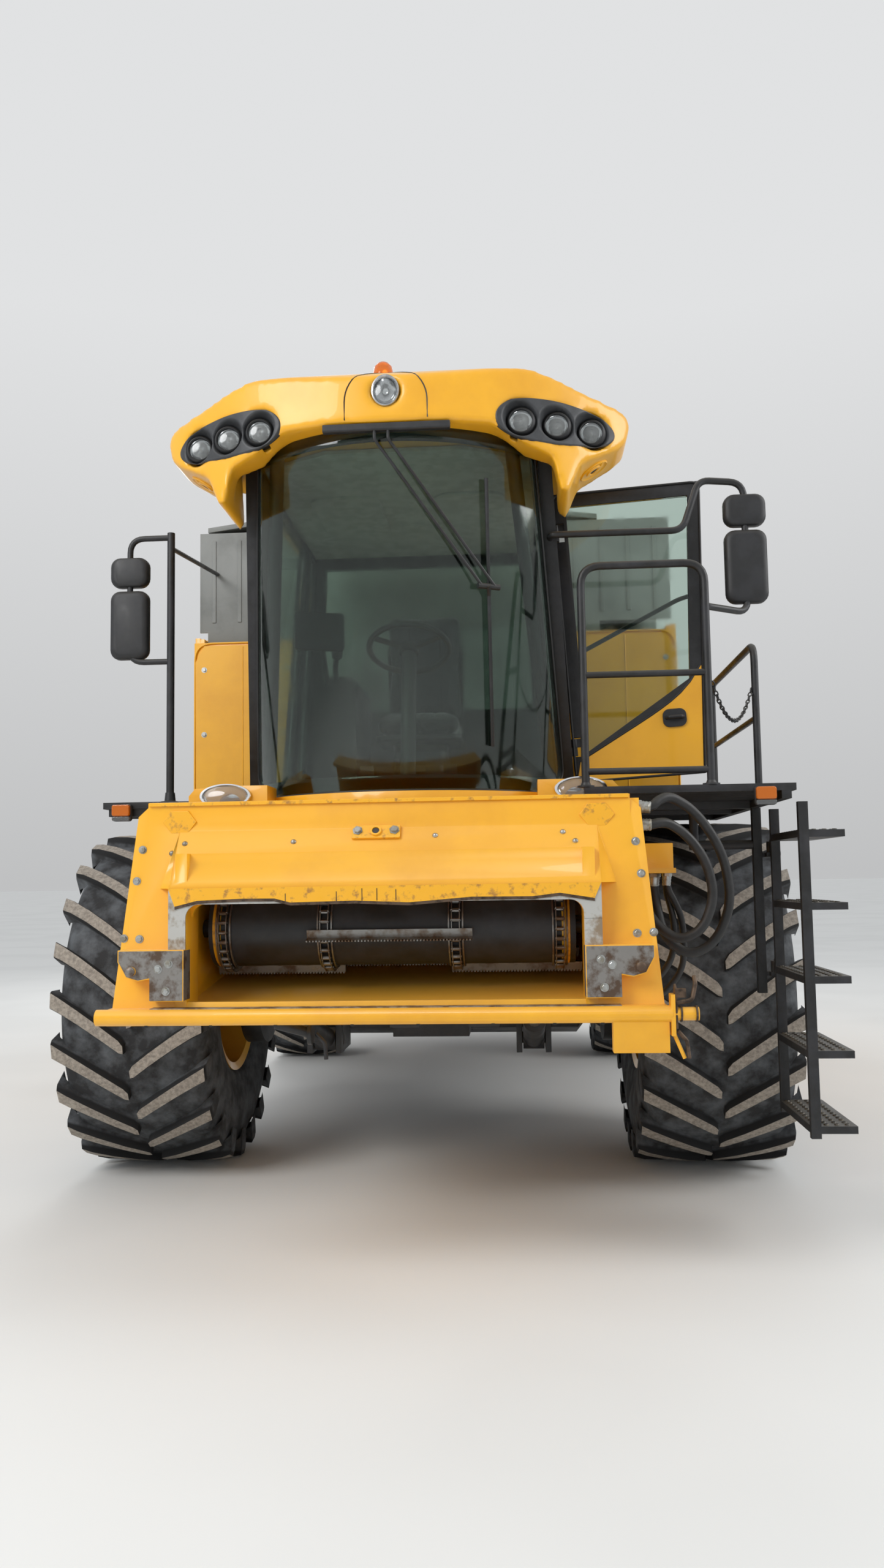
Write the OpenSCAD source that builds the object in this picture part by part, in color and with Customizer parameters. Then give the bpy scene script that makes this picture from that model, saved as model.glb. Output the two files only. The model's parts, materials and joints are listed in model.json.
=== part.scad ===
// Combine harvester, parked without its header.
// X runs across the machine, +X to the operator's left. Forward is -Y and Z is up.
// The origin lies on the ground, under the middle of the machine's length.
// Modules draw in a frame whose Y starts at the front axle, and in_place() moves them.

/* [Machine] */
// Distance between the front and the rear axle
wheelbase = 3800; // [3500:10:4200]
// Front axle to the foremost bar of the feeder
front_reach = 2400; // [2300:10:2600]
// Rear axle to the back of the rear hood
rear_reach = 2250; // [2100:10:2500]

/* [Front wheels] */
// Diameter of a front tyre over its lugs
front_tyre_d = 1840; // [1700:10:1950]
// Width of a front tyre
front_tyre_w = 800; // [650:10:900]
// Distance between the middles of the front tyres
front_track = 2950; // [2900:10:3100]
// Seat diameter of a front rim
front_rim_d = 812; // [760:4:860]
// Lugs on each side of a front tyre
front_lugs = 22; // [16:1:26]
// Height of a front lug
front_lug_h = 52; // [35:1:60]

/* [Rear wheels] */
// Diameter of a rear tyre over its lugs
rear_tyre_d = 1340; // [1200:10:1400]
// Width of a rear tyre
rear_tyre_w = 600; // [450:10:650]
// Distance between the middles of the rear tyres
rear_track = 2800; // [2700:10:3000]
// Seat diameter of a rear rim
rear_rim_d = 672; // [600:4:700]
// Lugs on each side of a rear tyre
rear_lugs = 18; // [14:1:22]
// Height of a rear lug
rear_lug_h = 40; // [25:1:45]
// Distance from a rear tyre's middle in to its steering pin
king_pin_offset = 350; // [330:5:380]

/* [Body] */
// Outer width of the threshing body
body_w = 1650; // [1600:10:1700]
// Thickness of the body's side walls
wall_t = 12; // [8:1:20]
// Half width over the yellow side panels
panel_x = 1470; // [1440:5:1500]
// Top edge of the side panels
panel_top_z = 3060; // [2950:10:3100]
// Thickness of the side panels
panel_t = 30; // [20:1:40]
// Top edge of the grain tank
tank_top_z = 3730; // [3600:10:3800]
// Thickness of the grain tank's sheets
tank_t = 12; // [6:1:16]
// Rise of the tank covers at their ridge
cover_rise = 150; // [80:10:200]

/* [Feeder] */
// Outer width of the feeder house
feeder_w = 1560; // [1480:10:1590]
// Half width of the adapter frame at its foot
face_half_w = 1020; // [980:5:1040]
// Half width of the mouth
mouth_half_w = 735; // [700:5:750]
// Height of the adapter frame's top lip
face_top_z = 1860; // [1820:5:1900]
// Height of the adapter frame's foot
face_foot_z = 1030; // [1000:5:1060]
// Height of the shaft that the feeder swings on
feeder_pivot_z = 1560; // [1540:5:1570]
// Diameter of the front drum
drum_d = 300; // [240:5:320]
// Chains beside the middle, and the outer ones
chain_inner_x = 255; // [200:5:260]
chain_outer_x = 655; // [600:5:660]

/* [Lift cylinders] */
// Diameter of a lift cylinder's barrel
barrel_d = 110; // [90:5:125]
// Diameter of a lift cylinder's rod
rod_d = 60; // [40:5:70]

/* [Cab] */
// Half width of the cab at its floor
cab_half_w = 770; // [740:5:790]
// Top of the cab's floor
floor_z = 1930; // [1920:5:1950]
// Underside of the roof
roof_under_z = 3410; // [3380:5:3440]
// Lean of the cab's sides towards the middle
side_lean = 3.5; // [2:0.5:5]
// Radius of the windscreen's curve
screen_r = 812; // [780:2:860]
// Thickness of the glass
glass_t = 8; // [5:1:12]
// Half width over the roof's lamp pods
roof_half_w = 1025; // [980:5:1050]
// Top of the roof
roof_top_z = 3700; // [3660:5:3740]

/* [Platform] */
// Outer edge of the platform
platform_x = 1650; // [1600:5:1700]
// Diameter of the handrail tube
rail_d = 34; // [28:1:40]

/* [Unloading auger] */
// Diameter of the auger tube
auger_d = 330; // [280:10:340]
// Length of the auger tube from its turning axis
auger_len = 5080; // [4500:20:5100]

/* [Hidden] */
$fn = 48;

// Places that follow from the sizes above
front_axle_y = (front_reach - wheelbase - rear_reach) / 2;
front_wheel_x = front_track / 2;
front_axle_z = front_tyre_d / 2;
rear_wheel_x = rear_track / 2;
rear_axle_z = rear_tyre_d / 2;
king_pin_x = rear_wheel_x - king_pin_offset;
seat_gap = 0.3;
run_gap = 6;
yellow = "#f2b71f";
grey = "#8d8f8c";
dark = "#26282a";
steel = "#a8abad";
rubber = "#2b2c2c";
glass = "#3d5a50";

// Moves what is drawn from the front axle to its place in the machine
module in_place() {
    translate([0, front_axle_y, 0]) children();
}

// Repeats a piece on the other side of the machine
module both_sides() {
    children();
    mirror([1, 0, 0]) children();
}

// An outline of [y, z] points, w thick, its middle at x
module side_plate(x, w) {
    translate([x - w / 2, 0, 0]) rotate([90, 0, 90]) linear_extrude(w) children();
}

// An outline of [x, z] points that reaches from y back over depth w
module front_plate(y, w) {
    translate([0, y + w, 0]) rotate([90, 0, 0]) linear_extrude(w) children();
}

// A box from one corner to the opposite one
module block(low, high) {
    translate(low) cube(high - low);
}

// A round bar from one point to another
module bar(from, to, d, sides = $fn) {
    v = to - from;
    translate(from) rotate([0, acos(v[2] / norm(v)), atan2(v[1], v[0])]) cylinder(h = norm(v), d = d, $fn = sides);
}

// A bent tube through a list of points: every second stretch is the stouter one, and runs on past its ends
module bent_tube(points, d) {
    for (i = [1:len(points) - 1]) {
        u = (points[i] - points[i - 1]) / norm(points[i] - points[i - 1]);
        run_on = i % 2 == 0 ? d / 2 : 0;
        bar(points[i - 1] - u * run_on, points[i] + u * run_on, i % 2 == 0 ? d : d - 2);
    }
}

// A round disc or drum whose axis lies along X, from x0 to x1
module drum_x(x0, x1, y, z, d) {
    translate([x0, y, z]) rotate([0, 90, 0]) cylinder(h = x1 - x0, d = d);
}

// Tyres

// A point on a wheel: x across, r from the axle and a turned up from straight ahead
function wheel_point(x, r, a) = [x, -r * cos(a), r * sin(a)];

// One lug between its inner and outer end, each [x of the top, top radius, x of the foot, foot radius]
module lug(side, start, sweep, thick, w, r, height) {
    half = thick / r / 2 * 180 / PI;
    ends = [[14, r, 14, r - height - 24], [w / 2, r - 16, 0.44 * w, r - height - 110]];
    points = [for (i = [0, 1], h = [-half, half], k = [0, 2])
        wheel_point(side * ends[i][k], ends[i][k + 1], start + i * sweep + h)];
    hull() polyhedron(points = points, faces = [[0, 1, 3, 2], [4, 5, 7, 6]]);
}

// A lugged tyre about its own middle, its axle along X, one facet of the carcass to each lug
module tyre(d, w, bead_d, lugs, lug_h) {
    r = d / 2;
    tread_r = r - lug_h;
    bead_r = (bead_d / 2 + seat_gap) / cos(180 / lugs);
    wide_r = (bead_r + tread_r) / 2 - 20;
    sweep = 352 / lugs;
    union() {
        rotate([0, 90, 0]) rotate_extrude($fn = lugs) polygon([
            [bead_r, -0.39 * w], [wide_r, -0.5 * w + 6], [tread_r - 4, -0.42 * w],
            [tread_r - 4, 0.42 * w], [wide_r, 0.5 * w - 6], [bead_r, 0.39 * w]]);
        for (side = [-1, 1], i = [0:lugs - 1])
            lug(side, (i + (side > 0 ? 0.75 : 0.25)) * 360 / lugs, sweep, 0.24 * 2 * PI * r / lugs, w, r, lug_h);
    }
}

module front_tyre(side) {
    color(rubber) in_place() translate([side * front_wheel_x, 0, front_axle_z])
        tyre(front_tyre_d, front_tyre_w, front_rim_d, front_lugs, front_lug_h);
}

module rear_tyre(side) {
    color(rubber) in_place() translate([side * rear_wheel_x, wheelbase, rear_axle_z])
        tyre(rear_tyre_d, rear_tyre_w, rear_rim_d, rear_lugs, rear_lug_h);
}

// Rims

rim_t = 14;
disc_t = 16;
hub_r = 110;
front_disc_x = 40;
rear_disc_x = 60;

// A dished rim about its own middle: flanges, barrel, disc and hub bore, its axle along X
module rim(seat_d, w, disc_x, hub) {
    seat_r = seat_d / 2;
    half = 0.42 * w;
    rotate([0, 90, 0]) rotate_extrude($fn = 64) polygon([
        [hub + seat_gap, disc_x], [hub + 90, disc_x], [seat_r - 90, disc_x - 50], [seat_r - rim_t, disc_x - 50],
        [seat_r - rim_t, -half], [seat_r + 28, -half - rim_t], [seat_r + 28, -half], [seat_r, -half + 2],
        [seat_r, half - 2], [seat_r + 28, half], [seat_r + 28, half + rim_t], [seat_r - rim_t, half],
        [seat_r - rim_t, disc_x - 50 + disc_t], [seat_r - 84, disc_x - 50 + disc_t],
        [hub + 94, disc_x + disc_t], [hub + seat_gap, disc_x + disc_t]]);
}

module front_rim(side) {
    color(yellow) in_place() translate([side * front_wheel_x, 0, front_axle_z]) scale(1)
        mirror([side > 0 ? 0 : 1, 0, 0]) rim(front_rim_d, front_tyre_w, front_disc_x, hub_r);
}

module rear_rim(side) {
    color(yellow) in_place() translate([side * rear_wheel_x, wheelbase, rear_axle_z])
        mirror([side > 0 ? 0 : 1, 0, 0]) rim(rear_rim_d, rear_tyre_w, rear_disc_x, hub_r);
}

// Chassis

feeder_pivot_y = -300;
feeder_end_r = 250;
feeder_half = feeder_w / 2;
sheet = 10;
trunnion_r = 60;
throat_y = feeder_pivot_y + feeder_end_r + 40;
chassis_top_z = 2290;
chassis_back_y = wheelbase + 1300;
rear_belly_z = 1430;
cab_under_z = floor_z - 50;

// Belt pulleys on each side of the body as [y, z, diameter, reach]
drive_pulleys = [[760, 1180, 560, 60], [1420, 1560, 380, 90], [2050, 1180, 300, 60], [2450, 1850, 640, 60], [3000, 1500, 260, 90]];

// Threshing body: side walls forward of the throat, closed body behind it
module chassis() {
    color(dark) in_place() {
        both_sides() for (y = [3300, 4900])
            block([body_w / 2 - 1, y, 2120], [panel_x - 30 - wall_t - seat_gap, y + 60, 2180]);
        both_sides() {
            drum_x(feeder_half + run_gap, body_w / 2 - wall_t + 1, feeder_pivot_y, feeder_pivot_z, 2 * trunnion_r + 60);
            drum_x(feeder_half - sheet + 1, feeder_half + run_gap + 1, feeder_pivot_y, feeder_pivot_z, 2 * trunnion_r);
        }
        for (side = [0, 1], p = drive_pulleys) mirror([side, 0, 0]) {
            drum_x(body_w / 2 - 1, body_w / 2 + p[3], p[0], p[1], p[2]);
            drum_x(body_w / 2 - 2, body_w / 2 + p[3] + 25, p[0], p[1], 90);
        }
        for (y = [-440, -70]) block([-body_w / 2 + 1, y, 1835], [body_w / 2 - 1, y + 60, cab_under_z - seat_gap]);
        difference() {
        side_plate(0, body_w) polygon([
            [-450, cab_under_z - seat_gap], [-450, 1380], [-260, 760], [480, 620], [2500, 700], [3000, 1180],
            [3150, rear_belly_z], [chassis_back_y, rear_belly_z], [chassis_back_y, chassis_top_z - 100],
            [wheelbase + 700, chassis_top_z], [120, chassis_top_z], [60, cab_under_z - seat_gap]]);
        block([-body_w / 2 + wall_t, -500, 0], [body_w / 2 - wall_t, throat_y, 2400]);
        drum_x(-body_w, body_w, 0, front_axle_z, 2 * front_tube_r + 2 * seat_gap);
        block([-gearbox_w / 2 - seat_gap, -300, 500],
              [gearbox_w / 2 + seat_gap, gearbox_d / 2 + seat_gap, front_axle_z + gearbox_h / 2 + seat_gap]);
        }
    }
}

// Front axle

front_tube_r = 95;
gearbox_w = 420;
gearbox_d = 420;
gearbox_h = 460;
final_drive_x = front_wheel_x - front_tyre_w / 2 - 130;
barrel_pivot_y = -330;
barrel_pivot_z = 700;
lift_x = 560;

module front_axle() {
    hub_face_x = front_wheel_x + front_disc_x - seat_gap;
    color(dark) in_place() {
        difference() {
            union() {
                drum_x(-final_drive_x - 60, final_drive_x + 60, 0, front_axle_z, 2 * front_tube_r);
                block([-gearbox_w / 2, -gearbox_d / 2, front_axle_z - gearbox_h / 2],
                      [gearbox_w / 2, gearbox_d / 2, front_axle_z + gearbox_h / 2]);
                both_sides() {
                    drum_x(final_drive_x, final_drive_x + 110, 0, front_axle_z, 560);
                    drum_x(final_drive_x + 110, hub_face_x, 0, front_axle_z, 2 * hub_r + 60);
                    drum_x(hub_face_x - 5, hub_face_x + disc_t + 60, 0, front_axle_z, 2 * hub_r);
                    for (x = [lift_x - 92, lift_x + 62])
                        block([x, barrel_pivot_y - 70, barrel_pivot_z - 70], [x + 30, -60, barrel_pivot_z + 230]);
                }
            }
            drum_x(-lift_x - 100, -lift_x + 100, barrel_pivot_y, barrel_pivot_z, 60.6);
            drum_x(lift_x - 100, lift_x + 100, barrel_pivot_y, barrel_pivot_z, 60.6);
        }
    }
}

// Rear axle and steering

king_pin_r = 45;
beam_z = rear_axle_z;
beam_end_x = king_pin_x - 140;
knuckle_h = 190;
arm_len = 200;
ram_y = 230;
ram_r = 50;
steer_rod_r = 22;

module rear_axle() {
    color(dark) in_place() translate([0, wheelbase, 0]) difference() {
        union() {
            front_plate(-90, 180) polygon([
                [-beam_end_x, beam_z - 70], [-300, beam_z - 110], [300, beam_z - 110], [beam_end_x, beam_z - 70],
                [beam_end_x, beam_z + 70], [300, beam_z + 190], [-300, beam_z + 190], [-beam_end_x, beam_z + 70]]);
            both_sides() for (z = [beam_z - knuckle_h / 2 - 40 - run_gap, beam_z + knuckle_h / 2 + run_gap])
                translate([king_pin_x, 0, z]) cylinder(h = 40, r = 85);
            both_sides() for (z = [beam_z - knuckle_h / 2 - 40 - run_gap, beam_z + knuckle_h / 2 + run_gap])
                block([king_pin_x - 200, -60, z], [king_pin_x, 60, z + 40]);
            both_sides() block([king_pin_x - 200, -55, beam_z - knuckle_h / 2 - 40 - run_gap],
                               [king_pin_x - 114, 55, beam_z + knuckle_h / 2 + 40 + run_gap]);
            both_sides() translate([king_pin_x, 0, beam_z - knuckle_h / 2 - 50]) cylinder(h = knuckle_h + 100, r = king_pin_r - seat_gap);
            drum_x(-260, 260, ram_y, beam_z, 2 * ram_r);
            for (x = [-200, 140]) block([x, 60, beam_z - 40], [x + 60, ram_y, beam_z + 40]);
            for (x = [-260, 200]) block([x, -160, beam_z + 150], [x + 60, 160, rear_belly_z - seat_gap]);
            block([-300, -160, rear_belly_z - 60], [300, 160, rear_belly_z - seat_gap]);
        }
        drum_x(-400, 400, ram_y, beam_z, 2 * steer_rod_r + 2 * seat_gap);
    }
}

// The knuckle turns about its pin, carries the wheel's spindle and ends in a steering arm
module knuckle(side) {
    hub_face_x = rear_wheel_x + rear_disc_x - seat_gap;
    color(dark) in_place() translate([0, wheelbase, 0]) mirror([side > 0 ? 0 : 1, 0, 0]) difference() {
        union() {
            translate([king_pin_x, 0, beam_z - knuckle_h / 2]) cylinder(h = knuckle_h, r = 90);
            drum_x(king_pin_x, king_pin_x + 130, 0, rear_axle_z, 150);
            drum_x(king_pin_x + 120, hub_face_x, 0, rear_axle_z, 2 * hub_r + 50);
            drum_x(hub_face_x - 5, hub_face_x + disc_t + 40, 0, rear_axle_z, 2 * hub_r);
            translate([king_pin_x, 0, beam_z - 15]) linear_extrude(30) polygon([
                [-60, 40], [60, 40], [25 - 40, arm_len + 45], [-65, arm_len + 45]]);
        }
        translate([king_pin_x, 0, beam_z - 300]) cylinder(h = 600, r = king_pin_r);
    }
}

// The ram's rod runs right through its barrel, and each end lies over a steering arm
module steering_rod() {
    color(steel) in_place() translate([0, wheelbase, 0]) {
        end_x = king_pin_x - 160;
        drum_x(-end_x, end_x, ram_y, beam_z, 2 * steer_rod_r);
        both_sides() {
            block([end_x - 30, ram_y - 30, beam_z - 20], [end_x, ram_y + 30, beam_z + 60]);
            block([end_x - 30, ram_y - 30, beam_z + 21], [king_pin_x - 20, ram_y + 20, beam_z + 55]);
        }
    }
}

// Feeder

face_y = -front_reach;
mouth_low_z = 1110;
mouth_top_z = 1470;
drum_y = -1960;
drum_z = 1365;
house_front_y = -2180;
hose_shelf_z = 1560;
hose_block_x = 960;

// Side outline of the feeder house, ending in an arc about its swing shaft
module house_outline(inset) {
    rise = feeder_end_r - inset;
    difference() {
        union() {
            polygon([[house_front_y, mouth_low_z - 30 + inset], [feeder_pivot_y, feeder_pivot_z - rise],
                     [feeder_pivot_y, feeder_pivot_z + rise * 0.8], [house_front_y, 1660 - inset]]);
            translate([feeder_pivot_y, feeder_pivot_z]) intersection() {
                circle(r = rise, $fn = 64);
                translate([-10, -rise]) square([rise * 2, rise * 1.8]);
            }
        }
    }
}

module feeder_house() {
    color(yellow) in_place() {
        difference() {
            union() {
                side_plate(0, feeder_w) house_outline(0);
                both_sides() for (x = [lift_x - 55, lift_x + 55]) side_plate(x, 30) polygon([
                    [rod_eye_y - 60, rod_eye_z - 50], [rod_eye_y + 60, rod_eye_z - 50],
                    [rod_eye_y + 140, rod_eye_z + 200], [rod_eye_y - 140, rod_eye_z + 170]]);
                block([feeder_half - 1, -1970, hose_shelf_z], [1120, -1880, hose_shelf_z + 20]);
                block([feeder_half - 1, -1900, hose_shelf_z], [1120, -1880, hose_shelf_z + 120]);
            }
            side_plate(0, feeder_w - 2 * sheet) house_outline(sheet);
            block([-feeder_half + sheet, house_front_y - 10, mouth_low_z - 30 + sheet],
                  [feeder_half - sheet, house_front_y + 20, 1660 - sheet]);
            drum_x(-feeder_half - 1, feeder_half + 1, feeder_pivot_y, feeder_pivot_z, 2 * (trunnion_r + seat_gap));
            block([-feeder_half + sheet, feeder_pivot_y, feeder_pivot_z - feeder_end_r * 0.75],
                  [feeder_half - sheet, 100, feeder_pivot_z + feeder_end_r * 0.75]);
        }
    }
}

// Adapter frame: sloped plate with wings, flange, hood over the mouth, crop guides, foot bar and latch
flange_low_z = 1775;
hood_half_w = 800;
hood_wing_x = 865;
kink_y = face_y + 55;
kink_z = 1530;
latch_x = 1030;

module feeder_face() {
    top = face_top_z - face_foot_z;
    lean = atan((front_reach - 60 - 2190) / top);
    color(yellow) in_place() difference() {
        union() {
            translate([0, face_y + 60, face_foot_z]) rotate([-lean, 0, 0]) translate([0, 0, -face_foot_z])
                front_plate(0, 30) polygon([
                    [-face_half_w, face_foot_z], [face_half_w, face_foot_z],
                    [face_half_w - 55, face_foot_z + top - 40], [face_half_w - 95, face_foot_z + top],
                    [-face_half_w + 95, face_foot_z + top], [-face_half_w + 55, face_foot_z + top - 40]]);
            block([-925, -2205, face_top_z - 14], [925, -2080, face_top_z]);
            block([-925, -2205, flange_low_z], [925, -2186, face_top_z - 1]);
            side_plate(0, 2 * hood_half_w) polygon([
                [-2190, flange_low_z + 5], [kink_y, kink_z], [kink_y, mouth_top_z + 5], [-2240, mouth_top_z + 5]]);
            both_sides() hood_end();
            both_sides() front_plate(face_y + 28, 95) polygon([
                [mouth_half_w - 5, 1118], [858, 1118], [858, 1200], [905, 1192], [950, 1205], [982, 1262],
                [982, 1305], [mouth_half_w - 5, 1305]]);
            both_sides() translate([930, face_y + 12, 1228]) rotate([-90, 0, 0]) cylinder(h = 40, r = 17);
            drum_x(-1060, latch_x + 6, face_y + 30, face_foot_z + 30, 60);
            drum_x(latch_x + 2, latch_x + 100, face_y + 30, face_foot_z + 30, 48);
            block([latch_x, face_y + 2, face_foot_z - 45], [latch_x + 15, face_y + 62, face_foot_z + 100]);
            bar([latch_x + 7, face_y + 32, face_foot_z - 30], [latch_x + 45, face_y + 20, face_foot_z - 125], 14);
            block([826, face_y + 15, face_foot_z - 105], [latch_x - 6, face_y + 80, face_foot_z + 10]);
            block([880, -2190, 1715], [hose_block_x, -2110, 1845]);
            block([-face_half_w, face_y + 25, face_foot_z], [face_half_w, house_front_y - seat_gap, face_foot_z + 60]);
            both_sides() block([mouth_half_w, face_y + 70, face_foot_z + 40], [feeder_half, house_front_y - seat_gap, 1660]);
            block([-feeder_half, -2290, 1600], [feeder_half, house_front_y - seat_gap, 1660]);
        }
        front_plate(-2600, 600) mouth_outline(mouth_half_w, 50);
    }
}

// The sloping three-cornered plate that closes an end of the hood
module hood_end() {
    hull() polyhedron(points = [[hood_half_w - 1, -2195, flange_low_z], [hood_half_w - 1, kink_y, kink_z],
                                [hood_wing_x, -2245, kink_z], [hood_half_w - 1, -2240, kink_z]],
                      faces = [[0, 1, 2], [0, 2, 3], [0, 3, 1], [1, 3, 2]]);
}

// Outline of the mouth with its upper corners rounded by r
module mouth_outline(w, r) {
    polygon(concat([[-w, mouth_low_z], [w, mouth_low_z]],
        [for (a = [0:15:90]) [w - r + r * cos(a), mouth_top_z - r + r * sin(a)]],
        [for (a = [90:15:180]) [-w + r + r * cos(a), mouth_top_z - r + r * sin(a)]]));
}

module feeder_drum() {
    color("#4a4c4c") in_place() {
        drum_x(-feeder_half + sheet + seat_gap, feeder_half - sheet - seat_gap, drum_y, drum_z, 70);
        drum_x(-mouth_half_w + 20, mouth_half_w - 20, drum_y, drum_z, drum_d);
    }
}

chain_t = 40;
chain_h = 26;
slat_h = 45;
chain_clear = seat_gap;
back_sprocket_y = -620;
back_sprocket_z = 1545;

// One chain loop about the drum and the far sprocket, w wide
module chain_loop(x, w) {
    side_plate(x, w) difference() {
        chain_path(chain_h + chain_clear);
        chain_path(chain_clear);
    }
}

// Outline of the run round the drum and the far sprocket, grown by g
module chain_path(g) {
    run = [back_sprocket_y - drum_y, back_sprocket_z - drum_z];
    far_r = 90;
    turn = atan2(run[1], run[0]);
    translate([drum_y, drum_z]) rotate(turn) {
        circle(r = drum_d / 2 + g, $fn = 64);
        translate([norm(run), 0]) circle(r = far_r + g, $fn = 48);
        polygon([[0, drum_d / 2 + g], [norm(run), far_r + g], [norm(run), -far_r - g], [0, -drum_d / 2 - g]]);
    }
}

// Four chains and their slats in three staggered columns, as [middle, length, first place]
slat_columns = [[-485, 530, 0], [0, 640, 0.5], [485, 530, 0]];
slat_pitch = 260;

module feeder_chains() {
    run = [back_sprocket_y - drum_y, back_sprocket_z - drum_z];
    turn = atan2(run[1], run[0]);
    color(steel) in_place() {
        for (x = [-chain_outer_x, -chain_inner_x, chain_inner_x, chain_outer_x]) chain_loop(x, chain_t);
        for (c = slat_columns, i = [0:4], s = [-1, 1])
            translate([c[0], drum_y, drum_z]) rotate([turn, 0, 0])
                translate([0, 120 + (i + c[2]) * slat_pitch * 0.9, s * (drum_d / 2 + chain_h - 2)
                    - s * (120 + (i + c[2]) * slat_pitch * 0.9) / norm(run) * (drum_d / 2 - 90)])
                translate([-c[1] / 2, -4, s > 0 ? 0 : -slat_h]) cube([c[1], 8, slat_h]);
        translate([0, drum_y, drum_z]) rotate([12, 0, 0])
            translate([-slat_columns[1][1] / 2, -drum_d / 2 - chain_h - slat_h + 2, -4]) cube([slat_columns[1][1], slat_h, 8]);
    }
}

// Lift cylinders: each barrel swings on the axle and its rod's eye meets the feeder's ears
rod_eye_y = -1500;
rod_eye_z = 1000;
barrel_len = 680;

function lift_run() = [rod_eye_y - barrel_pivot_y, rod_eye_z - barrel_pivot_z];

module lift_frame() {
    run = lift_run();
    both_sides() translate([lift_x, barrel_pivot_y, barrel_pivot_z])
        rotate([atan2(run[1], -run[0]) * -1, 0, 0]) children();
}

module lift_barrels() {
    color(dark) in_place() lift_frame() difference() {
        union() {
            drum_x(-90, 90, 0, 0, 60);
            drum_x(-56, 56, 0, 0, 120);
            rotate([90, 0, 0]) cylinder(h = barrel_len, d = barrel_d);
        }
        translate([0, -70, 0]) rotate([90, 0, 0]) cylinder(h = barrel_len, d = rod_d + 2 * seat_gap);
    }
}

module lift_rods() {
    run_len = norm(lift_run());
    color(steel) in_place() lift_frame() {
        translate([0, -470, 0]) rotate([90, 0, 0]) cylinder(h = run_len - 470 - 30, d = rod_d);
        difference() {
            drum_x(-26, 26, -run_len, 0, 110);
            drum_x(-30, 30, -run_len, 0, 50);
        }
    }
}

// Hoses

// Each hose as [outer diameter, its hand chosen points]
hose_routes = [
    [38, [[960.3, -2140, 1815], [1010, -2140, 1815], [1080, -2100, 1850], [1190, -2040, 1790], [1290, -2000, 1640],
          [1320, -1985, 1450], [1260, -1985, 1300], [1160, -1985, 1250], [1070, -1970, 1320], [1040, -1925, 1480],
          [1040, -1925, 1559.7]]],
    [38, [[960.3, -2140, 1745], [1010, -2140, 1745], [1070, -2120, 1750], [1150, -2085, 1700], [1220, -2060, 1600],
          [1245, -2050, 1470], [1200, -2050, 1350], [1110, -2040, 1310], [1020, -2010, 1380], [985, -1925, 1490],
          [985, -1925, 1559.7]]],
    [26, [[1090, -1905, 1559.7], [1090, -1905, 1480], [1110, -1925, 1370], [1100, -1930, 1240], [1040, -1930, 1150],
          [950, -1930, 1130], [860, -1950, 1170], [780.3, -1950, 1170]]],
    [26, [[1090, -1948, 1559.7], [1090, -1948, 1500], [1135, -1925, 1400], [1150, -1900, 1300], [1140, -1880, 1180],
          [1060, -1870, 1080], [960, -1870, 1080], [860, -1890, 1160], [780.3, -1890, 1160]]]
];

// A point on a smooth curve through points p, at t from 0 to the last one
function curve_point(p, t) =
    let (n = len(p), i = min(floor(t), n - 2), u = t - i,
         a = p[max(i - 1, 0)], b = p[i], c = p[i + 1], d = p[min(i + 2, n - 1)])
    0.5 * ((2 * b) + (c - a) * u + (2 * a - 5 * b + 4 * c - d) * u * u + (3 * b - a - 3 * c + d) * u * u * u);

// A round tube swept along points p, which never run along Y, with a ring at each share of a stretch
module swept_tube(p, d, per_stretch, sides) {
    last = (len(p) - 1) * per_stretch;
    rings = [for (i = [0:last]) curve_point(p, i / per_stretch)];
    verts = [for (i = [0:last])
        let (ahead = i == 0 ? p[1] - p[0] : i == last ? p[len(p) - 1] - p[len(p) - 2] : rings[i + 1] - rings[i - 1],
             t = ahead / norm(ahead), side = cross(t, [0, 1, 0]), u = side / norm(side), v = cross(t, u))
        for (k = [0:sides - 1]) rings[i] + d / 2 * (u * cos(360 * k / sides) + v * sin(360 * k / sides))];
    walls = [for (i = [0:last - 1], k = [0:sides - 1], half = [0, 1])
        let (a = i * sides + k, b = i * sides + (k + 1) % sides)
        half == 0 ? [a, b, b + sides] : [a, b + sides, a + sides]];
    polyhedron(points = verts, faces = concat(walls,
        [[for (k = [sides - 1:-1:0]) k]], [[for (k = [0:sides - 1]) last * sides + k]]));
}

module hose(i) {
    color(rubber) in_place() swept_tube(hose_routes[i][1], hose_routes[i][0], 2, 8);
}

// Cab

cab_rear_y = -130;
screen_low_y = -1660;
screen_lean = 13;
post = 60;
fairing_x = 940;
fairing_front_y = -1620;
fairing_back_y = -1430;
head_lamp_x = 755;
head_lamp_y = fairing_front_y + 50;
head_lamp_z = floor_z - 45;
head_lamp_r = 52;
door_low_z = 2010;
door_top_z = 3370;
door_hinge_y = -1120;
door_rear_low_y = -550;
door_rear_top_y = -450;
pillar_d = 62;
hinge_x = 22;
hinge_y = door_hinge_y - 10;
hinge_heights = [2160, 3200];
hinge_h = 40;
hinge_pin_r = 8;
hinge_reach = 42;

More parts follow.
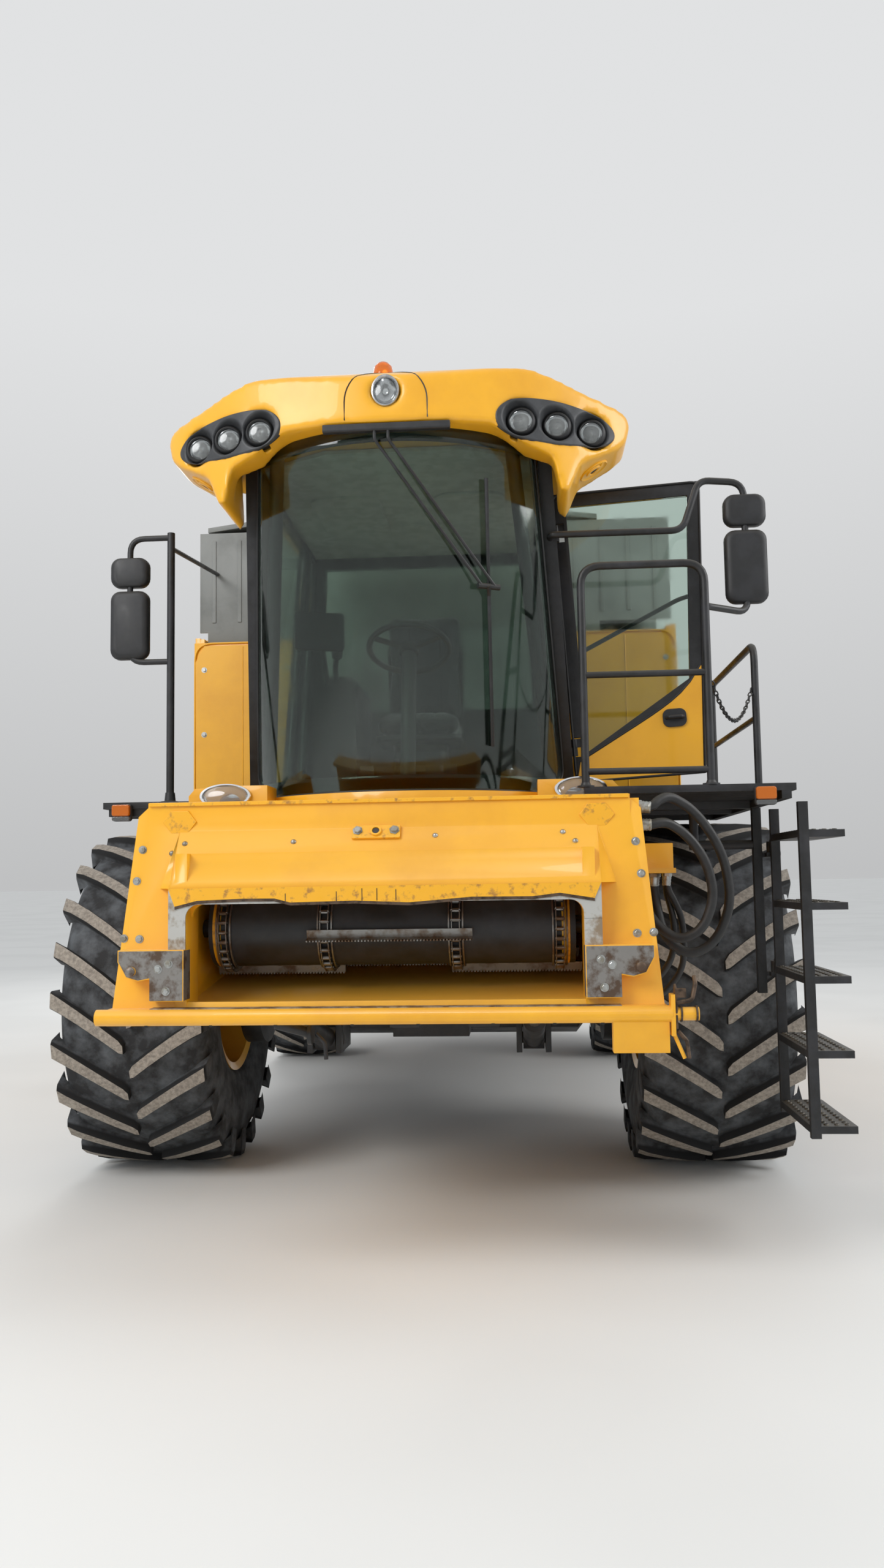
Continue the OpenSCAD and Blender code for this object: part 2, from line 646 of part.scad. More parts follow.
// Cab floor with the bowed cowl under the windscreen and a fairing for the headlamps
module cab_base() {
    color(yellow) in_place() {
        difference() {
            union() {
                translate([0, 0, cab_under_z]) linear_extrude(floor_z - cab_under_z) cab_plan(0);
                translate([0, 0, cab_under_z - 50]) linear_extrude(52) difference() {
                    cab_plan(0);
                    translate([-2000, -1080]) square([4000, 2000]);
                    cab_plan(80);
                }
                both_sides() {
                    front_plate(fairing_front_y, fairing_back_y - fairing_front_y) polygon([
                        [590, cab_under_z - 65], [fairing_x - 12, cab_under_z - 65], [fairing_x, cab_under_z - 30],
                        [fairing_x, floor_z], [fairing_x - 28, floor_z + 32], [700, floor_z + 42], [590, floor_z + 42]]);
                    block([620, fairing_back_y - 1, cab_under_z], [cab_half_w - 10, -1250, floor_z - 1]);
                }
            }
            both_sides() translate([head_lamp_x, head_lamp_y, head_lamp_z]) rotate([90, 0, 0]) cylinder(h = 100, r = head_lamp_r);
        }
    }
}

// Plan of the cab: straight sides and the windscreen's arc in front, drawn in by g
module cab_plan(g) {
    intersection() {
        translate([-cab_half_w + g, screen_low_y - 40 + g]) square([2 * (cab_half_w - g), -screen_low_y + 40 + cab_rear_y - 2 * g]);
        translate([0, screen_low_y + screen_r]) union() {
            circle(r = screen_r + 30 - g, $fn = 96);
            translate([-1000, 0]) square([2000, 2000]);
        }
    }
}

// What stands in the plane of a cab side, drawn upright on the floor at the side's foot
module in_side_plane(side) {
    mirror([side > 0 ? 0 : 1, 0, 0]) translate([cab_half_w, 0, floor_z]) rotate([0, -side_lean, 0])
        translate([0, 0, -floor_z]) children();
}

// Outline of a cab side between the windscreen pillar and the back
module cab_side_outline() {
    polygon([[-1185, floor_z + 2], [cab_rear_y, floor_z + 2], [cab_rear_y, roof_under_z], [-1640, roof_under_z]]);
}

module door_outline(g) {
    polygon([[door_hinge_y - g, door_low_z - g], [door_rear_low_y + g, door_low_z - g],
             [door_rear_top_y + g, door_top_z + g], [door_hinge_y - g, door_top_z + g]]);
}

module rear_window_outline(g) {
    polygon([[door_rear_low_y + 110 - g, door_low_z - g], [cab_rear_y - 60 + g, door_low_z - g],
             [cab_rear_y - 60 + g, door_top_z + g], [door_rear_top_y + 110 - g, door_top_z + g]]);
}

// Windscreen pillar on the left, just behind the glass
module pillar(d) {
    bar([670, -1216, floor_z - 20], [503, -1775, roof_under_z + 20], d, 12);
}

// What lies on the door's hinge line at both hinges, drawn upright about that line
module at_hinges() {
    in_side_plane(1) for (z = hinge_heights) translate([hinge_x, hinge_y, z]) children();
}

// The frame's half of the door hinges: a bracket with an upright pin
module hinge_pins() {
    at_hinges() {
        block([-hinge_x - 10, -14, -hinge_h], [12, 12, -seat_gap]);
        translate([0, 0, -1]) cylinder(h = hinge_h + 1, r = hinge_pin_r);
    }
}

module cab_frame() {
    color(dark) in_place() intersection() {
        union() {
            in_side_plane(1) side_plate(-post / 2, post) difference() {
                cab_side_outline();
                door_outline(8);
                rear_window_outline(0);
            }
            in_side_plane(-1) side_plate(-post / 2, post) difference() {
                cab_side_outline();
                door_outline(0);
                rear_window_outline(0);
            }
            both_sides() pillar(pillar_d);
            hinge_pins();
            front_plate(cab_rear_y - 40, 40) difference() {
                polygon([[-760, floor_z + 1], [760, floor_z + 1], [670, roof_under_z], [-670, roof_under_z]]);
                polygon([[-600, 2500], [600, 2500], [570, 3330], [-570, 3330]]);
            }
        }
        block([-1000, -2200, floor_z + seat_gap], [1000, cab_rear_y, roof_under_z - seat_gap]);
    }
}

// The leaning cylinder that the windscreen is cut from
module screen_cylinder(r) {
    translate([0, screen_low_y, floor_z]) rotate([screen_lean, 0, 0]) translate([0, screen_r, -200])
        cylinder(h = 2200, r = r, $fn = 128);
}

// Curved windscreen between the two pillars
module windscreen() {
    color(glass) in_place() intersection() {
        difference() {
            screen_cylinder(screen_r);
            screen_cylinder(screen_r - glass_t);
        }
        front_plate(-2300, 1200) both_halves() polygon([
            [-1, floor_z + seat_gap], [620, floor_z + seat_gap], [656, floor_z + 7], [685, floor_z + 25], [705, floor_z + 54],
            [714, floor_z + 92], [600, roof_under_z - seat_gap], [-1, roof_under_z - seat_gap]]);
    }
}

module side_glass() {
    color(glass) in_place() {
        for (side = [-1, 1]) in_side_plane(side) side_plate(-post / 2, glass_t) rear_window_outline(-seat_gap);
        in_side_plane(-1) side_plate(-post / 2, glass_t) door_outline(-seat_gap);
        front_plate(cab_rear_y - 24, glass_t) polygon([
            [-600 + seat_gap, 2500 + seat_gap], [600 - seat_gap, 2500 + seat_gap],
            [570 - seat_gap, 3330 - seat_gap], [-570 + seat_gap, 3330 - seat_gap]]);
    }
}

// Roof

pod_y = -1560;
pod_top_z = roof_top_z - 135;
pod_low_z = roof_under_z - 80;
roof_front_y = pod_y - 500;
roof_bow_r = 1500;

// Front outline of the crown and its swept shoulders
module crown_outline() {
    both_halves() polygon([
        [-1, roof_under_z], [-1, roof_top_z], [300, roof_top_z - 4], [520, roof_top_z - 20], [680, roof_top_z - 58],
        [820, roof_top_z - 100], [roof_half_w - 30, pod_top_z], [roof_half_w - 5, pod_top_z - 25],
        [roof_half_w, pod_top_z - 60], [roof_half_w - 20, roof_under_z + 20], [roof_half_w - 70, roof_under_z]]);
}

// Front outline of a lamp pod with its tail, which runs down beside the windscreen pillar
module pod_outline() {
    both_halves() polygon([
        [430, roof_under_z + 1], [470, pod_low_z + 60], [560, pod_low_z + 12], [680, pod_low_z - 30],
        [712, pod_low_z - 170], [745, pod_low_z - 170], [800, pod_low_z - 40], [900, pod_low_z + 20],
        [roof_half_w - 60, pod_low_z + 60], [roof_half_w - 20, roof_under_z + 21], [430, roof_under_z + 21]]);
}

module both_halves() {
    for (side = [0, 1]) mirror([side, 0]) children();
}

// Plan of the roof: bowed front, swept-back pods and a narrower rear
module roof_plan_outline() {
    intersection() {
        translate([0, roof_front_y + roof_bow_r]) circle(r = roof_bow_r, $fn = 128);
        both_halves() polygon([
            [-1, roof_front_y], [600, roof_front_y], [roof_half_w, pod_y - 130], [roof_half_w, pod_y + 120],
            [760, pod_y + 330], [740, cab_rear_y + 60], [-1, cab_rear_y + 60]]);
    }
}

// Roof lamps in a pod as [x, y of the pocket's floor, z, radius]
lamp_z = roof_under_z + 30;
roof_lamps = [[550, -1880, lamp_z, 46], [700, -1815, lamp_z, 46], [850, -1720, lamp_z, 46]];
pocket_r = 80;
centre_lamp_z = roof_under_z + 130;
lamp_t = 30;

module cab_roof() {
    color(yellow) in_place() difference() {
        intersection() {
            union() {
                front_plate(-2300, 2400) crown_outline();
                difference() {
                    front_plate(-2300, 2300 + pod_y + 110) pod_outline();
                    screen_cylinder(screen_r + 8);
                    block([-704, -1760, 3000], [704, -1000, roof_under_z]);
                }
            }
            translate([0, 0, 3000]) linear_extrude(1000) roof_plan_outline();
            side_plate(0, 2400) polygon([
                [-2300, 3000], [100, 3000], [100, roof_top_z - 60], [-300, roof_top_z - 20], [-900, roof_top_z],
                [-1800, roof_top_z], [-1980, roof_top_z - 50], [-2300, roof_top_z - 240]]);
        }
        both_sides() for (l = roof_lamps) translate([l[0], l[1], l[2]]) rotate([90, 0, 0]) cylinder(h = 400, r = pocket_r);
        translate([0, roof_front_y + 60, centre_lamp_z]) rotate([90, 0, 0]) cylinder(h = 400, r = 60);
    }
}

module lamp(x, y, z, r) {
    translate([x, y - seat_gap, z]) rotate([90, 0, 0]) cylinder(h = lamp_t, r = r);
}

module lamps() {
    color("white") in_place() {
        both_sides() for (l = roof_lamps) lamp(l[0], l[1], l[2], l[3]);
        lamp(0, roof_front_y + 60, centre_lamp_z, 40);
        both_sides() lamp(head_lamp_x, head_lamp_y, head_lamp_z, head_lamp_r - 1);
        block([1475, platform_front_y - 45, floor_z - 98], [1565, platform_front_y - seat_gap, floor_z - 18]);
        block([-1350, ledge_front_y - 45, floor_z - 95], [-1260, ledge_front_y - seat_gap, floor_z - 15]);
        translate([-60, -1600, roof_top_z + seat_gap]) cylinder(h = 175, r = 62);
        both_sides() block([rear_lamp_x[0] + seat_gap, rear_lamp_y - 45, rear_lamp_z[0] + seat_gap],
                           [rear_lamp_x[1] - seat_gap, rear_lamp_y, rear_lamp_z[1] - seat_gap]);
    }
}

// Door, standing open at a right angle to the cab

door_open = -90;
door_t = 30;

// The door is drawn closed and swung out about its leaning hinge line
module opened_door() {
    in_place() in_side_plane(1) translate([hinge_x, hinge_y, 0]) rotate([0, 0, door_open])
        translate([-hinge_x, -hinge_y, 0]) children();
}

// Lower part of the door below the slanting edge of its glass, grown up by g
module door_corner(g) {
    polygon([[door_hinge_y - 30, door_low_z - 30], [door_rear_low_y + 60, door_low_z - 30],
             [door_rear_low_y + 60, door_low_z + 480 + g], [door_hinge_y - 30, door_low_z + 75 + g]]);
}

module door_frame() {
    color(dark) opened_door() difference() {
        union() {
            side_plate(door_t / 2 + run_gap, 12) intersection() {
                door_outline(-40);
                door_corner(0);
            }
            difference() {
                side_plate(door_t / 2 + run_gap, door_t) difference() {
                    door_outline(20);
                    door_outline(-45);
                }
                for (z = hinge_heights) translate([hinge_x, hinge_y, z - hinge_h - run_gap])
                    cylinder(h = 2 * (hinge_h + run_gap), r = hinge_reach);
            }
            for (z = hinge_heights) translate([hinge_x, hinge_y, z]) {
                cylinder(h = hinge_h, r = 16);
                block([-6, 0, 0], [12, hinge_reach + 8, hinge_h]);
            }
        }
        for (z = hinge_heights) translate([hinge_x, hinge_y, z - 10]) cylinder(h = hinge_h + 20, r = hinge_pin_r + seat_gap);
    }
}

module door_glass() {
    color(glass) opened_door() side_plate(door_t / 2 + run_gap, glass_t) difference() {
        door_outline(-45 - seat_gap);
        door_corner(seat_gap);
    }
}

// Seat and controls

module seat() {
    color("#3a3c40") in_place() {
        block([-230, -780, floor_z + 350], [230, -320, floor_z + 480]);
        block([-220, -330, floor_z + 480.3], [220, -200, floor_z + 1100]);
        block([-150, -700, floor_z + seat_gap], [150, -380, floor_z + 350 - seat_gap]);
    }
}

module cab_controls() {
    color(dark) in_place() {
        block([-70, -1400, floor_z + seat_gap], [70, -1260, floor_z + 30]);
        bar([0, -1330, floor_z + 12], [0, -1180, floor_z + 720], 70);
        translate([0, -1180, floor_z + 720]) rotate([-25, 0, 0]) {
            rotate_extrude($fn = 48) translate([190, 0]) circle(r = 14, $fn = 16);
            for (a = [90, 210, 330]) rotate([0, 0, a]) translate([30, -12, -8]) cube([160, 24, 14]);
            translate([0, 0, -30]) cylinder(h = 44, r = 45);
        }
        block([-520, -900, floor_z + seat_gap], [-300, -350, floor_z + 620]);
    }
}

module wiper() {
    color("black") in_place() {
        bar([40, -2035, roof_under_z - 20], [250, -1765, 2400], 16);
        block([-250, -2050, roof_under_z - 30], [250, -2020, roof_under_z - seat_gap]);
    }
}

// Platform, rails and ladder

platform_front_y = -1760;
platform_back_y = 50;
platform_low_z = cab_under_z - 20;
ledge_front_y = -1420;
ledge_x = 1400;
mirror_pole = [-1127, -1290];
ladder_eyes = [1100, 1650];
ladder_pin_r = 14;
rail_top_z = 2870;
outer_rail_z = 2630;

module platform() {
    color(dark) in_place() {
        difference() {
            block([cab_half_w + 12, platform_front_y, floor_z - 36], [platform_x, platform_back_y, floor_z - 6]);
            block([cab_half_w, platform_front_y + 70, floor_z - 100], [fairing_x + 6, fairing_back_y + 6, floor_z]);
        }
        for (s = [[-1100, cab_half_w], [-640, cab_half_w], [-70, body_w / 2]])
            block([s[1] + seat_gap, s[0], platform_low_z], [platform_x - 30, s[0] + 60, floor_z - 35]);
        block([platform_x - 60, platform_front_y, platform_low_z], [platform_x - 20, platform_back_y, floor_z - 35]);
        block([platform_x - 50, ladder_pivot_y + 35, 1000], [platform_x - 10, ladder_pivot_y + 75, platform_low_z + 1]);
        bent_tube([[1330, ladder_pivot_y + 60, platform_low_z + 60], [1330, ladder_pivot_y + 60, 1690],
                   [platform_x - 49, ladder_pivot_y + 60, 1690]], 44);
        block([1300, ladder_pivot_y + 30, platform_low_z], [1360, ladder_pivot_y + 90, floor_z - 35]);
        block([-ledge_x, ledge_front_y, floor_z - 36], [-cab_half_w - seat_gap, ledge_front_y + 250, floor_z - 6]);
        for (y = [ledge_front_y + 20, ledge_front_y + 180])
            block([-ledge_x + 20, y, platform_low_z], [-cab_half_w - seat_gap, y + 50, floor_z - 35]);
        for (z = ladder_eyes) {
            block([platform_x - 50, ladder_pivot_y + 35, z - 20], [ladder_pivot_x + 15, ladder_pivot_y + 75, z]);
            block([ladder_pivot_x - 30, ladder_pivot_y - 15, z - 20], [ladder_pivot_x + 15, ladder_pivot_y + 40, z]);
            translate([ladder_pivot_x, ladder_pivot_y, z - 1]) cylinder(h = 60, r = ladder_pin_r);
        }
    }
}

module handrails() {
    z0 = floor_z - 6 + seat_gap;
    x0 = cab_half_w + 20;
    color(dark) in_place() {
        bent_tube([[x0, platform_front_y + 30, z0], [x0, platform_front_y + 30, rail_top_z],
                   [1310, platform_front_y + 30, rail_top_z], [1310, platform_front_y + 30, z0]], rail_d);
        for (z = [1990, 2400]) bar([x0, platform_front_y + 30, z], [1310, platform_front_y + 30, z], rail_d - 6);
        bent_tube([[platform_x - 25, -1150, z0], [platform_x - 25, -1150, outer_rail_z],
                   [platform_x - 25, 20, outer_rail_z], [platform_x - 25, 20, z0]], rail_d);
        bar([platform_x - 25, -1150, 2280], [platform_x - 25, 20, 2280], rail_d - 6);
    }
}

ladder_pivot_x = platform_x + 30;
ladder_pivot_y = -1130;
ladder_w = 560;
stile_x = ladder_pivot_x - 20;

// Swinging ladder: two stiles, open treads and the eyes that turn on the platform's pins
module ladder() {
    color(dark) in_place() {
        for (y = [ladder_pivot_y - 70, ladder_pivot_y - 40 - ladder_w])
            block([stile_x, y, 480], [stile_x + 40, y + 30, platform_low_z - 12]);
        for (i = [0:4]) block([stile_x, ladder_pivot_y - 40 - ladder_w, 500 + 300 * i],
                              [stile_x + 185, ladder_pivot_y - 40, 530 + 300 * i]);
        for (z = ladder_eyes) difference() {
            union() {
                translate([ladder_pivot_x, ladder_pivot_y, z + seat_gap]) cylinder(h = 50, r = 28);
                block([stile_x, ladder_pivot_y - 50, z + seat_gap], [stile_x + 40, ladder_pivot_y, z + 50]);
            }
            translate([ladder_pivot_x, ladder_pivot_y, z - 50]) cylinder(h = 200, r = ladder_pin_r + seat_gap);
        }
    }
}

// A tall mirror head with a small wide angle one over it, its foot at the point at
module mirror_heads(at) {
    translate(at) {
        block([-95, -25, 0], [95, 25, 335]);
        block([-95, -25, 348], [95, 25, 496]);
    }
}

// Left: an arm from the cab and a stay to the handrail. Right: a pole on the ledge, braced back to the tank
module mirrors() {
    left_x = 1535;
    left_y = -1500;
    post_y = platform_front_y + 30;
    right_x = -1326;
    color(dark) in_place() {
        difference() {
            union() {
                bent_tube([[671, -1510, 3060], [671, -1575, 3060], [1250, -1575, 3060], [1330, -1550, 3290],
                           [left_x, left_y, 3290], [left_x, left_y, 2700], [1330, -1650, 2700], [1306, post_y + 5, 2700]], 30);
                mirror_heads([left_x, left_y, 2740]);
            }
            in_side_plane(1) side_plate(-post / 2, post + 4) polygon([
                [-1185 - seat_gap, floor_z], [0, floor_z], [0, roof_under_z], [-1640 - seat_gap, roof_under_z]]);
            translate([1310, post_y, 2600]) cylinder(h = 200, d = rail_d + 2 * seat_gap);
        }
        difference() {
            union() {
                bar([mirror_pole[0], mirror_pole[1], floor_z - 6 + seat_gap], [mirror_pole[0], mirror_pole[1], 3225], 36);
                bent_tube([[mirror_pole[0], mirror_pole[1], 3200], [right_x, mirror_pole[1], 3200],
                           [right_x, mirror_pole[1], 2600], [mirror_pole[0], mirror_pole[1], 2600]], 28);
                bar([mirror_pole[0], mirror_pole[1], 3150], [-1342, 345, 3470], 24);
                mirror_heads([right_x, mirror_pole[1], 2612]);
            }
            block([-1600, tank_front_y - seat_gap, 3000], [-1000, tank_front_y + 200, 3800]);
        }
    }
}

// Yellow side panels, hinged along their top edge
front_arch_z = floor_z + 20;
panel_front_y = 300;
panel_back_y = 3150;
panel_foot_z = 1150;
panel_hinge_x = panel_x - 20;
panel_hinge_y = [520, 1700, 2950];
panel_hinge_z = panel_top_z + 14;

module side_panel(side) {
    color(yellow) in_place() mirror([side > 0 ? 0 : 1, 0, 0]) difference() {
        union() {
            side_plate(panel_x - panel_t / 2, panel_t) polygon([
                [panel_front_y, front_arch_z], [panel_front_y, panel_top_z], [panel_back_y, panel_top_z], [panel_back_y, 1500],
                [2900, panel_foot_z], [1250, panel_foot_z], [1040, 1500], [900, front_arch_z]]);
            for (y = panel_hinge_y, k = [-29, 9]) translate([panel_hinge_x, y + k, panel_hinge_z]) {
                rotate([-90, 0, 0]) cylinder(h = 20, r = 13);
                block([1, 0, -30], [13, 20, 0]);
            }
        }
        for (y = panel_hinge_y) translate([panel_hinge_x, y - 32, panel_hinge_z]) rotate([-90, 0, 0])
            cylinder(h = 64, r = cover_pin_r + seat_gap);
    }
}

// Fixed panels: the yellow fronts beside the cab, with the shelf over each front wheel
module bulkheads() {
    color(yellow) in_place() both_sides() {
        block([body_w / 2 + seat_gap, panel_front_y - 40, front_arch_z], [panel_x - 5, panel_front_y - 5, panel_top_z - 40]);
        block([body_w / 2 + seat_gap, panel_front_y - 5, front_arch_z], [panel_x - panel_t - 8, 900, front_arch_z + 20]);
        block([panel_x - panel_t - 28, panel_front_y - 6, panel_top_z - 40],
              [panel_x - panel_t - seat_gap, panel_back_y, panel_top_z - 8]);
        for (y = panel_hinge_y) translate([0, y, 0]) {
            block([panel_x - panel_t - 27, -6, panel_top_z - 20], [panel_x - panel_t - seat_gap, 6, panel_hinge_z + 5]);
            block([panel_x - panel_t - 27, -6, panel_top_z + 4], [panel_hinge_x + 6, 6, panel_hinge_z + 5]);
            translate([panel_hinge_x, -30, panel_hinge_z]) rotate([-90, 0, 0]) cylinder(h = 60, r = cover_pin_r);
        }
    }
}

// Grain tank

tank_left_x = 1020;
tank_right_x = 1400;
tank_front_y = 330;
tank_back_y = 2650;
tank_floor_z = chassis_top_z + seat_gap;
tank_knee_z = 2950;
cover_hinge_z = tank_top_z + 20;
cover_hinge_y = [500, 1490, 2480];
cover_pin_r = 7;
ridge_x = (tank_left_x - tank_right_x) / 2;

// Cross section of the tank, drawn in by g, up to height top
module tank_section(g, top) {
    polygon([[-tank_right_x + g, top], [-tank_right_x + g, tank_knee_z + g * 0.6], [-500, tank_floor_z + g],
             [200, tank_floor_z + g], [tank_left_x - g, tank_knee_z + g * 0.6], [tank_left_x - g, top]]);
}

module grain_tank() {
    color(grey) in_place() difference() {
        union() {
            front_plate(tank_front_y, tank_back_y - tank_front_y) tank_section(0, tank_top_z);
            block([-panel_x + 20, tank_front_y, panel_top_z + 40], [panel_x - 20, tank_front_y + tank_t, tank_top_z]);
            translate([auger_x, auger_y, tank_floor_z + 20]) cylinder(h = auger_z - 230 - tank_floor_z, r = auger_d / 2);
            block([tank_left_x - 5, auger_y - 120, 2960], [auger_x, auger_y + 120, auger_z - 211]);
            for (x = [tank_left_x, -tank_right_x], y = cover_hinge_y) translate([x, y, cover_hinge_z]) {
                block([x > 0 ? -tank_t : -14, -6, -60], [x > 0 ? 14 : tank_t, 6, 14]);
                translate([0, -30, 0]) rotate([-90, 0, 0]) cylinder(h = 60, r = cover_pin_r);
            }
        }
        front_plate(tank_front_y + tank_t, tank_back_y - tank_front_y - 2 * tank_t) tank_section(tank_t, tank_top_z + 10);
    }
}

// One cover, from its hinge up to the ridge, drawn for the side that side names
module tank_cover(side) {
    edge = side > 0 ? tank_left_x : -tank_right_x;
    color(grey) in_place() difference() {
        union() {
            difference() {
                front_plate(tank_front_y, tank_back_y - tank_front_y) polygon([
                    [edge, tank_top_z + 6], [ridge_x + side * 5, tank_top_z + 6 + cover_rise],
                    [ridge_x + side * 5, tank_top_z + 36 + cover_rise], [edge, tank_top_z + 36]]);
                for (y = cover_hinge_y) translate([edge, y - 36, cover_hinge_z]) rotate([-90, 0, 0]) cylinder(h = 72, r = 30);
            }
            for (y = cover_hinge_y, k = [-29, 9]) translate([edge, y + k, cover_hinge_z]) {
                rotate([-90, 0, 0]) cylinder(h = 20, r = 13);
                block([side > 0 ? -50 : 0, 0, -6], [side > 0 ? 0 : 50, 20, 8]);
            }
        }
        for (y = cover_hinge_y) translate([edge, y - 31, cover_hinge_z]) rotate([-90, 0, 0])
            cylinder(h = 62, r = cover_pin_r + seat_gap);
    }
}

// Unloading auger, folded back along the left side
auger_x = 1240;
auger_y = 700;
auger_z = 3400;

spout_h = 240;

module auger_tube() {
    color(yellow) in_place() {
        translate([auger_x, auger_y, auger_z - 210 + seat_gap]) cylinder(h = 390, r = auger_d / 2 + 12);
        bar([auger_x, auger_y, auger_z], [auger_x, auger_y + auger_len, auger_z], auger_d);
    }
}

module auger_spout() {
    color(rubber) in_place() {
        y = auger_y + auger_len;
        block([auger_x - 140, y - 320, auger_z - auger_d / 2 - spout_h], [auger_x + 140, y - 20, auger_z - auger_d / 2 - seat_gap]);
    }
}

// Engine and hoods

deck_z = 3040;
hood_back_y = wheelbase + rear_reach;

module engine() {
    color(steel) in_place() block([-600, 3250, chassis_top_z + seat_gap], [600, 4350, deck_z - 60]);
}

module engine_hood() {
    color(yellow) in_place() translate([-1150, 4250, 3469]) cylinder(h = 400, r = 80);
    color(yellow) in_place() difference() {
        front_plate(2720, 1880) polygon([
            [-1400, deck_z + seat_gap], [1000, deck_z + seat_gap], [1000, 3380], [900, 3470], [-1300, 3470], [-1400, 3380]]);
        front_plate(2735, 1850) polygon([
            [-1385, deck_z - 1], [985, deck_z - 1], [985, 3372], [892, 3455], [-1292, 3455], [-1385, 3372]]);
    }
}

module rotary_screen() {
    color(dark) in_place() {
        drum_x(-1560, -panel_x - 5, 3900, 2560, 900);
    }
}

// Rear lamps fill openings in the back wall
rear_lamp_x = [1130, 1350];
rear_lamp_y = hood_back_y - 2;
rear_lamp_z = [1880, 1970];

// Rear hood: side walls, roof and back in one shell that is open below and in front
module rear_hood_outline(g) {
    polygon([[panel_back_y + 20, 1500], [panel_back_y + 20, deck_z - g], [4700, deck_z - g], [5500, deck_z - 80 - g],
             [5900 - g, 2600], [hood_back_y - g, 2000], [hood_back_y - g - 40, 1450], [4700, 1450], [4400, 1500]]);
}

module rear_hood() {
    color(yellow) in_place() difference() {
        side_plate(0, 2 * panel_x - 60) rear_hood_outline(0);
        side_plate(0, 2 * panel_x - 60 - 2 * wall_t) rear_hood_outline(wall_t);
        block([-1300, 3300, 1400], [1300, 5900, 1600]);
        block([-body_w / 2 - seat_gap, 3000, 1400], [body_w / 2 + seat_gap, 3300, chassis_top_z + seat_gap]);
        both_sides() block([rear_lamp_x[0], rear_lamp_y - 100, rear_lamp_z[0]], [rear_lamp_x[1], rear_lamp_y + 100, rear_lamp_z[1]]);
    }
    color(yellow) in_place() drum_x(-panel_x - 5 + seat_gap, -panel_x + 31, 3900, 2560, 860);
}

module chopper() {
    color(dark) in_place() {
        difference() {
            block([-820, chassis_back_y + seat_gap, 1100], [820, 5700, 1800]);
            block([-800, chassis_back_y + 20, 1000], [800, 5680, 1780]);
        }
        drum_x(-801, 801, 5425, 1430, 300);
        side_plate(0, 1640) polygon([[5690, 1500], [5970, 1250], [5980, 1262], [5699, 1512]]);
        for (x = [-750:250:750]) side_plate(x, 8) polygon([[5690, 1492], [5972, 1254], [5950, 1130], [5690, 1270]]);
    }
}

chassis();
front_axle();
rear_axle();
knuckle(1);  // knuckle_left
knuckle(-1);  // knuckle_right
steering_rod();
front_tyre(1);  // front_tyre_left
front_tyre(-1);  // front_tyre_right
front_rim(1);  // front_rim_left
front_rim(-1);  // front_rim_right
rear_tyre(1);  // rear_tyre_left
rear_tyre(-1);  // rear_tyre_right
rear_rim(1);  // rear_rim_left
rear_rim(-1);  // rear_rim_right
feeder_house();
feeder_face();
feeder_drum();
feeder_chains();
lift_barrels();
lift_rods();
hose(0);  // hose_1
hose(1);  // hose_2
hose(2);  // hose_3
hose(3);  // hose_4
cab_base();
cab_frame();
windscreen();
side_glass();
cab_roof();
lamps();
door_frame();
door_glass();
seat();
cab_controls();
wiper();
platform();
handrails();
ladder();
mirrors();
side_panel(1);  // side_panel_left
side_panel(-1);  // side_panel_right
bulkheads();
grain_tank();
tank_cover(1);  // tank_cover_left
tank_cover(-1);  // tank_cover_right
auger_tube();
auger_spout();
engine();
engine_hood();
rotary_screen();
rear_hood();
chopper();
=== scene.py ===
"""Looks of a parked combine harvester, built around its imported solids.

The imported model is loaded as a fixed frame. Each sub-assembly is a class that dresses its nodes
and adds the pieces that only the eye needs. Sizes are in metres, and unless a docstring says
otherwise they are drawn with Y starting at the front axle and moved back when a piece is finished.
"""

import json
import logging
import math
from dataclasses import dataclass, field
from enum import Enum
from functools import cache
from typing import Any, Sequence

import bmesh
import bpy
from mathutils import Matrix, Vector
from mathutils.bvhtree import BVHTree

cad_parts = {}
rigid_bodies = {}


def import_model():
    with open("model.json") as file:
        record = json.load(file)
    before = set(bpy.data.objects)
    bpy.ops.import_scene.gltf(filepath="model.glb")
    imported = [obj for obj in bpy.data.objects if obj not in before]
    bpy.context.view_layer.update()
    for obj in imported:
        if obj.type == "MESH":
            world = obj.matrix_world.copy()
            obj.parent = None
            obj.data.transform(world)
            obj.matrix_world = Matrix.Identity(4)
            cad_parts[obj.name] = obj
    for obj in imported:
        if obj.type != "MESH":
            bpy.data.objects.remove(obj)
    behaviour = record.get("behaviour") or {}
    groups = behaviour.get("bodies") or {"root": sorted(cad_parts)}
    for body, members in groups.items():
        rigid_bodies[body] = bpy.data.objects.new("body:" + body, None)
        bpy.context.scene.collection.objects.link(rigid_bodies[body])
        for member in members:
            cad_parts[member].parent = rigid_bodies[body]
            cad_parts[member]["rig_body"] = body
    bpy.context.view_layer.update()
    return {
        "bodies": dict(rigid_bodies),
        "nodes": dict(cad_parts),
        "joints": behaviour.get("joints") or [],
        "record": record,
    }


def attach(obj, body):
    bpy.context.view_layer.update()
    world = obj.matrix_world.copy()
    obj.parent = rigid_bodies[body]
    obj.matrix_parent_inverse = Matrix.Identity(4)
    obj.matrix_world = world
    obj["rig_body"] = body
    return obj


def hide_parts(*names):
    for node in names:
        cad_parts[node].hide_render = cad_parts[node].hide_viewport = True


LOG = logging.getLogger("harvester")
AXLE_Y = -1.825
Point = Sequence[float]


class Axis(Enum):
    """The axis that an outline is pushed along or that a lathed form turns about."""

    X = 0
    Y = 1
    Z = 2


def turns(count: int) -> list[float]:
    """Angles of even steps round a full turn, in radians."""
    return [2 * math.pi * k / count for k in range(count)]


def rotation(degrees: float, axis: str) -> Matrix:
    """Turn by an angle about a named axis."""
    return Matrix.Rotation(math.radians(degrees), 4, axis)


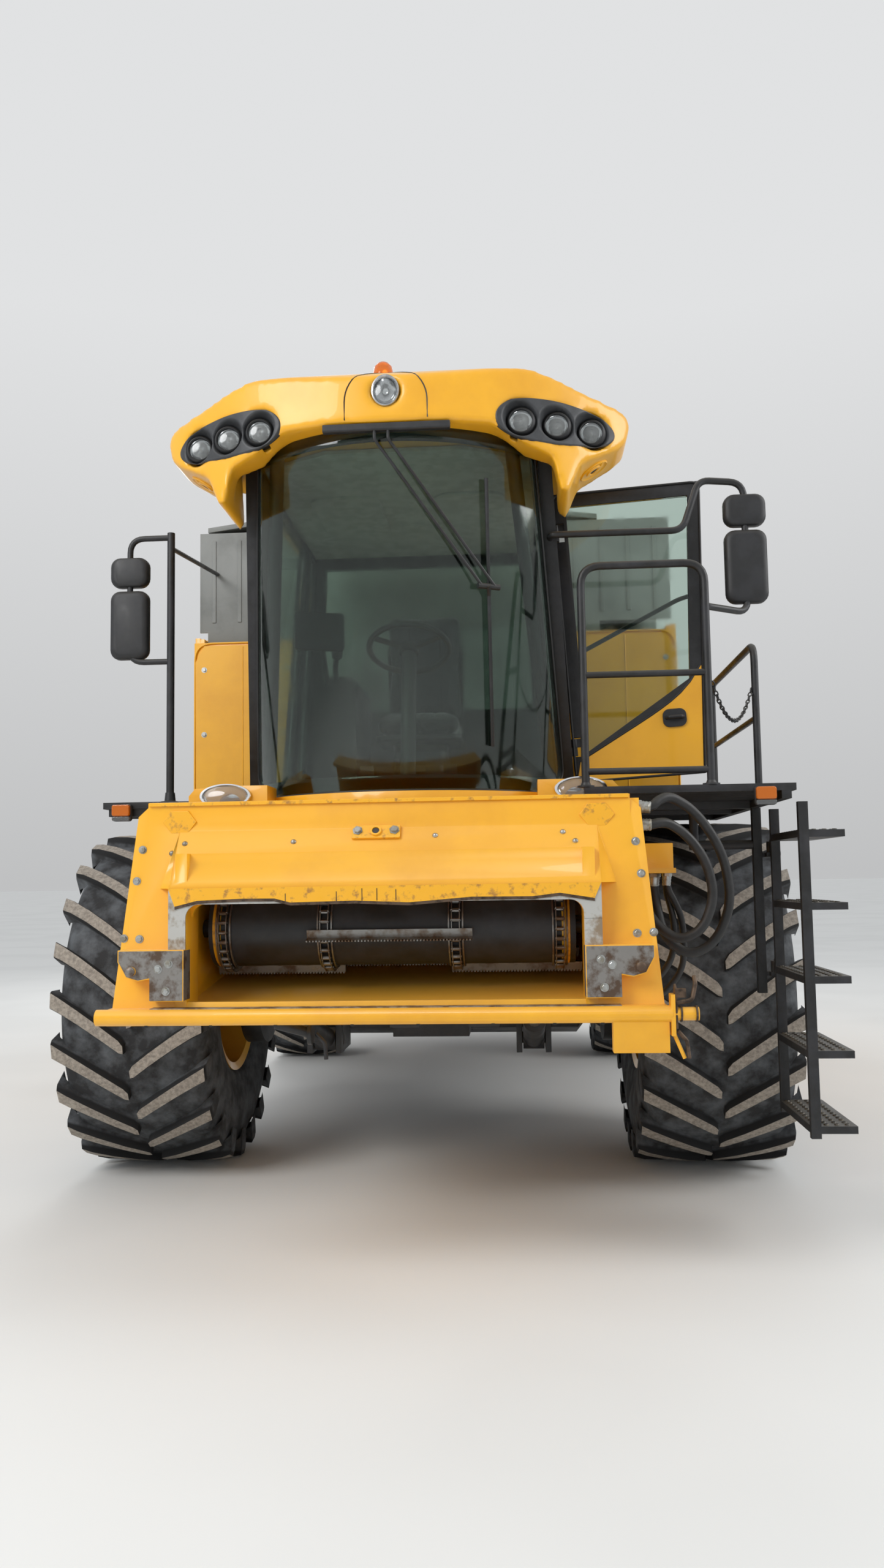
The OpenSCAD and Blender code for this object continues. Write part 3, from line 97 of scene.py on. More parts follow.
# Colours and nodes


def linear(hex_colour: str) -> tuple[float, float, float, float]:
    """Turns an sRGB hex colour to linear light.

    Args:
        hex_colour: Six hex digits after a hash sign.

    Returns:
        Red, green, blue and alpha in linear light.
    """
    parts = [int(hex_colour[i : i + 2], 16) / 255 for i in (1, 3, 5)]
    light = [c / 12.92 if c <= 0.04045 else ((c + 0.055) / 1.055) ** 2.4 for c in parts]
    return (light[0], light[1], light[2], 1.0)


def add_node(tree: bpy.types.NodeTree, kind: str, settings: dict[str, Any],
             inputs: dict[Any, Any]) -> bpy.types.Node:
    """Adds one node with its settings and links.

    Args:
        tree: The node tree.
        kind: The node's type name.
        settings: Attributes of the node, such as its operation.
        inputs: For each input's name or number, an output socket to link or a value to set.

    Returns:
        The new node.
    """
    node = tree.nodes.new(kind)
    for name, value in settings.items():
        setattr(node, name, value)
    for key, value in inputs.items():
        if isinstance(value, bpy.types.NodeSocket):
            tree.links.new(value, node.inputs[key])
        else:
            node.inputs[key].default_value = value
    return node


Socket = bpy.types.NodeSocket


def noise(tree: bpy.types.NodeTree, place: Socket, scale: float, detail: float,
          roughness: float = 0.5) -> Socket:
    """Noise from 0 to 1 at a place."""
    return add_node(tree, "ShaderNodeTexNoise", {}, {"Vector": place, "Scale": scale, "Detail": detail,
                                                     "Roughness": roughness}).outputs["Fac"]


def span(tree: bpy.types.NodeTree, value: Socket, low: float, high: float, to_low: float = 0.0,
         to_high: float = 1.0) -> Socket:
    """Maps a value between two limits to two others, and no further."""
    return add_node(tree, "ShaderNodeMapRange", {}, {"Value": value, "From Min": low, "From Max": high,
                                                     "To Min": to_low, "To Max": to_high}).outputs["Result"]


def reckon(tree: bpy.types.NodeTree, operation: str, *values: Any, clamp: bool = False) -> Socket:
    """Result of a sum on numbers or sockets."""
    return add_node(tree, "ShaderNodeMath", {"operation": operation, "use_clamp": clamp},
                    dict(enumerate(values))).outputs[0]


def blend(tree: bpy.types.NodeTree, share: Socket, first: Any, second: Any) -> Socket:
    """Mixes two colours, each a hex colour or a socket."""
    pair = [linear(c) if isinstance(c, str) else c for c in (first, second)]
    return add_node(tree, "ShaderNodeMix", {"data_type": "RGBA"},
                    {"Factor": share, 6: pair[0], 7: pair[1]}).outputs[2]


# Finishes


class Surface:
    """A finish whose material is made once and then shared by its name."""

    name: str

    def shader(self, tree: bpy.types.NodeTree, coordinates: bpy.types.Node) -> bpy.types.Node:
        """Builds the shader of this kind of finish."""
        raise NotImplementedError

    def material(self) -> bpy.types.Material:
        """Builds the material, or gives the one that is already there.

        Returns:
            The procedural material.
        """
        known = bpy.data.materials.get(self.name)
        if known is not None:
            return known
        made = bpy.data.materials.new(self.name)
        made.use_nodes = True
        tree = made.node_tree
        tree.nodes.clear()
        shader = self.shader(tree, add_node(tree, "ShaderNodeTexCoord", {}, {}))
        add_node(tree, "ShaderNodeOutputMaterial", {}, {"Surface": shader.outputs["BSDF"]})
        return made


@dataclass(frozen=True)
class Grain:
    """A noise pattern given by the size of its features.

    Attributes:
        size_mm: Width of one feature.
        depth_mm: Height of the relief that it gives.
        detail: Octaves of finer noise in it.
    """

    size_mm: float
    depth_mm: float = 0.0
    detail: float = 3.0

    def scale(self) -> float:
        """Noise scale that gives features of this width."""
        return 1000.0 / self.size_mm


@dataclass(frozen=True)
class Finish(Surface):
    """An opaque surface with two tones, settled dust and a fine relief.

    Attributes:
        name: Name of the material, after the real one.
        colour: Main tone as a hex colour.
        second: Tone of its patches as a hex colour.
        patch: Size of the patches.
        spread: Share of the surface in the second tone, from 0 to 1.
        roughness: Roughness where it is clean, and where it is worn or dusty.
        metallic: 1 for bare metal and 0 for anything else.
        relief: Fine relief of the surface.
        dust: Tone of the dust that lies on faces that look up.
        dust_share: How much of it there is, from 0 to 1.
        coat: Weight of a clear coat.
        sheen: Weight of a cloth's sheen.
    """

    name: str
    colour: str
    second: str
    patch: Grain
    spread: float
    roughness: tuple[float, float]
    metallic: float = 0.0
    relief: Grain = Grain(6.0, 0.05)
    dust: str = "#b8aa8f"
    dust_share: float = 0.25
    coat: float = 0.0
    sheen: float = 0.0

    def shader(self, tree: bpy.types.NodeTree, coordinates: bpy.types.Node) -> bpy.types.Node:
        """Builds two patchy tones under settled dust, with a fine relief.

        Args:
            tree: The material's node tree.
            coordinates: Its texture coordinates.

        Returns:
            The shader.
        """
        place = coordinates.outputs["Object"]
        patches = noise(tree, place, self.patch.scale(), self.patch.detail, 0.62)
        middle, edge = 0.5 + 0.24 * (0.5 - self.spread), 0.07
        tone = blend(tree, span(tree, patches, middle - edge, middle + edge), self.colour, self.second)
        facing = add_node(tree, "ShaderNodeSeparateXYZ", {},
                          {"Vector": add_node(tree, "ShaderNodeNewGeometry", {}, {}).outputs["Normal"]})
        upward = span(tree, facing.outputs["Z"], 0.15, 1.0, to_high=self.dust_share)
        speckle = noise(tree, place, 34.0, 5.0, 0.7)
        film = reckon(tree, "MULTIPLY_ADD", speckle, 0.35 * self.dust_share, -0.12 * self.dust_share)
        shown = blend(tree, reckon(tree, "ADD", upward, film, clamp=True), tone, self.dust)
        bump = add_node(tree, "ShaderNodeBump", {}, {
            "Height": noise(tree, place, self.relief.scale(), self.relief.detail), "Strength": 0.6,
            "Distance": self.relief.depth_mm / 1000})
        return add_node(tree, "ShaderNodeBsdfPrincipled", {}, {
            "Base Color": shown, "Roughness": span(tree, patches, 0.3, 0.7, *self.roughness),
            "Metallic": self.metallic, "Normal": bump.outputs["Normal"], "Coat Weight": self.coat,
            "Sheen Weight": self.sheen})


@dataclass(frozen=True)
class ClearFinish(Surface):
    """Glass or a clear plastic, tinted through and slightly dusty.

    Attributes:
        name: Name of the material, after the real one.
        tint: Colour that the light takes on inside.
        transmission: Share of the light that goes through.
        roughness: Roughness of the clean surface.
        alpha: Opacity, so that thin panes stay cheap to see through.
        film_mm: Size of the hazy patches on it.
    """

    name: str
    tint: str
    transmission: float = 1.0
    roughness: float = 0.03
    alpha: float = 1.0
    film_mm: float = 120.0

    def shader(self, tree: bpy.types.NodeTree, coordinates: bpy.types.Node) -> bpy.types.Node:
        """Builds a tinted body with a hazy film in patches.

        Args:
            tree: The material's node tree.
            coordinates: Its texture coordinates.

        Returns:
            The shader.
        """
        film = noise(tree, coordinates.outputs["Object"], 1000 / self.film_mm, 6.0, 0.65)
        haze = span(tree, film, 0.35, 0.75, self.roughness, self.roughness + 0.12)
        return add_node(tree, "ShaderNodeBsdfPrincipled", {},
                        {"Base Color": linear(self.tint), "Roughness": haze, "IOR": 1.5,
                         "Transmission Weight": self.transmission, "Alpha": self.alpha})


@dataclass(frozen=True)
class TyreFinish(Surface):
    """Farm tyre rubber: pale scuffed lug tops, near black flanks and dusty patches between.

    Attributes:
        name: Name of the material.
        axle: Place of the axle from the world's middle, along the machine and up.
        radius: Radius over the lugs.
        lug_height: Height of a lug.
    """

    name: str
    axle: tuple[float, float]
    radius: float
    lug_height: float

    def shader(self, tree: bpy.types.NodeTree, coordinates: bpy.types.Node) -> bpy.types.Node:
        """Builds the rubber's tones by the distance from the axle and the way that a face looks.

        Args:
            tree: The material's node tree.
            coordinates: Its texture coordinates.

        Returns:
            The shader.
        """
        def vector(operation: str, first: Any, second: Any) -> bpy.types.Node:
            """A sum on vectors."""
            return add_node(tree, "ShaderNodeVectorMath", {"operation": operation}, {0: first, 1: second})

        place = coordinates.outputs["Object"]
        about = vector("SUBTRACT", place, (0.0, *self.axle))
        radial = vector("MULTIPLY", about.outputs[0], (0.0, 1.0, 1.0)).outputs[0]
        out = add_node(tree, "ShaderNodeVectorMath", {"operation": "LENGTH"}, {0: radial}).outputs["Value"]
        unit = add_node(tree, "ShaderNodeVectorMath", {"operation": "NORMALIZE"}, {0: radial})
        facing = vector("DOT_PRODUCT", coordinates.outputs["Normal"], unit.outputs[0]).outputs["Value"]
        lug_end, foot = self.radius - 0.75 * self.lug_height, self.radius - self.lug_height
        high = span(tree, out, lug_end, lug_end + 0.008)
        above = span(tree, out, foot + 0.003, foot + 0.016)
        top = reckon(tree, "MULTIPLY", span(tree, facing, 0.5, 0.78), high)
        fine = noise(tree, place, 55.0, 6.0, 0.7)
        dusty = span(tree, noise(tree, place, 9.0, 7.0, 0.62), 0.40, 0.68)
        hollow = blend(tree, dusty, "#2a2a2b", "#5c5f62")
        flank = blend(tree, above, hollow, "#161617")
        crown = blend(tree, span(tree, fine, 0.38, 0.62), "#7c746b", "#a39a8e")
        bump = add_node(tree, "ShaderNodeBump", {}, {"Height": fine, "Strength": 0.5, "Distance": 0.0006})
        return add_node(tree, "ShaderNodeBsdfPrincipled", {},
                        {"Base Color": blend(tree, top, flank, crown), "Roughness": 0.85,
                         "Normal": bump.outputs["Normal"]})


# Natural rubber with carbon black, one finish for each size of tyre
FRONT_TYRE_RUBBER = TyreFinish("front_tyre_rubber", (AXLE_Y, 0.92), 0.92, 0.052)
REAR_TYRE_RUBBER = TyreFinish("rear_tyre_rubber", (1.975, 0.67), 0.67, 0.04)
# Sprayed and baked enamel over sheet steel: even colour, soft gloss, a film of chaff dust
YELLOW_ENAMEL = Finish("yellow_stove_enamel", "#f2b01e", "#e8a51a", Grain(700, 0, 6), 0.35, (0.28, 0.46),
                       relief=Grain(5.0, 0.035, 2), dust="#cdb98c", dust_share=0.16, coat=0.25)
# Black powder coating on welded frames: slightly pebbled, greyed by dust
BLACK_POWDER_COAT = Finish("black_powder_coat", "#17181a", "#25262a", Grain(160, 0, 5), 0.4, (0.38, 0.58),
                           relief=Grain(3.0, 0.05, 2), dust="#8d8472", dust_share=0.2)
# Grey primer-like enamel on the grain tank's sheets: dull and dusty
GREY_ENAMEL = Finish("grey_stove_enamel", "#7d7f7c", "#6e706d", Grain(420, 0, 6), 0.4, (0.4, 0.6),
                     relief=Grain(5.0, 0.03, 2), dust="#b5a88c", dust_share=0.25)
# Hot rolled steel worn bright by the crop, with brown patches of light rust
CROP_WORN_STEEL = Finish("crop_worn_steel", "#8b8a87", "#6a5848", Grain(90, 0, 8), 0.36, (0.26, 0.55),
                         metallic=0.85, relief=Grain(4.0, 0.06, 4), dust="#a99572", dust_share=0.22)
# Natural rubber with carbon black: dull charcoal, dry dust in the hollows
TYRE_RUBBER = Finish("tyre_rubber", "#2b2b2a", "#3d3a36", Grain(110, 0, 7), 0.42, (0.74, 0.92),
                     relief=Grain(3.5, 0.12, 4), dust="#86795f", dust_share=0.42)
# Extruded hose cover: smooth synthetic rubber
HOSE_RUBBER = Finish("hose_cover_rubber", "#131314", "#1f1f20", Grain(60, 0, 4), 0.35, (0.42, 0.6),
                     relief=Grain(2.5, 0.04, 3), dust="#7f7663", dust_share=0.14)
# Injection moulded ABS with a fine leather grain
MOULDED_ABS = Finish("moulded_abs", "#1c1d1f", "#232427", Grain(90, 0, 4), 0.4, (0.45, 0.6),
                     relief=Grain(2.4, 0.12, 2), dust="#8a8070", dust_share=0.14)
# Woven seat cloth in charcoal
WOVEN_SEAT_CLOTH = Finish("woven_seat_cloth", "#34363b", "#2a2c30", Grain(18, 0, 3), 0.5, (0.82, 0.95),
                          relief=Grain(2.2, 0.4, 2), dust="#7a7468", dust_share=0.1, sheen=0.35)
# Turned and polished rod or shaft steel with an oil film
POLISHED_ROD_STEEL = Finish("polished_rod_steel", "#b9babb", "#9c9b98", Grain(60, 0, 4), 0.3, (0.16, 0.32),
                            metallic=1.0, relief=Grain(2.0, 0.01, 2), dust="#8d8472", dust_share=0.08)
# Toughened cab glass with a deep green tint
GREEN_CAB_GLASS = ClearFinish("green_tinted_cab_glass", "#c2d6cb", 1.0, 0.015)
# Galvanised and zinc plated fasteners, slightly dulled
ZINC_PLATED_STEEL = Finish("zinc_plated_steel", "#b4b6b4", "#8f8b80", Grain(40, 0, 4), 0.35, (0.3, 0.5),
                           metallic=0.9, relief=Grain(3.0, 0.02, 2), dust="#8d8472", dust_share=0.12)
# Enamel on the crop inlet, chipped to primer and rust in small spots
FEEDER_ENAMEL = Finish("chipped_feeder_enamel", "#f0ae1c", "#a8742f", Grain(30, 0, 10), 0.05, (0.3, 0.55),
                       relief=Grain(5.0, 0.05, 3), dust="#cdb98c", dust_share=0.14, coat=0.15)
# Pale primer round the crop mouth, rubbed through in places
MOUTH_PRIMER = Finish("rubbed_grey_primer", "#b6b5b0", "#8c7c68", Grain(60, 0, 9), 0.3, (0.42, 0.62),
                      metallic=0.25, relief=Grain(4.0, 0.06, 3), dust="#a99572", dust_share=0.12)
# Guides and sill scraped by headers, grey with brown bruises
WORN_GUIDE_STEEL = Finish("scraped_guide_steel", "#8d8a86", "#5d4c40", Grain(70, 0, 9), 0.42, (0.3, 0.6),
                          metallic=0.7, relief=Grain(4.0, 0.12, 4), dust="#a99572", dust_share=0.12)
# Bare brown steel where the paint is long gone
BROWN_WORN_STEEL = Finish("browned_bare_steel", "#5c4a3b", "#352a22", Grain(36, 0, 8), 0.4, (0.45, 0.75),
                          metallic=0.45, relief=Grain(3.0, 0.15, 5), dust="#8f7a5c", dust_share=0.15)
# Black ceramic print round the windscreen
PRINTED_GLASS_BORDER = Finish("ceramic_print_border", "#0b0c0d", "#101112", Grain(200), 0.4, (0.08, 0.16),
                              relief=Grain(8.0, 0.0, 1), dust_share=0.04)
# Dark grey plastic of the lamp pods
POD_PLASTIC = Finish("grey_pod_plastic", "#3b3d40", "#303235", Grain(80, 0, 4), 0.4, (0.4, 0.58),
                     relief=Grain(2.4, 0.1, 2), dust="#8a8070", dust_share=0.1)
# Aluminised lamp bowls
LAMP_REFLECTOR = Finish("aluminised_reflector", "#e6e7e8", "#d6d8da", Grain(80), 0.4, (0.06, 0.14),
                        metallic=1.0, relief=Grain(12.0, 0.02, 1), dust_share=0.0)
# Frosted glass of the bulbs
FROSTED_BULB = Finish("frosted_bulb_glass", "#f4f3ee", "#e9e7df", Grain(20), 0.4, (0.25, 0.4),
                      relief=Grain(3.0, 0.0, 1), dust_share=0.0)
# Brushed bezel steel
BRUSHED_TRIM = Finish("brushed_bezel_steel", "#c4c6c8", "#a9abae", Grain(30, 0, 4), 0.4, (0.22, 0.38),
                      metallic=1.0, relief=Grain(2.0, 0.02, 2), dust_share=0.05)
# Felt covered foam under the cab roof
HEADLINER_FOAM = Finish("headliner_felt", "#b4b2a9", "#a5a39a", Grain(60, 0, 4), 0.5, (0.85, 0.95),
                        relief=Grain(2.0, 0.3, 3), dust_share=0.0, sheen=0.3)
# Silvered glass of the mirrors
SILVERED_GLASS = Finish("silvered_mirror_glass", "#dfe5e6", "#d9dfe0", Grain(150), 0.4, (0.03, 0.08),
                        metallic=1.0, relief=Grain(50.0, 0.0, 1), dust_share=0.04)
# Chequered steel of the walkways, blackened and rubbed
TREAD_STEEL = Finish("chequered_walkway_steel", "#3b3b3a", "#5a554c", Grain(60, 0, 6), 0.4, (0.35, 0.6),
                     metallic=0.5, relief=Grain(3.0, 0.06, 3), dust="#8d8472", dust_share=0.25)
# Exhaust steel stained by heat
HEATED_STEEL = Finish("heat_stained_steel", "#6e5b4d", "#403937", Grain(90, 0, 8), 0.45, (0.4, 0.65),
                      metallic=0.75, relief=Grain(3.0, 0.1, 4), dust="#7b6d57", dust_share=0.15)
# Amber and red acrylic lenses
AMBER_LENS = ClearFinish("amber_acrylic_lens", "#f5821e", 0.45, 0.06, film_mm=25)
RED_LENS = ClearFinish("red_acrylic_lens", "#c4161a", 0.45, 0.06, film_mm=25)
# Clear polycarbonate lamp lens
LAMP_LENS = ClearFinish("clear_lamp_lens", "#e9ecec", 0.9, 0.04, film_mm=30)

SLOT_FINISH: dict[str, Surface] = {
    "yellow_paint": YELLOW_ENAMEL,
    "dark_paint": BLACK_POWDER_COAT,
    "grey_paint": GREY_ENAMEL,
    "bare_steel": CROP_WORN_STEEL,
    "tyre_rubber": TYRE_RUBBER,
    "hose_rubber": HOSE_RUBBER,
    "tinted_glass": GREEN_CAB_GLASS,
    "lamp_glass": LAMP_LENS,
    "seat_cloth": WOVEN_SEAT_CLOTH,
    "black_plastic": MOULDED_ABS,
}


# Meshes


class Shape:
    """A mesh under construction, with Y starting at the front axle."""

    def __init__(self) -> None:
        """Starts with no faces."""
        self.mesh = bmesh.new()

    def faces(self, points: Sequence[Point], faces: Sequence[Sequence[int]]) -> "Shape":
        """Adds points and the faces between them.

        Args:
            points: The points.
            faces: For each face, the numbers of its points.

        Returns:
            The shape itself.
        """
        made = [self.mesh.verts.new(p) for p in points]
        for face in faces:
            self.mesh.faces.new([made[i] for i in face])
        return self

    def box(self, low: Point, high: Point) -> "Shape":
        """Adds a box between two corners."""
        x, y, z = zip(low, high)
        points = [(x[i & 1], y[i >> 1 & 1], z[i >> 2]) for i in range(8)]
        return self.faces(points, [(0, 2, 3, 1), (4, 5, 7, 6), (0, 1, 5, 4), (2, 6, 7, 3),
                                   (0, 4, 6, 2), (1, 3, 7, 5)])

    def prism(self, outline: Sequence[Sequence[float]], axis: Axis, start: float, depth: float) -> "Shape":
        """Pushes a flat outline along an axis.

        Args:
            outline: Points in the plane across the axis, in the order of the other two axes.
            axis: Direction that the outline is pushed along.
            start: Where it starts on that axis.
            depth: How far it goes.

        Returns:
            The shape itself.
        """
        def placed(p: Sequence[float], along: float) -> tuple[float, float, float]:
            """A point of the outline at its place along the axis."""
            return {Axis.X: (along, p[0], p[1]), Axis.Y: (p[0], along, p[1]),
                    Axis.Z: (p[0], p[1], along)}[axis]

        n = len(outline)
        points = [placed(p, a) for a in (start, start + depth) for p in outline]
        sides = [(i, (i + 1) % n, n + (i + 1) % n, n + i) for i in range(n)]
        return self.faces(points, [tuple(range(n)), tuple(range(2 * n - 1, n - 1, -1)), *sides])

    def sweep(self, path: Sequence[Point], radius: float, sides: int = 12, closed: bool = False) -> "Shape":
        """Adds a round tube along a path.

        Args:
            path: Points of its middle line.
            radius: Radius of the tube.
            sides: Number of its sides.
            closed: Whether the last point joins the first.

        Returns:
            The shape itself.
        """
        points = [Vector(p) for p in path]
        count = len(points)
        rings = []
        reference = None
        for i, p in enumerate(points):
            ahead = points[(i + 1) % count] if closed or i < count - 1 else p
            behind = points[i - 1] if closed or i > 0 else p
            along = (ahead - behind).normalized()
            if reference is None:
                reference = along.orthogonal().normalized()
            reference = (reference - along * reference.dot(along)).normalized()
            other = along.cross(reference)
            rings.append([p + radius * (reference * math.cos(t) + other * math.sin(t)) for t in turns(sides)])
        made = [[self.mesh.verts.new(v) for v in ring] for ring in rings]
        for i in range(count if closed else count - 1):
            here, there = made[i], made[(i + 1) % count]
            for k in range(sides):
                self.mesh.faces.new([here[k], here[(k + 1) % sides], there[(k + 1) % sides], there[k]])
        if not closed:
            self.mesh.faces.new(made[0][::-1])
            self.mesh.faces.new(made[-1])
        return self

    def lathe(self, profile: Sequence[Sequence[float]], centre: Point, axis: Point, segments: int = 48,
              closed: bool = True) -> "Shape":
        """Turns a profile about an axis.

        Args:
            profile: Points as (place along the axis, radius).
            centre: Point on the axis where the place is 0.
            axis: Direction of the axis.
            segments: Number of sides round it.
            closed: Whether the profile's last point joins its first.

        Returns:
            The shape itself.
        """
        along = Vector(axis).normalized()
        first = along.orthogonal().normalized()
        second = along.cross(first)
        rings = []
        for place, radius in profile:
            middle = Vector(centre) + along * place
            if radius < 1e-6:
                rings.append([self.mesh.verts.new(middle)])
                continue
            rings.append([self.mesh.verts.new(middle + radius * (first * math.cos(t) + second * math.sin(t)))
                          for t in turns(segments)])
        pairs = len(rings) if closed else len(rings) - 1
        for i in range(pairs):
            here, there = rings[i], rings[(i + 1) % len(rings)]
            for k in range(segments):
                corners = [here[k % len(here)], here[(k + 1) % len(here)],
                           there[(k + 1) % len(there)], there[k % len(there)]]
                corners = list(dict.fromkeys(corners))
                if len(corners) > 2:
                    self.mesh.faces.new(corners)
        return self

    def loft(self, rings: Sequence[Sequence[Point]]) -> "Shape":
        """Joins rings of equally many points in their order and closes both ends."""
        n, last = len(rings[0]), len(rings) - 1
        faces = [(i * n + k, i * n + (k + 1) % n, (i + 1) * n + (k + 1) % n, (i + 1) * n + k)
                 for i in range(last) for k in range(n)]
        faces += [tuple(range(n)), tuple(last * n + k for k in range(n - 1, -1, -1))]
        return self.faces([p for ring in rings for p in ring], faces)

    def add(self, other: "Shape") -> "Shape":
        """Takes in all of another shape, which is used up."""
        mesh = bpy.data.meshes.new("part")
        other.mesh.to_mesh(mesh)
        other.mesh.free()
        self.mesh.from_mesh(mesh)
        return self

    def mirrored(self) -> "Shape":
        """Adds a copy of everything so far on the other side of the machine."""
        made = bmesh.ops.duplicate(self.mesh,
                                   geom=self.mesh.verts[:] + self.mesh.edges[:] + self.mesh.faces[:])
        verts = [g for g in made["geom"] if isinstance(g, bmesh.types.BMVert)]
        for v in verts:
            v.co.x = -v.co.x
        bmesh.ops.reverse_faces(self.mesh, faces=[g for g in made["geom"]
                                                  if isinstance(g, bmesh.types.BMFace)])
        return self

    def moved(self, matrix: Matrix) -> "Shape":
        """Moves everything so far by a matrix."""
        bmesh.ops.transform(self.mesh, matrix=matrix, verts=self.mesh.verts[:])
        return self

    def object(self, name: str, finish: Surface, in_place: bool = True) -> bpy.types.Object:
        """Closes the mesh and makes it an object.

        Args:
            name: Name of the object.
            finish: Its finish.
            in_place: Whether it is moved from the front axle's frame to the machine's.

        Returns:
            The object, with its faces pointing outwards.
        """
        if in_place:
            self.moved(Matrix.Translation((0, AXLE_Y, 0)))
        bmesh.ops.recalc_face_normals(self.mesh, faces=self.mesh.faces[:])
        data = bpy.data.meshes.new(name)
        self.mesh.to_mesh(data)
        self.mesh.free()
        data.materials.append(finish.material())
        return linked(name, data)

    def put(self, name: str, finish: Surface, body: str, slot: str, *replaced: str, angle: float = 35.0,
            edge: float = 0.0, steps: int = 2) -> bpy.types.Object:
        """Makes the mesh a finished piece on its body.

        Args:
            name: Name of the piece.
            finish: Its finish.
            body: The body that it moves with.
            slot: The record's slot for its finish.
            *replaced: Nodes that it stands for.
            angle: Sharpest angle in degrees that is shaded smooth, where no edge is rounded.
            edge: Width of its rounded edges, or 0 for none.
            steps: Steps across a rounded edge.

        Returns:
            The piece.
        """
        piece = self.object(name, finish)
        if edge:
            soften(piece, edge, steps)
        else:
            smooth(piece, angle)
        return finished(piece, body, slot, *replaced)


def linked(name: str, data: bpy.types.ID) -> bpy.types.Object:
    """Makes an object of its data and links it to the scene."""
    made = bpy.data.objects.new(name, data)
    bpy.context.scene.collection.objects.link(made)
    return made


def baked(piece: bpy.types.Object) -> bpy.types.Object:
    """Keeps what a piece's modifiers make as its plain mesh."""
    bpy.context.view_layer.update()
    evaluated = piece.evaluated_get(bpy.context.evaluated_depsgraph_get())
    piece.data = bpy.data.meshes.new_from_object(evaluated)
    piece.modifiers.clear()
    return piece


def thickened(sheet: bpy.types.Object, thick: float) -> bpy.types.Object:
    """Gives an open sheet its thickness behind the face that looks to the front."""
    backward = sum(f.normal.y * f.area for f in sheet.data.polygons)
    wall = sheet.modifiers.new("thickness", "SOLIDIFY")
    wall.thickness = thick
    wall.offset = 1.0 if backward > 0 else -1.0
    sheet.data.shade_smooth()
    return sheet


def smooth(piece: bpy.types.Object, angle: float = 35.0) -> bpy.types.Object:
    """Shades a mesh smooth, with edges sharper than an angle in degrees kept."""
    piece.data.shade_smooth()
    mesh = bmesh.new()
    mesh.from_mesh(piece.data)
    for edge in mesh.edges:
        edge.smooth = len(edge.link_faces) == 2 and edge.calc_face_angle(0.0) < math.radians(angle)
    mesh.to_mesh(piece.data)
    mesh.free()
    return piece


def soften(piece: bpy.types.Object, width: float, segments: int = 2) -> bpy.types.Object:
    """Rounds a piece's sharp edges, as bent sheet and castings have them.

    Args:
        piece: The piece.
        width: Width of the rounding in metres.
        segments: Steps across it.

    Returns:
        The piece.
    """
    bevel = piece.modifiers.new("rounded_edges", "BEVEL")
    bevel.width = width
    bevel.segments = segments
    bevel.limit_method = "ANGLE"
    bevel.angle_limit = math.radians(32)
    bevel.harden_normals = True
    piece.data.shade_smooth()
    return piece


def finished(piece: bpy.types.Object, body: str, slot: str, *replaced: str) -> bpy.types.Object:
    """Puts a piece on its body and hides the nodes that it stands for.

    Args:
        piece: The piece.
        body: The body that it moves with.
        slot: The record's slot for its finish. Not used.
        *replaced: Nodes that it stands for.

    Returns:
        The piece.
    """
    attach(piece, body)
    if replaced:
        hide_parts(*replaced)
    LOG.info("piece %s rides on %s, %d faces", piece.name, body, len(piece.data.polygons))
    return piece


def dressed_node(node: str, finish: Surface, edge: float = 0.0) -> bpy.types.Object:
    """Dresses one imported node, as a rounded copy where its edges show.

    Args:
        node: Name of the node.
        finish: Its finish.
        edge: Width of its rounded edges, or 0 to show the node itself.

    Returns:
        The object that shows.
    """
    source = FRAME["nodes"][node]
    if edge == 0.0:
        source.data.materials.clear()
        source.data.materials.append(finish.material())
        return source
    mesh = bmesh.new()
    mesh.from_mesh(source.data)
    bmesh.ops.remove_doubles(mesh, verts=mesh.verts[:], dist=0.00002)
    bmesh.ops.dissolve_limit(mesh, angle_limit=math.radians(0.6), verts=mesh.verts[:], edges=mesh.edges[:],
                             delimit={"NORMAL"})
    data = bpy.data.meshes.new(node + "_shell")
    mesh.to_mesh(data)
    mesh.free()
    data.materials.append(finish.material())
    slot = {s["node"]: s["material_slot"] for s in FRAME["record"]["subparts"]}[node]
    return finished(soften(linked(node + "_shell", data), edge), source["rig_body"], slot, node)


# Repeats by Geometry Nodes


def new_tree(name: str, sockets: Sequence[tuple[str, str]]) -> tuple[bpy.types.NodeTree, bpy.types.Node]:
    """Starts a geometry tree with named inputs.

    Args:
        name: Name of the tree.
        sockets: Name and socket type of each input after the geometry.

    Returns:
        The tree and its input node.
    """
    tree = bpy.data.node_groups.new(name, "GeometryNodeTree")
    tree.interface.new_socket("Geometry", in_out="INPUT", socket_type="NodeSocketGeometry")
    for label, kind in sockets:
        tree.interface.new_socket(label, in_out="INPUT", socket_type=kind)
    tree.interface.new_socket("Geometry", in_out="OUTPUT", socket_type="NodeSocketGeometry")
    return tree, add_node(tree, "NodeGroupInput", {}, {})


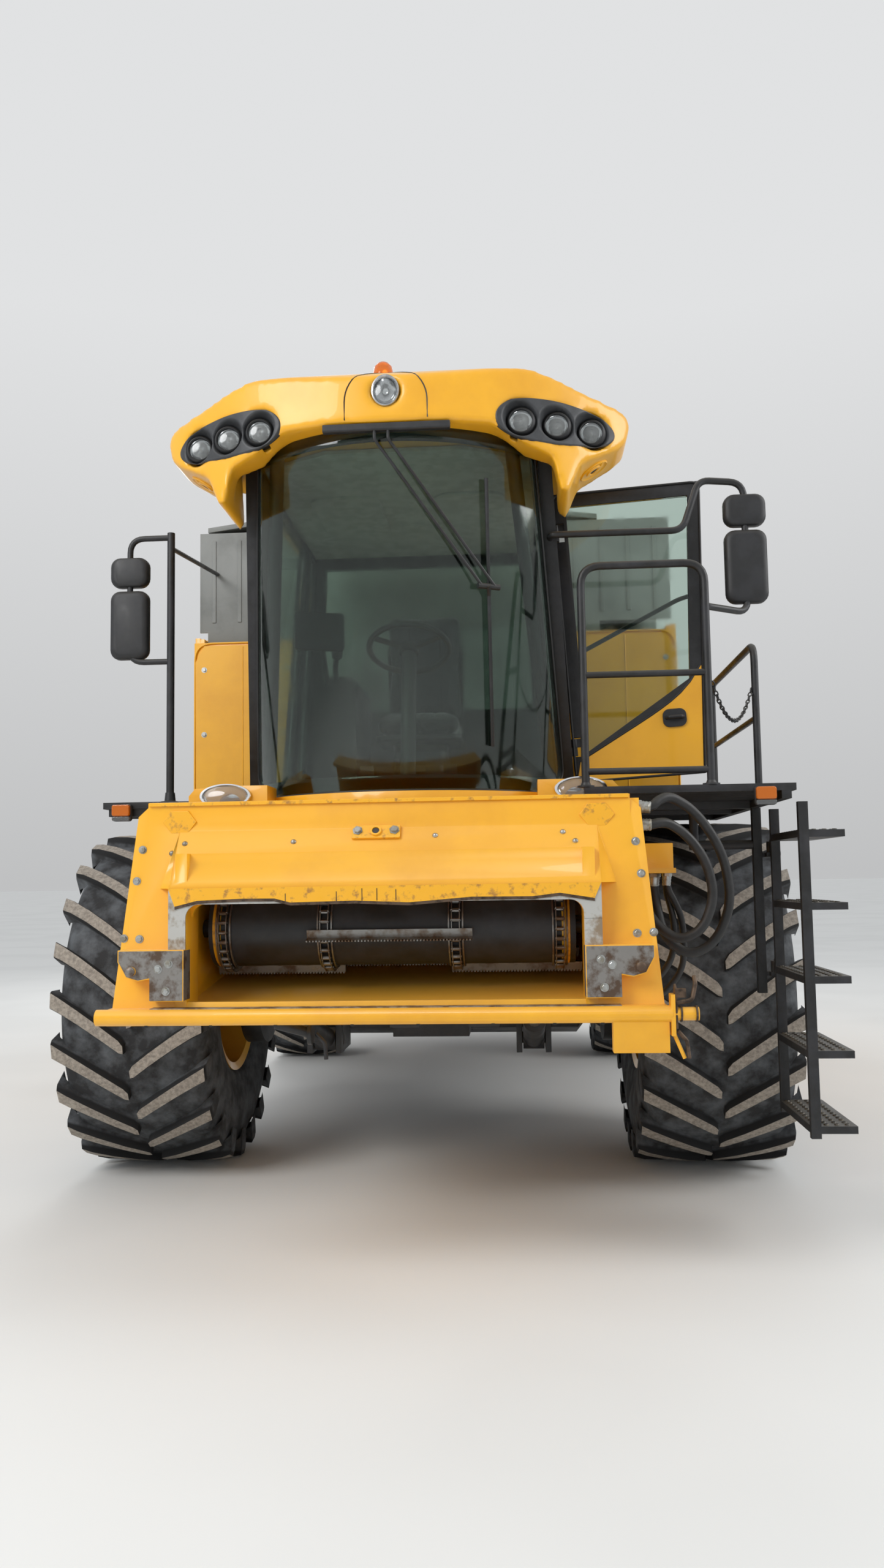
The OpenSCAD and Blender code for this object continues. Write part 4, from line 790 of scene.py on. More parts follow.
def set_copies(tree: bpy.types.NodeTree, start: bpy.types.Node, points: Socket, part: Socket,
               turn: Socket | None = None) -> bpy.types.NodeTree:
    """Ends a geometry tree in real copies of a part with its material.

    Args:
        tree: The tree.
        start: Its input node, which has a Material input.
        points: The points that the copies are set on.
        part: What is copied.
        turn: Rotation of each copy, or None.

    Returns:
        The tree.
    """
    inputs = {"Points": points, "Instance": part}
    if turn is not None:
        inputs["Rotation"] = turn
    copies = add_node(tree, "GeometryNodeInstanceOnPoints", {}, inputs)
    real = add_node(tree, "GeometryNodeRealizeInstances", {}, {0: copies.outputs[0]})
    coated = add_node(tree, "GeometryNodeSetMaterial", {},
                      {"Geometry": real.outputs[0], "Material": start.outputs["Material"]})
    add_node(tree, "NodeGroupOutput", {}, {0: coated.outputs[0]})
    return tree


@cache
def ring_tree() -> bpy.types.NodeTree:
    """Tree that repeats the piece's own mesh about an axis through the origin."""
    tree, start = new_tree("repeat_about_axis", [("Count", "NodeSocketInt"), ("Axis", "NodeSocketVector"),
                                                 ("Material", "NodeSocketMaterial")])
    points = add_node(tree, "GeometryNodePoints", {}, {"Count": start.outputs["Count"]})
    index = add_node(tree, "GeometryNodeInputIndex", {}, {})
    pitch = reckon(tree, "DIVIDE", 2 * math.pi, start.outputs["Count"])
    angle = reckon(tree, "MULTIPLY", index.outputs[0], pitch)
    turn = add_node(tree, "FunctionNodeAxisAngleToRotation", {},
                    {"Axis": start.outputs["Axis"], "Angle": angle})
    return set_copies(tree, start, points.outputs[0], start.outputs["Geometry"], turn.outputs[0])


@cache
def row_tree() -> bpy.types.NodeTree:
    """Tree that repeats the piece's own mesh along a straight row."""
    tree, start = new_tree("repeat_in_a_row", [("Count", "NodeSocketInt"), ("Step", "NodeSocketVector"),
                                               ("Material", "NodeSocketMaterial")])
    line = add_node(tree, "GeometryNodeMeshLine", {},
                    {"Count": start.outputs["Count"], "Offset": start.outputs["Step"]})
    return set_copies(tree, start, line.outputs[0], start.outputs["Geometry"])


@cache
def scatter_tree() -> bpy.types.NodeTree:
    """Tree that sets one small part on each vertex of the piece's own mesh."""
    tree, start = new_tree("set_at_places", [("Part", "NodeSocketObject"),
                                             ("Material", "NodeSocketMaterial")])
    info = add_node(tree, "GeometryNodeObjectInfo", {}, {"Object": start.outputs["Part"]})
    return set_copies(tree, start, start.outputs["Geometry"], info.outputs["Geometry"])


@cache
def along_tree() -> bpy.types.NodeTree:
    """Tree that sets the piece's own mesh at even steps along a closed path, turned with it."""
    tree, start = new_tree("repeat_along_path", [("Path", "NodeSocketObject"), ("Count", "NodeSocketInt"),
                                                 ("Material", "NodeSocketMaterial")])
    info = add_node(tree, "GeometryNodeObjectInfo", {}, {"Object": start.outputs["Path"]})
    curve = add_node(tree, "GeometryNodeMeshToCurve", {}, {0: info.outputs["Geometry"]})
    even = add_node(tree, "GeometryNodeResampleCurve", {},
                    {"Curve": curve.outputs[0], "Count": start.outputs["Count"]})
    tangent = add_node(tree, "GeometryNodeInputTangent", {}, {})
    turn = add_node(tree, "FunctionNodeAlignRotationToVector", {"axis": "Y", "pivot_axis": "X"},
                    {"Vector": tangent.outputs[0]})
    return set_copies(tree, start, even.outputs[0], start.outputs["Geometry"], turn.outputs[0])


def repeated(piece: bpy.types.Object, tree: bpy.types.NodeTree, inputs: dict[str, Any]) -> bpy.types.Object:
    """Runs a tree on a piece and keeps the result as a plain mesh.

    Args:
        piece: The piece, whose first material goes on the result.
        tree: The tree.
        inputs: Values of the tree's inputs by their names.

    Returns:
        The piece with its repeated mesh and no modifier.
    """
    material = piece.data.materials[0]
    modifier = piece.modifiers.new("repeat", "NODES")
    modifier.node_group = tree
    for item in tree.interface.items_tree:
        if item.item_type == "SOCKET" and item.in_out == "INPUT" and item.name in inputs:
            modifier[item.identifier] = inputs[item.name]
        if item.item_type == "SOCKET" and item.in_out == "INPUT" and item.name == "Material":
            modifier[item.identifier] = material
    baked(piece)
    if not piece.data.materials:
        piece.data.materials.append(material)
    return piece


def placed(piece: bpy.types.Object, move: Point) -> bpy.types.Object:
    """Moves a piece's mesh by an amount given from the front axle's frame."""
    piece.data.transform(Matrix.Translation((move[0], move[1] + AXLE_Y, move[2])))
    return piece


def joined(name: str, parts: Sequence[bpy.types.Object]) -> bpy.types.Object:
    """Joins meshes into the first of them and names it."""
    mesh = bmesh.new()
    materials: list[bpy.types.Material] = []
    for part in parts:
        start = len(mesh.faces)
        mesh.from_mesh(part.data)
        mesh.faces.ensure_lookup_table()
        if part.data.materials[0] not in materials:
            materials.append(part.data.materials[0])
        slot = materials.index(part.data.materials[0])
        for face in mesh.faces[start:]:
            face.material_index = slot
    data = bpy.data.meshes.new(name)
    mesh.to_mesh(data)
    mesh.free()
    for material in materials:
        data.materials.append(material)
    made = linked(name, data)
    for part in parts:
        bpy.data.objects.remove(part)
    return made


def bolt_heads(name: str, places: Sequence[Point], axis: Axis, across: float, height: float,
               finish: Surface) -> bpy.types.Object:
    """Sets hexagon bolt heads with washers at places, all facing along one axis.

    Args:
        name: Name of the piece.
        places: Middle of each washer's underside.
        axis: Axis that the bolts stand along, towards its lower end where height is negative.
        across: Width over the corners of a head.
        height: Height of a head, negative for one that faces the other way.
        finish: Their finish.

    Returns:
        The bolt heads as one mesh.
    """
    along = Vector([1.0 if i == axis.value else 0.0 for i in range(3)]) * math.copysign(1, height)
    part = Shape()
    part.lathe([(-0.001, 0), (-0.001, across * 0.72), (abs(height) * 0.2, across * 0.72),
                (abs(height) * 0.2, 0)], (0, 0, 0), along, 16, closed=False)
    part.lathe([(0, 0), (0, across / 2), (abs(height) * 0.9, across / 2), (abs(height), across * 0.42),
                (abs(height), 0)], (0, 0, 0), along, 6, closed=False)
    head = part.object(name + "_part", finish, in_place=False)
    host = Shape().faces(places, []).object(name, finish, in_place=True)
    made = repeated(host, scatter_tree(), {"Part": head})
    bpy.data.objects.remove(head)
    return made


def bolted(name: str, places: Sequence[Point], axis: Axis, across: float, height: float, body: str,
           finish: Surface = ZINC_PLATED_STEEL, slot: str = "bare_steel") -> bpy.types.Object:
    """Sets bolt heads as a finished piece on a body, with the arguments of bolt_heads."""
    return finished(bolt_heads(name, places, axis, across, height, finish), body, slot)


def bent(corners: Sequence[Point], radius: float, steps: int = 6) -> list[Vector]:
    """Rounds the corners of a path, as a tube bender leaves them.

    Args:
        corners: The path's ends and corners.
        radius: Radius of each bend, less where the stretches are short.
        steps: Steps across a bend.

    Returns:
        Points of the rounded path.
    """
    points = [Vector(c) for c in corners]
    path = [points[0]]
    for before, corner, after in zip(points, points[1:], points[2:]):
        back, on = before - corner, after - corner
        reach = min(radius / math.tan(back.angle(on) / 2), 0.48 * back.length, 0.48 * on.length)
        start, end = corner + back.normalized() * reach, corner + on.normalized() * reach
        for t in (i / steps for i in range(steps + 1)):
            path.append(start * (1 - t) ** 2 + corner * 2 * t * (1 - t) + end * t**2)
    path.append(points[-1])
    return path


def rounded_rectangle(width: float, height: float, radius: float, middle: Sequence[float] = (0.0, 0.0),
                      steps: int = 5) -> list[tuple[float, float]]:
    """Outline of a rectangle with rounded corners.

    Args:
        width: Its width.
        height: Its height.
        radius: Radius of its corners.
        middle: Place of its middle.
        steps: Steps across a corner.

    Returns:
        The outline's points, anticlockwise.
    """
    points = []
    for cx, cy, start in ((1, 1, 0), (-1, 1, 90), (-1, -1, 180), (1, -1, 270)):
        for t in (math.radians(start + 90 * i / steps) for i in range(steps + 1)):
            points.append((middle[0] + (cx * (width / 2 - radius) + radius * math.cos(t)),
                           middle[1] + (cy * (height / 2 - radius) + radius * math.sin(t))))
    return points


# Wheels


@dataclass
class Tyre:
    """A lugged farm tyre.

    Attributes:
        node: Node that it stands for.
        body: Body that it turns with.
        centre: Middle of the tyre, from the front axle.
        radius: Radius over the lugs.
        width: Width of the tyre.
        bead: Radius of the bead seat.
        lugs: Lugs on each side.
        lug_height: Height of a lug.
        finish: Its rubber.
    """

    node: str
    body: str
    centre: tuple[float, float, float]
    radius: float
    width: float
    bead: float
    lugs: int
    lug_height: float
    finish: TyreFinish

    def carcass(self) -> bpy.types.Object:
        """The carcass with its rounded shoulders, bead and rim guard ring."""
        tread = self.radius - self.lug_height
        wall = tread - self.bead
        half = [(0.385, self.bead + 0.001), (0.415, self.bead + 0.012), (0.425, self.bead + 0.03),
                (0.445, self.bead + 0.045), (0.452, self.bead + 0.062), (0.462, self.bead + 0.25 * wall),
                (0.480, self.bead + 0.42 * wall), (0.484, self.bead + 0.55 * wall),
                (0.478, self.bead + 0.70 * wall), (0.462, self.bead + 0.83 * wall), (0.440, tread - 0.045),
                (0.405, tread - 0.016), (0.340, tread - 0.006), (0.2, tread), (0.0, tread + 0.004)]
        profile = [(-x * self.width, r) for x, r in half] + [(x * self.width, r) for x, r in half[-2::-1]]
        shape = Shape().lathe(profile, (0, 0, 0), (1, 0, 0), 88)
        return smooth(shape.object(self.node + "_carcass", self.finish, in_place=False), 50)

    def lug(self, side: int) -> bpy.types.Object:
        """One lug on a side, from the middle of the tread over the shoulder.

        Args:
            side: 1 for the left half of the tyre and -1 for the right.

        Returns:
            The lug about the wheel's axle.
        """
        radius, height, half = self.radius, self.lug_height, self.width / 2
        sweep = math.radians(352 / self.lugs)
        first = 2 * math.pi / self.lugs * (0.75 if side > 0 else 0.25)
        thick = 0.27 * 2 * math.pi * radius / self.lugs
        # Share of the half width, share of the sweep, drop of the top, foot radius, share of the thickness
        stations = [(0.03, 0.00, 0.002, radius - height - 0.016, 0.62),
                    (0.08, 0.07, 0.0, radius - height - 0.016, 0.98),
                    (0.30, 0.33, 0.0, radius - height - 0.016, 1.0),
                    (0.60, 0.65, 0.004, radius - height - 0.02, 1.04),
                    (0.84, 0.88, 0.010, radius - height - 0.035, 1.1),
                    (0.965, 0.98, 0.020, radius - height - 0.07, 1.16),
                    (0.985, 1.0, 0.050, radius - height - 0.11, 1.18)]
        rings = []
        for share, turn, drop, foot, wide in stations:
            angle = first + turn * sweep
            top = radius - drop
            spread = thick * wide / 2
            corners = [(-spread * 1.32, foot), (-spread * 1.05, top - 0.008), (-spread * 0.92, top),
                       (spread * 0.92, top), (spread * 1.05, top - 0.008), (spread * 1.32, foot)]
            rings.append([(side * share * half, -r * math.cos(angle + offset / radius),
                           r * math.sin(angle + offset / radius)) for offset, r in corners])
        return smooth(Shape().loft(rings).object(self.node + "_lug", self.finish, in_place=False), 28)

    def build(self) -> None:
        """Makes the tyre and sets it on its wheel."""
        parts = [self.carcass()]
        for side in (1, -1):
            parts.append(repeated(self.lug(side), ring_tree(), {"Count": self.lugs, "Axis": (1.0, 0.0, 0.0)}))
        made = joined(self.node + "_tread", parts)
        finished(placed(made, self.centre), self.body, "tyre_rubber", self.node)


@dataclass
class Wheels:
    """The four tyres and the bolts on their rims."""

    front_x: float = 1.475
    rear_x: float = 1.4
    wheelbase: float = 3.8

    def build(self) -> None:
        """Makes every wheel's dressed pieces."""
        for side, name in ((1, "left"), (-1, "right")):
            Tyre(f"front_tyre_{name}", f"front_wheel_{name}", (side * self.front_x, 0, 0.92), 0.92, 0.8,
                 0.406, 22, 0.052, FRONT_TYRE_RUBBER).build()
            Tyre(f"rear_tyre_{name}", f"rear_wheel_{name}", (side * self.rear_x, self.wheelbase, 0.67), 0.67,
                 0.6, 0.336, 18, 0.04, REAR_TYRE_RUBBER).build()
            self.wheel_bolts(f"front_wheel_{name}", side, self.front_x + 0.056, 0.0, 0.92)
            self.wheel_bolts(f"rear_wheel_{name}", side, self.rear_x + 0.076, self.wheelbase, 0.67)

    def wheel_bolts(self, body: str, side: int, x: float, y: float, z: float) -> None:
        """Sets ten wheel bolts round a hub.

        Args:
            body: Body of the wheel.
            side: 1 on the left and -1 on the right.
            x: Distance of the disc's outer face from the machine's middle.
            y: Place of the axle behind the front one.
            z: Height of the axle.
        """
        circle, studs = 0.155, 10
        places = [(side * x, y + circle * math.cos(t), z + circle * math.sin(t)) for t in turns(studs)]
        bolted(body + "_bolts", places, Axis.X, 0.036, side * 0.018, body, POLISHED_ROD_STEEL)


# Hydraulic hoses


@dataclass
class Hoses:
    """The four hydraulic hoses on the feeder's left, from the adapter frame to the feeder house.

    Attributes:
        routes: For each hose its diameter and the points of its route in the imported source, in metres.
        steps: Points of the curve for each stretch of a route.
    """

    routes: tuple[tuple[float, tuple[tuple[float, float, float], ...]],
                  ...] = ((0.038, ((0.9603, -2.140, 1.815), (1.010, -2.140, 1.815), (1.080, -2.100, 1.850),
                                   (1.190, -2.040, 1.790), (1.290, -2.000, 1.640), (1.320, -1.985, 1.450),
                                   (1.260, -1.985, 1.300), (1.160, -1.985, 1.250), (1.070, -1.970, 1.320),
                                   (1.040, -1.925, 1.480), (1.040, -1.925, 1.5597))),
                          (0.038, ((0.9603, -2.140, 1.745), (1.010, -2.140, 1.745), (1.070, -2.120, 1.750),
                                   (1.150, -2.085, 1.700), (1.220, -2.060, 1.600), (1.245, -2.050, 1.470),
                                   (1.200, -2.050, 1.350), (1.110, -2.040, 1.310), (1.020, -2.010, 1.380),
                                   (0.985, -1.925, 1.490), (0.985, -1.925, 1.5597))),
                          (0.026, ((1.090, -1.905, 1.5597), (1.090, -1.905, 1.480), (1.110, -1.925, 1.370),
                                   (1.100, -1.930, 1.240), (1.040, -1.930, 1.150), (0.950, -1.930, 1.130),
                                   (0.860, -1.950, 1.170), (0.7803, -1.950, 1.170))),
                          (0.026, ((1.090, -1.948, 1.5597), (1.090, -1.948, 1.500), (1.135, -1.925, 1.400),
                                   (1.150, -1.900, 1.300), (1.140, -1.880, 1.180), (1.060, -1.870, 1.080),
                                   (0.960, -1.870, 1.080), (0.860, -1.890, 1.160), (0.7803, -1.890, 1.160))),)
    steps: int = 2

    def curve_points(self, route: Sequence[Point]) -> list[Vector]:
        """Points on a smooth curve through a route, in the machine's frame.

        Args:
            route: Points that the hose passes through.

        Returns:
            Points of the curve.
        """
        p = [Vector(q) + Vector((0, AXLE_Y, 0)) for q in route]
        points = []
        for i in range(len(p) - 1):
            a, b, c, d = p[max(i - 1, 0)], p[i], p[i + 1], p[min(i + 2, len(p) - 1)]
            for u in (k / self.steps for k in range(self.steps)):
                points.append(0.5 * (2 * b + (c - a) * u + (2 * a - 5 * b + 4 * c - d) * u**2
                                     + (3 * b - a - 3 * c + d) * u**3))
        points.append(p[-1])
        return points

    def build(self) -> None:
        """Lays each hose and crimps a ferrule on both its ends."""
        for number, (diameter, route) in enumerate(self.routes, 1):
            points = self.curve_points(route)
            data = bpy.data.curves.new(f"hydraulic_hose_{number}", "CURVE")
            data.dimensions = "3D"
            data.bevel_depth = diameter / 2
            data.bevel_resolution = 4
            data.resolution_u = 6
            data.use_fill_caps = True
            spline = data.splines.new("BEZIER")
            spline.bezier_points.add(len(points) - 1)
            for knot, point in zip(spline.bezier_points, points):
                knot.co = point
                knot.handle_left_type = knot.handle_right_type = "AUTO"
            hose = linked(f"hydraulic_hose_{number}", data)
            data.materials.append(HOSE_RUBBER.material())
            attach(hose, "feeder")
            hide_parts(f"hose_{number}")
            ends = self.ferrules(number, points, diameter)

    def ferrules(self, number: int, points: Sequence[Vector], diameter: float) -> bpy.types.Object:
        """Crimped ferrules with hexagon nuts at both ends of a hose.

        Args:
            number: Number of the hose.
            points: Points of its curve.
            diameter: Its diameter.

        Returns:
            The ferrules as one piece.
        """
        r = diameter / 2
        shape, nuts = Shape(), Shape()
        for end, inner in ((points[0], points[1]), (points[-1], points[-2])):
            along = inner - end
            shape.lathe([(0.012, r * 0.9), (0.012, r * 1.16), (0.02, r * 1.22), (0.026, r * 1.12),
                         (0.032, r * 1.22), (0.038, r * 1.12), (0.044, r * 1.22), (0.05, r * 1.1),
                         (0.05, r * 0.9)], end, along, 24)
            nuts.lathe([(0, 0), (0, r * 1.36), (0.012, r * 1.36), (0.014, r * 1.2), (0.014, 0)], end, along,
                       6, closed=False)
        crimp = smooth(shape.object(f"hose_{number}_crimp", ZINC_PLATED_STEEL, in_place=False))
        hexes = nuts.object(f"hose_{number}_nut", ZINC_PLATED_STEEL, in_place=False)
        return finished(joined(f"hose_{number}_ferrules", [crimp, hexes]), "feeder", "bare_steel")


# Feeder


@dataclass
class Conveyor:
    """Roller chains, serrated slats and the collars of the front drum.

    Attributes:
        drum: Place of the drum's axle.
        sprocket: Place of the far sprockets' axle.
        drum_r: Radius of the drum.
        sprocket_r: Radius of the far sprockets.
        chain_h: Height of a chain.
        chains: Middle of each chain across the machine.
        pitch: Pitch of the chains.
        columns: Middle, length and first place of each column of slats.
        slat_step: Distance between the slats of one column.
        slat_h: Height of a slat.
        tooth: Pitch of the teeth on a slat.
    """

    drum: tuple[float, float] = (-1.96, 1.365)
    sprocket: tuple[float, float] = (-0.62, 1.545)
    drum_r: float = 0.15
    sprocket_r: float = 0.09
    chain_h: float = 0.026
    chains: tuple[float, ...] = (-0.655, -0.255, 0.255, 0.655)
    pitch: float = 0.038
    columns: tuple[tuple[float, float, float], ...] = ((-0.485, 0.53, 0.0), (0.0, 0.64, 0.5),
                                                       (0.485, 0.53, 0.0))
    slat_step: float = 0.234
    slat_h: float = 0.045
    tooth: float = 0.0125

    def run(self) -> Vector:
        """The way from the drum's axle to the sprockets'."""
        return Vector((0, self.sprocket[0] - self.drum[0], self.sprocket[1] - self.drum[1]))

    def frame(self) -> Matrix:
        """Frame at the drum with Y along the run."""
        run = self.run()
        return Matrix.Translation((0, *self.drum)) @ Matrix.Rotation(math.atan2(run.z, run.y), 4, "X")

    def loop(self, grown: float) -> list[Vector]:
        """Points of the loop round the drum and the sprockets.

        Args:
            grown: Distance from the drum's face.

        Returns:
            The loop's points, at the machine's middle.
        """
        long = self.run().length
        near, far = self.drum_r + grown, self.sprocket_r + grown
        points = [Vector((0, near * math.cos(t), near * math.sin(t)))
                  for t in (math.radians(90 + 180 * i / 24) for i in range(25))]
        points += [Vector((0, long + far * math.cos(t), far * math.sin(t)))
                   for t in (math.radians(270 + 180 * i / 20) for i in range(21))]
        return [self.frame() @ p for p in points]

    def link(self) -> bpy.types.Object:
        """One pitch of roller chain along Y, standing on its outer side."""
        half, plate = self.pitch / 2, self.chain_h * 0.42
        outline = [(-half * 1.3, -plate * 0.5), (-half * 0.9, -plate), (half * 0.9, -plate),
                   (half * 1.3, -plate * 0.5), (half * 1.3, plate * 0.5), (half * 0.9, plate),
                   (-half * 0.9, plate), (-half * 1.3, plate * 0.5)]
        shape = Shape()
        for x in (-0.017, 0.0135):
            shape.prism(outline, Axis.X, x, 0.0035)
        shape.lathe([(-0.013, 0), (-0.013, 0.0085), (0.013, 0.0085), (0.013, 0)], (0, half * 0.9, 0),
                    (1, 0, 0), 10, False)
        shape.lathe([(-0.0195, 0), (-0.0195, 0.0048), (0.0195, 0.0048), (0.0195, 0)], (0, half * 0.9, 0),
                    (1, 0, 0), 8, False)
        return shape.object("chain_link", CROP_WORN_STEEL, in_place=False)

    def strand(self, x: float) -> bpy.types.Object:
        """One chain, its links set along the loop by Geometry Nodes.

        Args:
            x: Its middle across the machine.

        Returns:
            The chain.
        """
        points = [p + Vector((x, AXLE_Y, 0)) for p in self.loop(self.chain_h / 2 + 0.001)]
        path_mesh = bpy.data.meshes.new("chain_path")
        path_mesh.from_pydata(points, [(i, (i + 1) % len(points)) for i in range(len(points))], [])
        path = linked("chain_path", path_mesh)
        length = sum((b - a).length for a, b in zip(points, points[1:] + points[:1]))
        count = int(length / self.pitch)
        made = repeated(self.link(), along_tree(), {"Path": path, "Count": count})
        bpy.data.objects.remove(path)
        return made

    def slat(self, middle: float, length: float, matrix: Matrix, up: float) -> Shape:
        """A serrated angle bar across two chains.

        Args:
            middle: Its middle across the machine.
            length: Its length.
            matrix: Frame of its foot, Z away from the chains where up is 1.
            up: 1 on the upper run and -1 on the lower.

        Returns:
            The slat's mesh.
        """
        teeth = int(length / self.tooth)
        step = length / teeth
        top = [(-length / 2, self.slat_h - 0.009)]
        for i in range(teeth):
            left = -length / 2 + i * step
            top += [(left + 0.2 * step, self.slat_h), (left + 0.6 * step, self.slat_h),
                    (left + step, self.slat_h - 0.009)]
        outline = [(length / 2, 0.0), (-length / 2, 0.0)] + top
        shape = Shape().prism(outline, Axis.Y, -0.003, 0.006)
        shape.box((-length / 2, 0.0, 0.0), (length / 2, 0.034, 0.005))
        flip = Matrix.Diagonal((1, up, up, 1))
        return shape.moved(Matrix.Translation((middle, 0, 0)) @ matrix @ flip)

    def slats(self) -> bpy.types.Object:
        """Every slat in its column, on both runs, and the one that comes round the drum."""
        parts = []
        long, deck = self.run().length, self.drum_r + self.chain_h - 0.002
        for middle, length, first in self.columns:
            for i in range(5):
                along = 0.12 + (i + first) * self.slat_step
                for side in (1, -1):
                    height = side * deck - side * along / long * (self.drum_r - self.sprocket_r)
                    place = self.frame() @ Matrix.Translation((0, along, height))
                    parts.append(self.slat(middle, length, place, side).object("slat", CROP_WORN_STEEL))
        turned = Matrix.Translation((0, *self.drum)) @ rotation(12 + 90, "X")
        over = self.slat(0.0, self.columns[1][1], turned @ Matrix.Translation((0, 0, deck)), 1)
        parts.append(over.object("slat", CROP_WORN_STEEL))
        return joined("slats", parts)

    def collars(self) -> None:
        """Guide rings beside the chains and the yellow end discs of the drum."""
        y, z = self.drum
        rings, discs = Shape(), Shape()
        for x in self.chains:
            for side in (-1, 1):
                rings.lathe([(0, self.drum_r - 0.004), (0, self.drum_r + 0.011), (0.006, self.drum_r + 0.011),
                             (0.006, self.drum_r - 0.004)], (x + side * 0.027 - 0.003, y, z), (1, 0, 0), 48)
        for side in (-1, 1):
            discs.lathe([(0, 0.04), (0, self.drum_r + 0.002), (0.03, self.drum_r + 0.002),
                         (0.036, self.drum_r - 0.004), (0.036, 0.04)],
                        (side * 0.68 - 0.018, y, z), (1, 0, 0), 48)
        rings.put("drum_guide_rings", CROP_WORN_STEEL, "feeder", "bare_steel")
        discs.put("drum_end_discs", FEEDER_ENAMEL, "feeder", "yellow_paint")

    def build(self) -> None:
        """Makes the chains, the slats and the drum's rings."""
        strands = [self.strand(x) for x in self.chains]
        finished(joined("conveyor_chains", [*strands, self.slats()]), "feeder", "bare_steel", "feeder_chains")
        self.collars()


